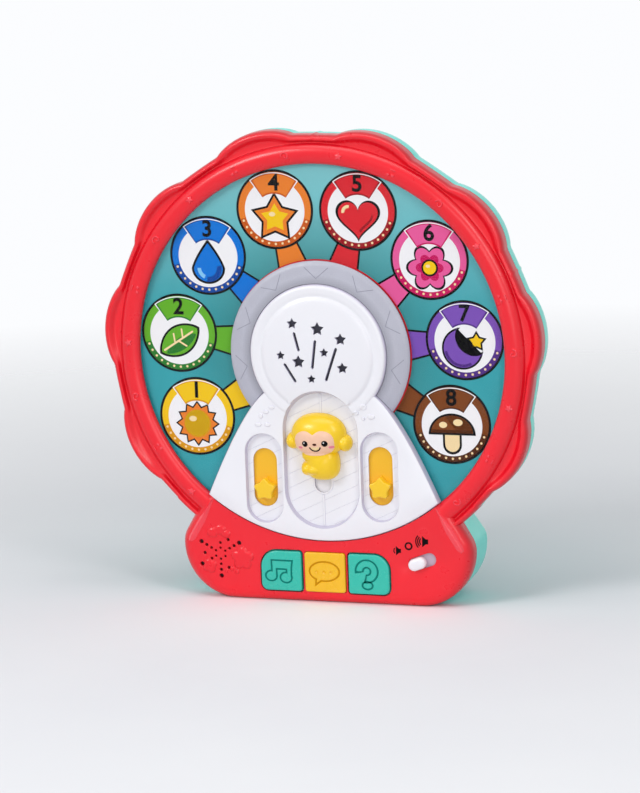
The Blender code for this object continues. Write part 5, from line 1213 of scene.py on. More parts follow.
def rim_ring():
    """The rim as one closed section swept round the wheel: a half-round lip that follows the
    lobes, a valley behind it and the half-round ring."""
    rings = [at_depth(wheel_outline(), PARTING_DEPTH)]
    for sine, cosine in quarter_turn(LIP_STEPS):
        depth = LIP_SIDE_DEPTH + (LIP_CREST_DEPTH - LIP_SIDE_DEPTH) * sine
        rings.append(at_depth(wheel_outline(LIP_WIDTH / 2 * (1 - cosine)), depth))
    rings += [lip_ring(step / LIP_STEPS) for step in range(1, LIP_STEPS + 1)]
    rings.append(at_depth(rim_circle(GROOVE_R), RING_EDGE_DEPTH))
    for step in range(1, RING_STEPS + 1):
        radius = RING_MIDDLE_R + RING_HALF * math.cos(math.pi * step / RING_STEPS)
        rings.append(at_depth(rim_circle(radius), ring_height(radius)))
    for radius, depth in ((WINDOW_R, POCKET_DEPTH), (POCKET_R, POCKET_DEPTH),
                          (POCKET_R, CAVITY_DEPTH), (CAVITY_R, CAVITY_DEPTH),
                          (CAVITY_R, PARTING_DEPTH)):
        rings.append(at_depth(rim_circle(radius), depth))
    return loft(rings, closed_loop=True)


def base_front():
    """The stand's front: a flat face whose edge rolls into the sides, tighter at the foot."""
    levels = []
    for sine, cosine in quarter_turn(BASE_EDGE_STEPS):
        inset = BASE_EDGE_INSET * (1 - sine)
        depth = BASE_FACE_DEPTH + (BASE_EDGE_DEPTH - BASE_FACE_DEPTH) * (1 - cosine)
        levels.append((base_outline(inset, max(0, inset - BASE_FOOT_TRIM)), depth))
    return stack(levels + [(base_outline(), PARTING_DEPTH)])


def base_front_cavity():
    return stack([(base_outline(BASE_EDGE_INSET + WALL / 2), BASE_INNER),
                  (base_outline(WALL), BASE_EDGE_DEPTH),
                  (base_outline(WALL), PARTING_DEPTH + OVERRUN)])


def sound_holes():
    """Six rays of holes that grow outwards, with three more between them."""
    sizes = list(zip(SOUND_HOLE_ORBITS, SOUND_HOLE_RADII))
    places = [(angle, *size) for angle, count in zip(SOUND_RAY_ANGLES, SOUND_RAY_COUNTS)
              for size in sizes[:count]]
    places += [(angle, *sizes[2]) for angle in SOUND_BETWEEN_ANGLES]
    holes = []
    for angle, orbit, radius in places:
        spot = (SPEAKER_POINT[0] + orbit * math.cos(angle),
                SPEAKER_POINT[1] + orbit * math.sin(angle))
        ring = circle(spot, radius, SOUND_HOLE_SEGMENTS)
        holes.append(stack([(offset(ring, HOLE_CHAMFER + FIT), BASE_FACE_DEPTH - FIT),
                            (ring, BASE_FACE_DEPTH + HOLE_CHAMFER),
                            (ring, BASE_INNER + OVERRUN)]))
    return gather(holes)


def switch_dish():
    """A shallow oval hollow round the switch's slot."""
    dish = oval(*SWITCH_POINT, SWITCH_DISH_HALF, SWITCH_DISH_HALF_TALL, DISH_SEGMENTS)
    lying = turned(dish, SWITCH_POINT, SWITCH_TILT)
    return stack([(offset(lying, OVERRUN), BASE_FACE_DEPTH - OVERRUN),
                  (lying, BASE_FACE_DEPTH),
                  (offset(lying, -OVERRUN), BASE_FACE_DEPTH + SWITCH_DISH_DEEP)])


def boss_pegs(radius, sink, back):
    """A peg on the axis of every case screw, from the root of its post moved back by sink."""
    pegs = []
    for index, point in enumerate(case_boss_points()):
        root = CAVITY_DEPTH if index < len(CASE_BOSS_ANGLES) else BASE_INNER
        pegs.append(peg(point, radius, root + sink, back))
    return pegs


def front_shell():
    """Red front case: rim, stand face, and everything that opens through them."""
    shell = base_front()
    face = BASE_FACE_DEPTH - OVERRUN
    cut(shell, plate(rim_circle(WINDOW_R + FIT / 2), face, PARTING_DEPTH + OVERRUN),
        plate(rim_circle(POCKET_R), POCKET_DEPTH, PARTING_DEPTH + OVERRUN))
    join(shell, rim_ring())
    cut(shell, base_front_cavity())
    collar_in = SPEAKER_R + RUNNING_FIT
    collar_out = collar_in + COLLAR_WALL
    root, end = BASE_INNER - WALL / 2, BASE_INNER + COLLAR_DEEP
    collar = turned_solid(SPEAKER_POINT, [
        (collar_out, root), (collar_out, end), (collar_in, end), (collar_in, root)],
        SPEAKER_SEGMENTS, closed_loop=True)
    join(shell, gather(boss_pegs(BOSS_R, -WALL / 2, BOSS_MEET_DEPTH) + [collar]))
    cut(shell, gather(boss_pegs(PILOT_R, WALL / 4, BOSS_MEET_DEPTH + OVERRUN)), sound_holes(),
        switch_dish())
    outlines = [button_outline(index, gap) for index, gap in enumerate(BUTTON_GAPS)]
    outlines.append(switch_outline(SWITCH_SLOT_LENGTH, SWITCH_SLOT_HALF))
    cut(shell, gather([plate(outline, face, BASE_INNER + OVERRUN) for outline in outlines]))
    return finish(shell, "front_shell", "red_shell")


def wheel_back():
    """The wheel's back half: straight beside the rim, then rolled in to a flat back."""
    levels = [(wheel_outline(SEAM_CHAMFER), PARTING_DEPTH + FIT),
              (wheel_outline(), PARTING_DEPTH + FIT + SEAM_CHAMFER)]
    for sine, cosine in quarter_turn(BACK_STEPS):
        levels.append((wheel_outline(BACK_DRAFT + BACK_ROUND_R * (1 - cosine)),
                       BACK_ROLL_START + BACK_ROLL_DEPTH * sine))
    return stack(levels)


def wheel_back_cavity():
    levels = [(CAVITY_R, PARTING_DEPTH - OVERRUN)]
    for sine, cosine in quarter_turn(BACK_STEPS - 1):
        levels.append((CAVITY_R - BACK_ROUND_R * (1 - cosine),
                       BACK_ROLL_START + (BACK_ROLL_DEPTH - WALL) * sine))
    return turned_solid((0, 0), levels, CAVITY_SEGMENTS)


def base_back(shrink, front):
    """The stand's back; shrink draws it in all round, which makes the cavity's shape."""
    levels = [(base_outline(shrink, shrink), front)]
    for sine, cosine in quarter_turn(BASE_BACK_STEPS):
        inset = (BASE_BACK_ROUND - shrink) * (1 - cosine)
        depth = BASE_BACK_DEPTH - BASE_BACK_ROUND + (BASE_BACK_ROUND - shrink) * sine
        levels.append((base_outline(shrink + BASE_BACK_DRAFT + inset, shrink + inset,
                                    BASE_BACK_TOP_SLOPE), depth))
    return stack(levels)


def bay_outline(grow=0.0):
    return box_round((0, -BAY_DROP), BAY_HALF_WIDTH + grow, BAY_HALF_TALL + grow)


def door_outline(grow=0.0):
    """A rounded plate over the bay, with a tab for its screw above it."""
    half = BAY_HALF_WIDTH + DOOR_MARGIN
    bottom = -BAY_DROP - BAY_HALF_TALL - DOOR_MARGIN
    tab = DOOR_SCREW_TAB
    corners = [(-half, bottom), (half, bottom), (half, DOOR_TOP), (tab, DOOR_TOP),
               (tab, DOOR_TOP + tab), (-tab, DOOR_TOP + tab), (-tab, DOOR_TOP),
               (-half, DOOR_TOP)]
    radii = [DOOR_CORNER_R] * len(corners)
    radii[3] = radii[6] = 0
    return offset(rounded(corners, radii, [3] * len(corners)), grow)


def back_posts():
    """What stands inside the back case: screw wells, light posts, battery bay and door post."""
    past = BASE_BACK_DEPTH + OVERRUN
    posts = [peg(point, WELL_R + WELL_WALL, BOSS_MEET_DEPTH + FIT, past, WELL_SEGMENTS)
             for point in case_boss_points()]
    led_back = DIVIDER_BACK_DEPTH + 2 * FIT + LED_BOARD_THICK
    posts += [peg(polar(angle, BADGE_R), LED_POST_R, led_back, past)
              for angle in (0.0, LED_POST_SPREAD, -LED_POST_SPREAD)]
    posts.append(plate(bay_outline(BAY_WALL), BAY_FLOOR_DEPTH - BAY_WALL, past))
    standing = gather(posts)
    join(standing, plate(door_outline(WALL), BAY_MOUTH_DEPTH - WALL, past + FIT),
         peg(DOOR_SCREW_POINT, BOSS_R, BAY_MOUTH_DEPTH - DOOR_SCREW_LENGTH - WALL,
             BAY_MOUTH_DEPTH))
    return standing


def back_shell():
    """Turquoise back case with screw wells, light posts and the battery bay."""
    shell = wheel_back()
    join(shell, base_back(0.0, PARTING_DEPTH + FIT))
    cavity = wheel_back_cavity()
    join(cavity, base_back(WALL, PARTING_DEPTH - 2 * OVERRUN))
    cut(cavity, back_posts())
    meet = BOSS_MEET_DEPTH + FIT
    past = BASE_BACK_DEPTH + OVERRUN
    well = [(PILOT_R, meet - OVERRUN), (PILOT_R, meet + BOSS_FLOOR), (WELL_R, meet + BOSS_FLOOR),
            (WELL_R, past)]
    cut(shell, cavity,
        gather([turned_solid(point, well, SCREW_SEGMENTS) for point in case_boss_points()]),
        plate(bay_outline(), BAY_FLOOR_DEPTH, past),
        plate(door_outline(FIT), BAY_MOUTH_DEPTH, past + FIT),
        peg(DOOR_SCREW_POINT, PILOT_R, BAY_MOUTH_DEPTH - DOOR_SCREW_LENGTH,
            BAY_MOUTH_DEPTH + OVERRUN))
    return finish(shell, "back_shell", "teal_shell")


def screw(name, point, seat, forward, head):
    """A pan-head screw driven from behind: its head lies behind the seat."""
    profile = [(SCREW_R * 2 / 3, seat - forward), (SCREW_R, seat), (SCREW_HEAD_R, seat),
               (SCREW_HEAD_R * 3 / 4, seat + head)]
    finish(turned_solid(point, profile, SCREW_SEGMENTS), name, "steel")


def screws():
    seat = BOSS_MEET_DEPTH + FIT + BOSS_FLOOR + FIT
    for index, point in enumerate(case_boss_points()):
        screw(f"case_screw_{index + 1}", point, seat, CASE_SCREW_LENGTH, SCREW_HEAD)
    seat = BAY_MOUTH_DEPTH + FIT + DOOR_THICK / 3 + FIT
    screw("door_screw", DOOR_SCREW_POINT, seat, DOOR_SCREW_LENGTH - FIT, BASE_BACK_DEPTH - seat)


def light_ring():
    """Frosted ring round the dome, cut away where the tower's shoulders cross it."""
    inner = DOME_R + FIT
    back = WINDOW_DEPTH - FIT
    ring = turned_solid((0, 0), [
        (inner, back), (inner, back - FROST_RISE - FROST_EDGE_DROP),
        (FROST_OUTER_R - 2 * FROST_EDGE_ROUND, back - FROST_RISE),
        (FROST_OUTER_R - FROST_EDGE_ROUND / 2, back - FROST_EDGE_DROP),
        (FROST_OUTER_R, back - FROST_EDGE_DROP / 2), (FROST_OUTER_R, back)],
        FROST_SEGMENTS, closed_loop=True)
    cut(ring, plate(offset(tower_outline(), FIT), TOWER_FACE_DEPTH - OVERRUN, back + OVERRUN))
    finish(ring, "light_ring", "frosted_plastic")


def dome():
    """Outer skin of the dome: rolled border, a round valley and a crowned disc."""
    levels = [(DOME_R, DOME_BACK_DEPTH), (DOME_R, DOME_EDGE_DEPTH + DOME_EDGE_ROUND)]
    for sine, cosine in quarter_turn(DOME_EDGE_STEPS, 1):
        levels.append((DOME_R - DOME_EDGE_ROUND * (1 - cosine),
                       DOME_EDGE_DEPTH + DOME_EDGE_ROUND * (1 - sine)))
    start = DOME_R - DOME_EDGE_ROUND
    for step in range(1, DOME_VALLEY_STEPS + 1):
        share = step / DOME_VALLEY_STEPS
        radius = start + (DOME_DISC_R - DOME_VALLEY_HALF - start) * share
        sink = DOME_VALLEY_DEEP * math.exp(-((radius - DOME_DISC_R) / DOME_VALLEY_HALF) ** 2)
        rise = DOME_STEP * max(0.0, (share - 0.5) * 2) ** 2
        levels.append((radius, DOME_EDGE_DEPTH - rise + sink))
    top = levels[-1][0]
    for share in DOME_CROWN_SHARES:
        levels.append((top * share, DOME_EDGE_DEPTH - DOME_STEP - DOME_CROWN * (1 - share ** 2)))
    return turned_solid((0, 0), levels, DOME_SEGMENTS)


def dome_hollow():
    inner = DOME_R - DOME_WALL
    floor = DOME_EDGE_DEPTH + DOME_WALL - DOME_STEP
    return turned_solid((0, 0), [
        (inner, DOME_BACK_DEPTH + OVERRUN),
        (inner, DOME_EDGE_DEPTH + DOME_EDGE_ROUND + DOME_WALL / 2),
        (DOME_DISC_R - DOME_WALL, floor),
        (DOME_DISC_R / 2, floor - DOME_CROWN * 3 / 4)], DOME_SEGMENTS // 2)


def tower_skirt():
    outline = tower_outline()
    return stack([
        (offset(outline, -TOWER_EDGE_ROUND), TOWER_FACE_DEPTH),
        (offset(outline, -TOWER_EDGE_ROUND / 3), TOWER_FACE_DEPTH + TOWER_EDGE_ROUND / 3),
        (outline, TOWER_FACE_DEPTH + TOWER_EDGE_ROUND),
        (outline, TOWER_BACK + FIT)])


def tower_foot_wall():
    """Low wall under the skirt's sides that rests on the window."""
    outline = tower_outline()
    front, back = TOWER_BACK - TOWER_RIM_WALL, WINDOW_DEPTH - FIT
    wall = plate(outline, front, back)
    below = rectangle(-WINDOW_R, -2 * WINDOW_R, WINDOW_R, -TOWER_FOOT_DROP)
    neck = circle((0, 0), DOME_R - DOME_WALL / 2, DOME_SEGMENTS)
    for hole in (offset(outline, -TOWER_RIM_WALL), below, neck):
        cut(wall, plate(hole, front - OVERRUN, back + OVERRUN))
    return wall


def tower_tabs():
    """Tabs on the lower edge that hook behind the stand's face."""
    tabs = []
    roots = []
    half = TOWER_TAB_HALF
    top = -WINDOW_R + TOWER_TAB_ROOT
    back = FLANGE_DEPTH + TOWER_TAB_THICK
    for angle in (-TOWER_TAB_SPREAD, 0.0, TOWER_TAB_SPREAD):
        hook = rectangle(-half, -WINDOW_R - TOWER_TAB_REACH, half, top)
        root = rectangle(-half + FIT, -WINDOW_R + 2 * FIT, half - FIT, top - FIT)
        tabs.append(plate(turned(hook, (0, 0), angle), FLANGE_DEPTH, back))
        roots.append(plate(turned(root, (0, 0), angle), TOWER_FACE_DEPTH + TOWER_THICK / 2,
                           back - FIT))
    return merged([gather(tabs), gather(roots)])


def upright_slot(top_drop, bottom_drop, half, segments, grow):
    return stadium((0, -(top_drop + bottom_drop) / 2), half + grow,
                   bottom_drop - top_drop + 2 * grow, segments)


def track_outline(grow=0.0):
    return upright_slot(TRACK_TOP_DROP, TRACK_BOTTOM_DROP, TRACK_HALF, TRACK_SEGMENTS, grow)


def slot_outline(grow=0.0):
    return upright_slot(SLOT_TOP_DROP, SLOT_BOTTOM_DROP, SLOT_HALF, SLOT_SEGMENTS, grow)


def recess(outline, draft):
    """A hollow with sloping walls, sunk into the tower's face."""
    flare = draft / TRACK_DEEP * (TOWER_FACE_DEPTH - DOME_FAR_FRONT)
    return stack([(offset(outline, flare), DOME_FAR_FRONT), (offset(outline, -draft),
                                                             TRACK_FLOOR)])


def dome_cutters():
    """Star holes and narrow streaks through the dome's disc."""
    outlines = []
    for x_share, z_share, r_share in DOME_STAR_SHARES:
        outlines.append(star_points(DOME_DISC_R * x_share, DOME_DISC_R * z_share,
                                    DOME_DISC_R * r_share * DOME_STAR_GROW,
                                    DOME_STAR_WAIST))
    for x0, z0, x1, z1 in DOME_STREAK_SHARES:
        start = Vector((x0, z0)) * DOME_DISC_R
        end = Vector((x1, z1)) * DOME_DISC_R
        middle = tuple((start + end) / 2)
        along = end - start
        bar = stadium(middle, DOME_STREAK_HALF, along.length + 2 * DOME_STREAK_HALF, 2)
        outlines.append(turned(bar, middle, math.atan2(along.y, along.x) - math.pi / 2))
    return gather([plate(outline, DOME_FAR_FRONT, DOME_EDGE_DEPTH + DOME_WALL)
                   for outline in outlines])


def dome_bosses(radius, front, back):
    return [peg((sign * DOME_BOSS_OFFSET, DOME_BOSS_RISE), radius, front, back)
            for sign in (-1, 1)]


def tower_panel():
    """White tower: dome, flared panel, monkey track and the two star pockets, in one moulding."""
    tower = dome()
    cut(tower, dome_hollow())
    join(tower, tower_skirt())
    cut(tower, plate(offset(tower_outline(), -TOWER_RIM_WALL / 2), TOWER_BACK,
                     DOME_BACK_DEPTH + OVERRUN))
    backing = track_outline(TRACK_BACKING)
    crown = DOME_EDGE_DEPTH - DOME_STEP
    upper = plate(backing, crown, TOWER_BACK - FIT)
    keep_common(upper, peg((0, 0), DOME_DISC_R - DOME_STEP, crown - OVERRUN,
                           TOWER_BACK + OVERRUN, DOME_SEGMENTS))
    join(tower, plate(backing, DOME_EDGE_DEPTH + DOME_WALL / 2, TOWER_BACK - FIT / 2), upper,
         tower_foot_wall(), tower_tabs())
    stake_x = CARRIAGE_HALF + RUNNING_FIT + GUIDE_WALL + GUIDE_EAR / 2
    stake_z = -(SLOT_TOP_DROP + SLOT_BOTTOM_DROP) / 2
    bosses = dome_bosses(BOSS_R, crown, DIVIDER_BACK_DEPTH - DIVIDER_WALL - FIT)
    bosses += [peg((sign * stake_x, stake_z), STAKE_R, TOWER_BACK - FIT,
                   TOWER_BACK + STAKE_LENGTH, STAKE_SEGMENTS) for sign in (-1, 1)]
    join(tower, gather(bosses))
    pockets = []
    slots = [plate(slot_outline(), TOWER_FACE_DEPTH, TOWER_BACK + OVERRUN)]
    for sign in (-1, 1):
        pocket = stadium(slider_middle(sign), POCKET_HALF, POCKET_LENGTH, POCKET_SEGMENTS)
        pockets.append(recess(pocket, POCKET_DRAFT))
        slot = stadium(slider_middle(sign), SLIDER_SLOT_HALF, SLIDER_SLOT_LENGTH,
                       POCKET_SEGMENTS)
        slots.append(plate(slot, TOWER_FACE_DEPTH, TOWER_BACK + OVERRUN))
    cut(tower, recess(track_outline(), TRACK_DRAFT), gather(pockets), gather(slots),
        dome_cutters(),
        gather(dome_bosses(PILOT_R, DIVIDER_BACK_DEPTH - DIVIDER_WALL - DOME_SCREW_LENGTH,
                           DIVIDER_BACK_DEPTH)),
        track_lines())
    return finish(tower, "tower_panel", "white_plastic")


def pebble(x, z, half_width, half_tall, thick, square=2.0, crown=1.0):
    """A cushion on the track's floor. A square above 2 fills out its corners and a crown below
    1 flattens its top; thick is measured from the monkey's flat back."""
    shape = bmesh.new()
    bmesh.ops.create_uvsphere(shape, u_segments=HEAD_SEGMENTS, v_segments=HEAD_LEVELS, radius=1)
    shape.transform(Matrix.Rotation(math.pi / 2, 4, "X"))
    for vertex in shape.verts:
        across, depth, up = vertex.co
        reach = math.hypot(across, up)
        if reach > 0:
            grow = ((abs(across) / reach) ** square + (abs(up) / reach) ** square) ** (-1 / square)
            across, up = across * grow, up * grow
        depth = math.copysign(abs(depth) ** crown, depth)
        vertex.co = (across * half_width, depth * thick, up * half_tall)
    shape.transform(Matrix.Translation(world_point((x * MM, z * MM - MONKEY_DROP),
                                                   TRACK_FLOOR - FIT)))
    return made_from(shape)


def monkey_knob():
    """Cushion-shaped monkey: head, ears, body and one curled arm, flat at the back, on a stem."""
    back = TRACK_FLOOR - FIT
    knob = merged([pebble(-1.0, -0.4, HEAD_HALF * 1.03, 0.0127, HEAD_THICK, 2.2, 0.85),
                   pebble(-16.6, -4.2, 0.0043, 0.0050, EAR_THICK),
                   pebble(14.6, -4.8, 0.0043, 0.0050, EAR_THICK)])
    soften(knob, 3)
    body = merged([pebble(0.9, -17.0, 0.0101, 0.0100, BODY_THICK, 2.6, 0.8),
                   pebble(-0.7, -12.4, 0.0108, 0.0048, BODY_THICK * 0.92, 2.4, 0.8),
                   pebble(-7.4, -19.9, 0.0044, 0.0045, 0.0090, 2.3, 0.9),
                   pebble(-3.0, -20.1, 0.0070, 0.0040, 0.0102, 2.2, 0.9)])
    soften(body, 4)
    join(knob, body)
    behind = rectangle(-2 * HEAD_HALF, -MONKEY_DROP - 2 * BODY_DROP - BODY_HALF_TALL,
                       2 * HEAD_HALF, -MONKEY_DROP + 2 * HEAD_HALF_TALL)
    cut(knob, plate(behind, back, back + 2 * HEAD_THICK))
    stem = (0, -MONKEY_DROP - STEM_DROP)
    join(knob, plate(box_round(stem, STEM_HALF, STEM_HALF_TALL), back - STEM_HALF, TOWER_BACK))
    cut(knob, peg(stem, CARRIAGE_SCREW_R + PILOT_GAP, TOWER_BACK - CARRIAGE_SCREW_LENGTH,
                  TOWER_BACK + OVERRUN, STAKE_SEGMENTS))
    return finish(knob, "monkey_knob", "monkey_yellow")


def soft_edge(outline, front, radius):
    """Levels of a cap whose front edge is rounded off."""
    return [(offset(outline, -radius * (1 - sine)), front + radius * (1 - cosine))
            for sine, cosine in quarter_turn(SOFT_EDGE_STEPS)]


def star_slider(name, sign):
    """Sliding plate, long enough to hide its slot over its travel, with a thick star."""
    x, z = slider_middle(sign)
    top = z + SLIDER_SLOT_LENGTH / 2 + SLIDER_OVERLAP
    bottom = z - SLIDER_SLOT_LENGTH / 2 - SLIDER_TRAVEL
    front = TOWER_BACK + FIT
    slide = plate(stadium((x, (top + bottom) / 2), SLIDER_SLOT_HALF + SLIDER_OVERLAP,
                          top - bottom, SLIDER_SEGMENTS), front, front + SLIDER_THICK)
    grip = star_points(x, z - SLIDER_SLOT_LENGTH / 2 + STAR_RISE_FROM_END, STAR_R * STAR_GROW,
                       STAR_WAIST_SHARE)
    blunt = rounded(grip, [STAR_TIP_R, 0] * 5, [STAR_TIP_STEPS, 0] * 5)
    join(slide, stack(soft_edge(blunt, front - STAR_HEIGHT, STAR_EDGE_R)
                      + [(blunt, front + SLIDER_THICK / 2)]))
    finish(slide, name, "slider_orange")


def sound_button(index, name, slot):
    """Button cap with a soft edge, a flange behind the case and a stem onto the keypad."""
    flange_back = FLANGE_DEPTH + BUTTON_FLANGE_THICK
    outline = button_outline(index)
    wide = offset(outline, BUTTON_FLANGE)
    cap = stack(soft_edge(outline, BUTTON_FACE, BUTTON_ROUND)
                + [(outline, FLANGE_DEPTH), (wide, FLANGE_DEPTH), (wide, flange_back)])
    stem = box_round(button_point(index), BUTTON_STEM_HALF, BUTTON_STEM_HALF)
    join(cap, plate(stem, FLANGE_DEPTH, flange_back + BUTTON_STEM))
    button_icons(index, cap)
    finish(cap, name, slot)


def volume_knob():
    """Oblong knob with a flange behind the case and a fork on the switch, at rest at the low
    end of its slot."""
    front = BASE_FACE_DEPTH - SWITCH_PROUD
    back = FLANGE_DEPTH + SWITCH_FLANGE_THICK
    body = switch_outline(SWITCH_KNOB_LENGTH, SWITCH_KNOB_HALF, KNOB_REST)
    knob = stack([(offset(body, -BUTTON_ROUND * inset), front + BUTTON_ROUND * depth)
                  for inset, depth in KNOB_ROUNDING] + [(body, front + BUTTON_ROUND * 9 / 4),
                                                        (body, back)])
    for length, half, end in (
            (SWITCH_SHUTTER_LENGTH, SWITCH_KNOB_HALF + SWITCH_FLANGE, back),
            (4 * SWITCH_FORK_HALF, SWITCH_FORK_HALF, back + SWITCH_FORK)):
        join(knob, plate(switch_outline(length, half, KNOB_REST), FLANGE_DEPTH, end))
    # The knob's look paints shade on its flange behind the slot.
    finish(knob, "volume_knob", "white_plastic", LOOKS["knob_white_painted_shade"])


def battery_door():
    """Door plate over the bay, flush with the stand's back, with a sunk seat for its screw."""
    front = BAY_MOUTH_DEPTH + FIT
    seat = front + DOOR_THICK / 3
    door = plate(door_outline(), front, BASE_BACK_DEPTH)
    cut(door, turned_solid(DOOR_SCREW_POINT, [
        (PILOT_R, front - OVERRUN), (PILOT_R, seat), (SCREW_HEAD_R + PILOT_GAP, seat),
        (SCREW_HEAD_R + PILOT_GAP, BASE_BACK_DEPTH + OVERRUN)], SCREW_SEGMENTS))
    finish(door, "battery_door", "teal_shell")


# Printed layers between the panel and the window

PANEL_FRONT = WINDOW_DEPTH + WINDOW_THICK + FIT
LAYER = 0.000030
LAYER_GAP = 0.000003
BADGE_LINE_R = 23.2
BADGE_TINT_R = 21.8
BADGE_BAND_R = 20.1
BADGE_WHITE_R = 18.0
BADGE_DOT_R = 0.72
BADGE_STEPS = 120
DOT_COUNT = 13
NUMBER_BANDS = (("white", 18.0, 6.5, 37), ("deep", 18.0, 5.9, 35.4), ("tint", 18.2, 5.2, 33))
NUMBER_BAND_DROP = 3.0
NUMBER_RISE = 15.2
NUMBER_SIZE = 13.2
NUMBER_WEIGHT = 0.026
NUMBER_CURVE_STEPS = 5
SPOKE_NEAR = 43.5
SPOKE_FAR = 70.0
SPOKE_FLARE = 0.17
SPOKE_HALF = 5.2
SPOKE_LINE_HALF = 6.4
BADGE_TINTS = ("yellow", "green", "blue", "orange", "red", "pink", "purple", "brown")
HUB_LINE_R = (0.0536, 0.0546)
HUB_LINE_STEPS = 160
CURVE_CRUMB = 0.0000005
# Generic pictures, one per badge, as (ink, outline rule, its values, layer above the badge)
MOTIFS = (
    (("black", star_points, (0, -4.4, 13.6, 0.76, 12), 0),
     ("orange", star_points, (0, -4.4, 12.2, 0.76, 12), 1),
     ("deep_yellow", oval, (0, -4.4, 8.3, 8.3), 2), ("yellow", oval, (-0.3, -4.1, 7.6, 7.6), 3),
     ("cream", oval, (-2.8, -1.6, 2.3, 1.6), 4)),
    (("black", leaf, (0, -4.4, 14.8, 9.0, 33), 0), ("green", leaf, (0, -4.4, 13.2, 7.8, 33), 1),
     ("deep_green", leaf, (1.0, -6.4, 11.0, 3.6, 33), 2),
     ("cream", capsule, (-9.4, -10.4, 8.0, 0.9, 0.6), 3),
     ("cream", capsule, (-2.8, -6.2, -3.6, -0.6, 0.5), 4),
     ("cream", capsule, (2.0, -3.0, 1.4, 2.2, 0.5), 4),
     ("cream", capsule, (-0.6, -4.8, 4.2, -7.6, 0.5), 4)),
    (("black", drop, (0, -7.4, 10.2, 17.0, 9.3), 0), ("blue", drop, (0, -7.4, 8.8, 14.6, 8.0), 1),
     ("deep_blue", arc_band, (0, -7.4, 6.6, 1.5, 262, 372), 2),
     ("sky", arc_band, (0, -7.4, 5.6, 1.1, 180, 246), 3)),
    (("black", star_points, (0, -5.0, 15.2, 0.56), 0),
     ("orange", star_points, (0, -5.0, 12.8, 0.56), 1),
     ("yellow", star_points, (0, -5.0, 8.6, 0.56), 2), ("cream", oval, (-1.6, -2.8, 1.9, 1.3), 3)),
    (("black", heart, (0, -4.0, 14.2), 0), ("red", heart, (0, -4.0, 12.6), 1),
     ("deep_red", heart, (1.4, -5.2, 7.8), 2), ("red", heart, (0.2, -4.0, 8.4), 3),
     ("cream", arc_band, (-5.8, -0.8, 3.1, 0.9, 80, 190), 4)),
    (("black", petals, (0, -4.6, 14.0, 6, 0.30), 0), ("pink", petals, (0, -4.6, 12.6, 6, 0.30), 1),
     ("deep_pink", petals, (0, -4.6, 8.2, 6, 0.30), 2), ("black", oval, (0, -4.6, 4.9, 4.9), 3),
     ("yellow", oval, (0, -4.6, 3.8, 3.8), 4), ("cream", oval, (-1.0, -3.6, 1.3, 0.9), 5)),
    (("black", crescent, (-1.5, -4.8, 12.2), 0),
     ("purple", offset, (crescent(-1.5, -4.8, 12.2), -1.1), 1),
     ("deep_purple", arc_band, (-1.5, -4.8, 10.0, 0.8, 190, 300), 2),
     ("black", star_points, (6.8, -0.6, 6.4, 0.56), 0),
     ("yellow", star_points, (6.8, -0.6, 4.4, 0.56), 1)),
    (("black", capsule, (0, -5.4, 0, -12.0, 5.6), 0), ("cream", capsule, (0, -5.4, 0, -11.8, 4.3), 1),
     ("black", cap_shape, (0, -6.2, 14.0, 12.6), 2), ("brown", cap_shape, (0, -5.0, 12.4, 10.2), 3),
     ("deep_brown", rectangle, (-12.0, -5.0, 12.0, -3.2), 4),
     ("cream", oval, (-5.2, -0.4, 2.4, 1.8), 5), ("cream", oval, (3.6, 1.2, 2.8, 2.0), 5)),
)


def numeral(text, x, z, size, level):
    """A plain bold number, standing upright."""
    curve = bpy.data.curves.new("numeral", "FONT")
    curve.body = text
    curve.size = size * MM
    curve.align_x = "CENTER"
    curve.align_y = "CENTER"
    curve.offset = size * MM * NUMBER_WEIGHT
    curve.extrude = (LAYER - LAYER_GAP) / 2
    curve.resolution_u = NUMBER_CURVE_STEPS
    holder = placed(curve)
    shape = opened(evaluated_mesh(holder))
    bpy.data.objects.remove(holder)
    bmesh.ops.remove_doubles(shape, verts=shape.verts, dist=CURVE_CRUMB)
    depth = PANEL_FRONT - (level - 0.5) * LAYER - LAYER_GAP / 2
    shape.transform(Matrix.Translation(world_point((x * MM, z * MM), depth))
                    @ Matrix.Rotation(math.pi / 2, 4, "X"))
    bmesh.ops.recalc_face_normals(shape, faces=shape.faces)
    return made_from(shape)


def spoke_shape(half):
    """A spoke that widens towards the hub, before it is turned to its badge."""
    wide = half + SPOKE_FLARE * (SPOKE_FAR - SPOKE_NEAR)
    return [(-wide, SPOKE_NEAR), (wide, SPOKE_NEAR), (half, SPOKE_FAR), (-half, SPOKE_FAR)]


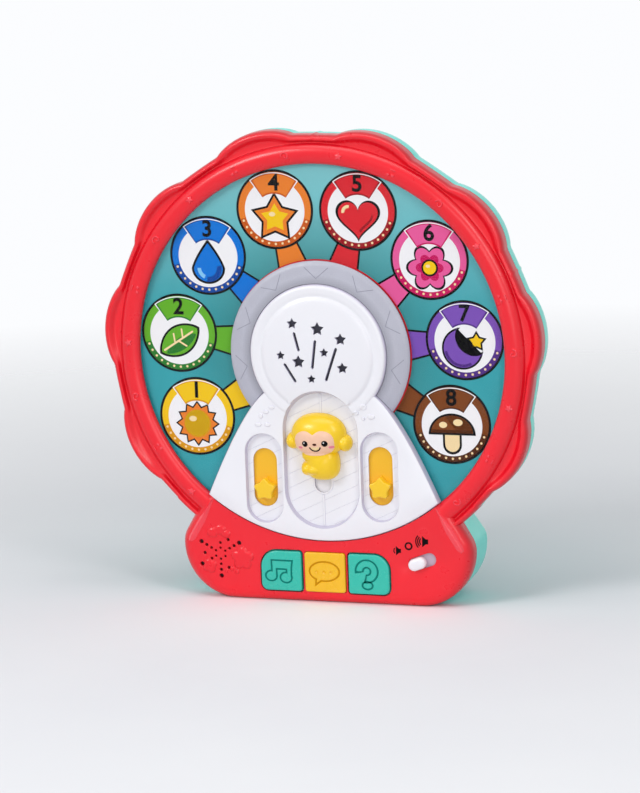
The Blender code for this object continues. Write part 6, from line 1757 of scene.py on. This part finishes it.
def artwork():
    """Badges, spokes and numbers, gathered into one thin piece per ink."""
    sheets = {name: [] for name in INKS}

    def put(name, points, level):
        """Lays a printed patch just in front of the level below it."""
        back = PANEL_FRONT - LAYER_GAP - (level - 1) * LAYER
        sheets[name].append(plate(scaled(points), back - LAYER + LAYER_GAP, back))

    for index, tone in enumerate(BADGE_TINTS):
        angle = badge_angle(index)
        inks = {"white": "white", "deep": "deep_" + tone, "tint": tone}
        x, z = in_millimetres(polar(angle, BADGE_R))
        put("black", turned(spoke_shape(SPOKE_LINE_HALF), (0, 0), -angle), 1)
        put(tone, turned(spoke_shape(SPOKE_HALF), (0, 0), -angle), 2)
        put("black", oval(x, z, BADGE_LINE_R, BADGE_LINE_R, BADGE_STEPS), 3)
        put(tone, oval(x, z, BADGE_TINT_R, BADGE_TINT_R, BADGE_STEPS), 4)
        put(inks["deep"], arc_band(x, z, BADGE_BAND_R, 1.7, 196, 344, 60), 5)
        put("white", oval(x, z - 0.6, BADGE_WHITE_R, BADGE_WHITE_R, BADGE_STEPS), 6)
        for step in range(DOT_COUNT):
            turn = math.radians(200 + 140 * step / (DOT_COUNT - 1))
            put("cream", oval(x + BADGE_BAND_R * math.cos(turn), z + BADGE_BAND_R * math.sin(turn),
                              BADGE_DOT_R, BADGE_DOT_R, 14), 6)
        for name, shape, values, level in MOTIFS[index]:
            put(name, moved(shape(*values), x, z), level + 7)
        for level, (name, radius, half, spread) in enumerate(NUMBER_BANDS, 7):
            put(inks[name], arc_band(x, z - NUMBER_BAND_DROP, radius, half, 90 - spread,
                                     90 + spread), level)
        sheets["black"].append(numeral(str(index + 1), x, z + NUMBER_RISE, NUMBER_SIZE, 10))
    inner, outer = HUB_LINE_R
    front, back = PANEL_FRONT - 9 * LAYER, PANEL_FRONT - 8.2 * LAYER
    sheets["red"].append(turned_solid((0, 0), [(inner, front), (outer, front), (outer, back),
                                               (inner, back)], HUB_LINE_STEPS,
                                      closed_loop=True))
    for name, pieces in sheets.items():
        if pieces:
            trim(pieces, "print_" + name, "printed_panel", INK_LOOKS[name])


# Reliefs and grooves

ROOT = 0.0002
TRACK_LINE_LEAN = math.radians(25.5)
TRACK_LINE_LONG = 124.0
TRACK_LINE_START = (-62.0, -66.0)
TRACK_LINE_PITCH = 8.3
TRACK_LINE_HALF = 0.24
TRACK_LINE_TAPER = 0.00018
TRACK_LINE_DEEP = 0.0001
TRACK_LINE_END = 0.0004
POCKET_LINE_END = 0.0003
LINE_ROOM = 0.0006
TRACK_TRIM_RISE = 0.00024
TRACK_TRIM_BAND = 0.0008
TRACK_TRIM_EDGE = 0.0012
PAINT_RISE = 0.00004
PAINT_SINK = 0.0001
PILLOW_STEPS = 5
DAB_LIFT = 0.0005
DAB_SINK = 0.0003
DABS = (
    (-37.4, -41.9, 2.0, 1.2), (-31.7, -41.7, 2.0, 1.2), (-35.6, -36.6, 1.3, 1.7),
    (-32.4, -34.2, 1.9, 1.1), (-28.8, -31.4, 1.8, 1.2), (26.6, -29.6, 2.2, 1.8),
    (22.2, -33.2, 1.6, 1.4), (31.1, -35.2, 2.3, 1.5), (26.4, -36.4, 1.1, 1.1),
)
CREASE_TOP = Vector((67.9, -87.9))
CREASE_FOOT = Vector((83.1, -113.0))
CREASE_SHARES = (1.0, 1.0, 0.85, 0.7, 0.55, 0.4, 0.25, 0.12)
MARK_COUNT = 18
MARK_START = -136
MARK_PITCH = 16
MARK_RISE = 0.70
FROST_LINE_HALF = 0.17
FROST_LINE_RISE = 0.00006
FROST_TIP_GAP = 0.0032
SCREEN_SHARE = 0.86
FACE_MIDDLE = -0.7
FACE_TILT = math.radians(2.2)
EYE_OUT = 5.9
EYE_R = 1.95
CHEEK_OUT = 9.2
SMILE_STEPS = 24


def pillow(points, rise, edge):
    """A soft raised patch on the stand's face; edge is how far its side slopes."""
    outline = scaled(points)
    levels = []
    for step in range(PILLOW_STEPS, -1, -1):
        turn = math.pi / 2 * step / PILLOW_STEPS
        levels.append((offset(outline, -edge * MM * step / PILLOW_STEPS),
                       BASE_FACE_DEPTH - rise * MM * math.sin(turn)))
    return stack(levels + [(outline, BASE_FACE_DEPTH + ROOT)])


def merged_band(shapes, outer_side, inner_side):
    """A band round the union of several shapes, from the (grow, depth) levels of its sides."""
    outer, inner = (merged([stack([(offset(scaled(points), grow), depth) for grow, depth in side])
                            for points in shapes]) for side in (outer_side, inner_side))
    cut(outer, inner)
    return outer


def icon_groove(shapes):
    """A V-shaped band round the union of several shapes, to cut into a button's face."""
    half, deep = ICON_HALF * MM, ICON_DEEP * MM
    spread = half * (1 + ROOT / deep)
    return merged_band(shapes, ((spread, BUTTON_FACE - ROOT), (half * 0.25, BUTTON_FACE + deep)),
                       ((-spread - half * 0.1, BUTTON_FACE - 2 * ROOT),
                        (half * 0.1, BUTTON_FACE + 1.3 * deep)))


def icon_line(shapes):
    """A thin band of painted shade that lies in the bottom of that groove."""
    half = ICON_LINE_HALF * MM
    return merged_band(shapes, ((half, BUTTON_FACE + 0.0002), (half, BUTTON_FACE + 0.0008)),
                       ((-half, BUTTON_FACE), (-half, BUTTON_FACE + 0.0010)))


def note_shapes(x, z):
    """A pair of notes under one beam."""
    return [moved(shape, x, z) for shape in (
        [(-4.9, 0.9), (6.9, 0.7), (7.6, 5.9), (-5.0, 5.9)],
        [(-4.9, -3.2), (-2.0, -3.2), (-2.0, 4.0), (-4.9, 4.0)],
        [(4.1, -3.8), (6.9, -3.8), (7.1, 4.2), (4.1, 4.2)],
        oval(-5.3, -3.4, 3.4, 3.0), oval(3.7, -4.2, 3.5, 3.0))]


def speech_shapes(x, z):
    return [oval(x - 0.3, z + 0.6, 9.0, 5.7, 72),
            [(x - 5.6, z - 7.3), (x - 0.6, z - 3.6), (x - 5.4, z - 1.8)]]


def question_hook(x, z, grow):
    """The hook of the question mark, its outline grown all round by grow."""
    lean = math.degrees(grow / 4.5)
    return arc_band(x - 1.2, z + 1.8, 4.5, 2.2 + grow, -100 - lean, 186 + lean, 60)


def question_dot(x, z, grow):
    return oval(x - 0.9, z - 6.6, 3.1 + grow, 2.3 + grow)


def button_icons(index, cap):
    """Cuts the button's icon into its cap as a soft outline with a darker line of painted shade in it.
    """
    x, z = in_millimetres(button_point(index))
    lines = []
    if index == 2:
        spread, flat = ICON_HALF * 1.3, ICON_HALF * 0.25
        groove = (spread, -0.2), (flat, ICON_DEEP), (-flat, ICON_DEEP), (-spread, -0.2)
        line = ((ICON_LINE_HALF, 0.2), (ICON_LINE_HALF, 0.8), (-ICON_LINE_HALF, 0.8),
                (-ICON_LINE_HALF, 0.2))
        for shape in (question_hook, question_dot):
            bands = [stack([(scaled(shape(x, z, grow)), BUTTON_FACE + depth * MM)
                            for grow, depth in levels], closed_loop=True)
                     for levels in (groove, line)]
            cut(cap, bands[0])
            lines.append(bands[1])
    else:
        shapes = speech_shapes(x, z) if index == 1 else note_shapes(x - 0.9, z + 0.2)
        cut(cap, icon_groove(shapes))
        lines.append(icon_line(shapes))
    if index == 1:
        cut(cap, gather([stack([
            (scaled(oval(x + shift, z + 0.3, 1.15, 1.15, 20)), BUTTON_FACE - 0.0002),
            (scaled(oval(x + shift, z + 0.3, 0.55, 0.55, 20)), BUTTON_FACE + 0.0005)])
            for shift in (-4.8, -0.5, 3.8)]))
    tone = "yellow" if index == 1 else "teal"
    body = ("music_button", "speech_button", "question_button")[index]
    # The lines are painted shade in the bottoms of the grooves.
    trim(lines, body + "_line", "button_" + tone, INK_LOOKS[tone + "_line"], body)


def track_lines():
    """Fine slanting lines in the floors of the track and the star pockets."""
    lean = TRACK_LINE_LEAN
    bars = []
    for step in range(-12, 6):
        x, z = TRACK_LINE_START[0], TRACK_LINE_START[1] + TRACK_LINE_PITCH * step
        bar = scaled(capsule(x, z, x + TRACK_LINE_LONG * math.cos(lean),
                             z + TRACK_LINE_LONG * math.sin(lean), TRACK_LINE_HALF, 3))
        bars.append(stack([(bar, TRACK_FLOOR - ROOT),
                           (offset(bar, -TRACK_LINE_TAPER), TRACK_FLOOR + TRACK_LINE_DEEP)]))
    lines = gather(bars)
    floors = [track_outline(-TRACK_DRAFT - TRACK_LINE_END)]
    floors += [stadium(slider_middle(sign), POCKET_HALF - POCKET_DRAFT - POCKET_LINE_END,
                       POCKET_LENGTH - 2 * POCKET_DRAFT, POCKET_SEGMENTS) for sign in (-1, 1)]
    keep_common(lines, gather([plate(outline, TRACK_FLOOR - LINE_ROOM, TRACK_FLOOR + LINE_ROOM)
                               for outline in floors]))
    cut(lines, plate(slot_outline(TRACK_TRIM_EDGE), TRACK_FLOOR - 1.5 * LINE_ROOM,
                     TRACK_FLOOR + 1.5 * LINE_ROOM))
    return lines


def track_trim():
    """Low rib along the middle of the track and a low rim round its slot."""
    inset = TRACK_DRAFT + ROOT
    rise, band, edge = TRACK_TRIM_RISE, TRACK_TRIM_BAND, TRACK_TRIM_EDGE
    top, foot = TRACK_FLOOR - rise, TRACK_FLOOR + 0.0001
    made = []
    for low, high in ((-TRACK_BOTTOM_DROP + inset, -SLOT_BOTTOM_DROP - edge),
                      (-SLOT_TOP_DROP + edge, -TRACK_TOP_DROP - inset)):
        bar = rectangle(-band, low, band, high)
        made.append(stack([(offset(bar, -rise), top), (bar, foot)]))
    inner, outer = slot_outline(0.0), slot_outline(edge)
    made.append(stack([(inner, foot), (inner, top), (offset(outer, -rise), top), (outer, foot)],
                      closed_loop=True))
    trim(made, "track_trim", "white_plastic")


def shoulder_relief(panel):
    """Faint soft dabs on both shoulders of the tower."""
    surface = surface_of(panel)
    made = [draped(oval(x, z, half_wide, half_tall, 28), (x, z), surface, DAB_LIFT, DAB_SINK, 8)
            for x, z, half_wide, half_tall in DABS]
    trim(made, "shoulder_relief", "white_plastic")


def crease_half(share, flank):
    """Half width of a shoulder's ridge, thin at its top and closed at both ends."""
    half = CREASE_HALF if flank > 0 else CREASE_INNER_HALF
    return half * min(1.0, 0.25 + 1.5 * share) * math.sqrt(min(1.0, (1.03 - share) / 0.12))


def shoulder_creases(shell):
    """A soft ridge down each shoulder of the stand."""
    surface = surface_of(shell)
    along = CREASE_FOOT - CREASE_TOP
    side = Vector((-along.y, along.x)).normalized()
    shares = [step / CREASE_STEPS for step in range(CREASE_STEPS + 1)]
    made = []
    for sign in (-1, 1):
        rings = []
        for share_out in CREASE_SHARES:
            lift = CREASE_RISE * (1 - share_out) if rings else -ROOT
            ring = []
            for flank, places in ((1, shares), (-1, shares[::-1])):
                for share in places:
                    half = crease_half(share, flank) * share_out
                    x, z = CREASE_TOP + along * share + side * flank * half
                    ring.append(surface(sign * x, z, lift))
            rings.append(ring)
        made.append(loft(rings))
    # The ridges take the lighter red, a painted highlight.
    trim(made, "shoulder_creases", "red_shell", LOOKS["red_painted_highlight"])


def base_relief():
    """Low soft ornaments beside the sound holes."""
    made = [pillow(petals(-50.6, -122.4, 7.2, 5, 0.26, 100, 0.3), 0.95, 1.7),
            pillow(petals(-70.9, -127.7, 4.5, 4, 0.20, 80, 0.5), 0.85, 1.5)]
    made += [pillow(oval(-58.0 + x, -133.6 + z, 1.3, 1.6, 24), 0.55, 0.9)
             for x, z in ((-2.8, 3.6), (0.6, 4.6), (3.7, 3.1))]
    made.append(merged([pillow(oval(x, z, size, size * 0.84), 0.85, 1.6) for x, z, size in (
        (-68.4, -107.6, 3.7), (-64.0, -105.9, 3.9), (-60.4, -108.2, 3.0))]))
    trim(made, "stand_relief", "red_shell")


def horn(x, z, size, waves):
    """Outlines of a small loudspeaker with waves."""
    body = ((0.80, 0.52), (0.30, 0.52), (-0.50, 1.20), (-0.50, -1.20), (0.30, -0.52),
            (0.80, -0.52))
    return [[(x + size * px, z + size * pz) for px, pz in body]] + [
        arc_band(x - size * 0.1, z, size * (0.95 + 0.42 * step), size * 0.13, 135, 225, 16)
        for step in range(waves)]


def volume_marks():
    """Painted marks above the switch: quiet, off and loud."""
    front, back = BASE_FACE_DEPTH - PAINT_RISE, BASE_FACE_DEPTH + PAINT_SINK
    marks = [plate(scaled(points), front, back)
             for points in horn(44.3, -113.8, 2.3, 1) + horn(60.4, -107.8, 2.75, 3)]
    marks.append(turned_solid((0.0508, -0.1108), [(0.0024, front), (0.0024, back),
                                                  (0.0014, back), (0.0014, front)], 40,
                              closed_loop=True))
    trim(marks, "volume_marks", "red_shell", INK_LOOKS["black"])


def raised(points, height):
    """Points in millimetres at the depth that height gives for their distance to the axis."""
    return [world_point(point, height(math.hypot(*point))) for point in scaled(points)]


def rim_marks():
    """Small stars, notes and curls along the half-round ring."""
    kinds = (((star_points(0, 0, 2.7), 0.45),),
             ((oval(-1.3, -1.6, 0.95, 0.8, 20), 0.18), (oval(1.5, -1.2, 0.95, 0.8, 20), 0.18),
              (arc_band(0.3, -4.2, 6.2, 0.34, 75, 103, 10), 0.18)),
             ((arc_band(0, 0, 2.0, 0.42, -30, 190, 24), 0.18),
              (arc_band(1.0, -0.3, 1.0, 0.36, 150, 330, 18), 0.18)))
    made = []
    for step in range(MARK_COUNT):
        angle = math.radians(MARK_START + MARK_PITCH * step)
        for points, edge in kinds[step % 3]:
            spun = turned(moved(points, 0, RING_MIDDLE_R / MM), (0, 0), -angle)
            made.append(loft([
                raised(offset(spun, -inset), lambda radius: ring_height(radius) - lift * MM)
                for inset, lift in ((edge, MARK_RISE), (edge * 0.4, MARK_RISE * 0.8), (0.0, 0.0),
                                    (0.0, -0.2))]))
    # The marks take the lighter red, a painted highlight.
    trim(made, "rim_marks", "red_shell", LOOKS["red_painted_highlight"])


def frost_lines():
    """Hairlines across the frosted ring that carry on the sides of the spokes and meet in
    points between them."""
    inner = DOME_R + FIT
    outer = FROST_OUTER_R - 2 * FROST_EDGE_ROUND

    def height(radius):
        share = min(1.0, max(0.0, (radius - inner) / (outer - inner)))
        return WINDOW_DEPTH - FIT - FROST_RISE - FROST_EDGE_DROP * (1 - share)

    made = []
    for index in range(BADGE_COUNT - 1):
        between = (badge_angle(index) + badge_angle(index + 1)) / 2
        for sign in (-1, 1):
            x, z = in_millimetres(polar(sign * BADGE_PITCH * 0.24, outer - 0.0002))
            line = turned(capsule(x, z, 0.0, (DOME_R + FROST_TIP_GAP) / MM, FROST_LINE_HALF, 4),
                          (0, 0), -between)
            made.append(loft([raised(line, lambda radius: height(radius) - lift)
                              for lift in (FROST_LINE_RISE, -PAINT_SINK)]))
    trim(made, "frost_lines", "frosted_plastic", INK_LOOKS["mist"])


def dome_screen():
    """Grey screen seen through the openings of the dome."""
    front = DOME_EDGE_DEPTH + DOME_WALL + 0.0001
    screen = peg((0, 0), DOME_DISC_R * SCREEN_SHARE, front, front + 0.0003, DOME_SEGMENTS)
    cut(screen, gather(dome_bosses(BOSS_R + FIT, front - OVERRUN, front + OVERRUN)),
        plate(track_outline(TRACK_BACKING + FIT), front - OVERRUN, front + OVERRUN))
    trim([screen], "dome_screen", "speaker_black", INK_LOOKS["screen"])


def draped(points, centre, surface, lift, sink=0.0002, rows=6):
    """A thin patch that follows the front of another piece; its outline is seen whole from
    its centre. It is crowned a little towards the middle."""
    front = []
    back = []
    for row in range(rows):
        share = 1 - row / rows
        rise = lift * (0.25 + 0.75 * math.sin(min(1.0, (1 - share) * 3) * math.pi / 2))
        for rings, away in ((front, rise), (back, -sink)):
            rings.append([surface(centre[0] + (x - centre[0]) * share,
                                  centre[1] + (z - centre[1]) * share, away)
                          for x, z in points])
    return net(surface(*centre, lift), front[::-1] + back, surface(*centre, -sink))


def face_patch(x, z):
    """The pale face: two round lobes above and a broad chin."""
    points = []
    for turn in (math.tau * step / 96 for step in range(96)):
        across, up = abs(math.cos(turn)), abs(math.sin(turn))
        reach = (across ** 2.7 + up ** 2.7) ** (-1 / 2.7)
        if math.sin(turn) > 0:
            reach -= 0.34 * math.exp(-((turn - math.pi / 2) / 0.26) ** 2)
        points.append((x + 11.9 * reach * math.cos(turn), z + 7.7 * reach * math.sin(turn)))
    return points


def monkey_face(knob):
    """Face patch, eyes, nose, cheeks and smile, all tilted a little as in the picture."""
    surface = surface_of(knob)
    z = -MONKEY_DROP / MM
    middle = FACE_MIDDLE
    pivot = (middle, z - 4.0)
    lean = FACE_TILT

    def put(name, points, centre, look, lift, rows=6):
        piece = draped(turned(points, pivot, lean), turned([centre], pivot, lean)[0], surface,
                       lift, rows=rows)
        trim([piece], name, "monkey_yellow", look, "monkey")

    def spot(name, x, height, half_wide, half_tall, segments, tone, lift):
        put(name, oval(x, height, half_wide, half_tall, segments), (x, height),
            INK_LOOKS[tone], lift)

    put("monkey_face", face_patch(middle - 0.9, z - 3.6), (middle - 0.9, z - 4.6),
        LOOKS["face_skin"], 0.0004, 10)
    for side, sign in (("left", -1), ("right", 1)):
        eye = middle + sign * EYE_OUT
        spot("monkey_eye_" + side, eye, z - 3.8, EYE_R, EYE_R, 32, "black", 0.0008)
        spot("monkey_glint_" + side, eye - 0.35, z - 3.2, 0.5, 0.5, 14, "white", 0.00095)
        spot("monkey_cheek_" + side, middle + sign * CHEEK_OUT, z - 6.2, 1.7, 0.9, 28, "blush", 0.0005)
    spot("monkey_nose", middle, z - 4.2, 1.35, 0.8, 24, "nose", 0.0008)
    mouth = [(x, z - 5.6 - up) for x, up in cap_shape(middle, 0, 3.0, 2.6, 24)]
    put("monkey_mouth", mouth[::-1], (middle, z - 6.6), INK_LOOKS["cream"], 0.0005)
    smile = turned(arc_band(middle, z - 5.0, 3.35, 0.34, 196, 344, SMILE_STEPS), pivot, lean)
    rings = [[surface(*outer, 0.0006), surface(*inner, 0.0006), surface(*inner, -ROOT),
              surface(*outer, -ROOT)]
             for outer, inner in zip(smile[:SMILE_STEPS + 1], smile[:SMILE_STEPS:-1])]
    trim([loft(rings)], "monkey_smile", "monkey_yellow", INK_LOOKS["black"], "monkey")


# Assembly

def dress_nodes():
    """Gives every solid that stays the look of its slot."""
    for node in frame["nodes"].values():
        for slot in node.material_slots:
            look = LOOKS[slot.material.name.split(".")[0]]
            slot.link = "OBJECT"
            slot.material = look


def build():
    dress_nodes()
    shell = front_shell()
    back_shell()
    light_ring()
    panel = tower_panel()
    knob = monkey_knob()
    for side, sign in (("left", -1), ("right", 1)):
        star_slider("star_slider_" + side, sign)
    for index, (name, slot) in enumerate((("button_music", "button_teal"),
                                          ("button_speech", "button_yellow"),
                                          ("button_question", "button_teal"))):
        sound_button(index, name, slot)
    volume_knob()
    battery_door()
    screws()
    artwork()
    rim_marks()
    shoulder_relief(panel)
    shoulder_creases(shell)
    track_trim()
    frost_lines()
    dome_screen()
    base_relief()
    volume_marks()
    monkey_face(knob)


build()


# Stage, light and camera

WORLD_LEVEL = 0.27
FLOOR_R = 0.95
FLOOR_FADE_R = 0.17
FLOOR_SEGMENTS = 96
FLOOR_RINGS = (0.12, 0.25, 0.4, 0.6, FLOOR_R)
CAMERA_AZIMUTH = math.radians(18.33)
CAMERA_ELEVATION = math.radians(11.04)
CAMERA_ROLL = math.radians(2.03)
FOCAL_PIXELS = 4000.0
FRAME_WIDTH = 640.0
FRAME_HEIGHT = 793.0
PIXELS_PER_MM = 1.742
WHEEL_CENTRE_PIXEL = (319.43, 353.74)
SENSOR_WIDTH = 36.0
VIEW_END = 20.0
WHEEL_CENTRE = Vector((0.0, FACE_Y, WHEEL_HEIGHT))
LAMPS = (
    ("key", (-0.85, -1.10, 1.00), (0.55, 0.45), 8.3),
    ("fill", (0.95, -0.85, 0.85), (0.24, 0.80), 3.8),
    ("top", (0.1, -0.3, 1.3), (1.2, 0.55), 4.8),
    ("front", (0.45, -1.60, 0.35), (0.70, 0.70), 3.4),
)


def round_floor():
    """A pale floor that keeps the shadow near the toy and fades into the white world."""
    floor = net((0.0, 0.0, 0.0), [[(x, y, 0.0) for x, y in circle((0, 0), radius, FLOOR_SEGMENTS)]
                                  for radius in FLOOR_RINGS])
    floor.name = "floor"
    nodes = new_material("floor_paper")
    tone = nodes.clouded(6.0, 3.0, srgb(244, 246, 251), srgb(248, 250, 254))
    nodes.fill(nodes.shader, Base_Color=tone, Roughness=0.9, Specular_IOR_Level=0.2)
    away = nodes.add("VectorMath", {"operation": "LENGTH"})
    nodes.feed(nodes.place(), away.inputs[0])
    fade = nodes.ramp(away.outputs["Value"], 0.0, 1.0, FLOOR_FADE_R, FLOOR_R - 0.02)
    clear = nodes.add("BsdfTransparent").outputs["BSDF"]
    floor.data.materials.append(nodes.output(nodes.mixed(fade, nodes.shader.outputs["BSDF"],
                                                         clear)))


def lamp(name, place, size, energy):
    light = bpy.data.lights.new(name, "AREA")
    light.shape = "RECTANGLE"
    light.size, light.size_y = size
    light.energy = energy
    holder = placed(light, name)
    holder.location = place
    toward = WHEEL_CENTRE - Vector(place)
    holder.rotation_euler = toward.to_track_quat("-Z", "Y").to_euler()


def studio():
    """A world that is white where it is seen and dim where it lights, and four lamps."""
    world = bpy.data.worlds.new("studio")
    bpy.context.scene.world = world
    nodes = Nodes(world, "Background")
    rays = nodes.add("LightPath").outputs
    direct = nodes.math("MAXIMUM", rays["Is Camera Ray"], rays["Is Transmission Ray"])
    seen = nodes.math("MAXIMUM", direct, rays["Is Glossy Ray"])
    nodes.fill(nodes.shader, Color=(0.97, 0.98, 1.0, 1.0),
               Strength=nodes.ramp(seen, WORLD_LEVEL, 1.0, 0.0, 1.0))
    for values in LAMPS:
        lamp(*values)


def photo_camera():
    data = bpy.data.cameras.new("photo_camera")
    camera = placed(data, "photo_camera")
    bpy.context.scene.camera = camera
    level = Vector((math.cos(CAMERA_AZIMUTH), math.sin(CAMERA_AZIMUTH), 0.0))
    cos_el = math.cos(CAMERA_ELEVATION)
    back = Vector((level.y * cos_el, -level.x * cos_el, math.sin(CAMERA_ELEVATION)))
    above = back.cross(level)
    right = level * math.cos(CAMERA_ROLL) - above * math.sin(CAMERA_ROLL)
    up = level * math.sin(CAMERA_ROLL) + above * math.cos(CAMERA_ROLL)
    turn = Matrix((right, up, back)).transposed().to_4x4()
    distance = FOCAL_PIXELS / PIXELS_PER_MM * MM
    camera.matrix_world = Matrix.Translation(WHEEL_CENTRE + back * distance) @ turn
    data.sensor_width = SENSOR_WIDTH
    data.lens = FOCAL_PIXELS / FRAME_HEIGHT * SENSOR_WIDTH
    data.shift_x = (FRAME_WIDTH / 2 - WHEEL_CENTRE_PIXEL[0]) / FRAME_HEIGHT
    data.shift_y = -(FRAME_HEIGHT / 2 - WHEEL_CENTRE_PIXEL[1]) / FRAME_HEIGHT
    data.clip_end = VIEW_END


round_floor()
studio()
photo_camera()
bpy.context.scene.view_settings.view_transform = "Standard"
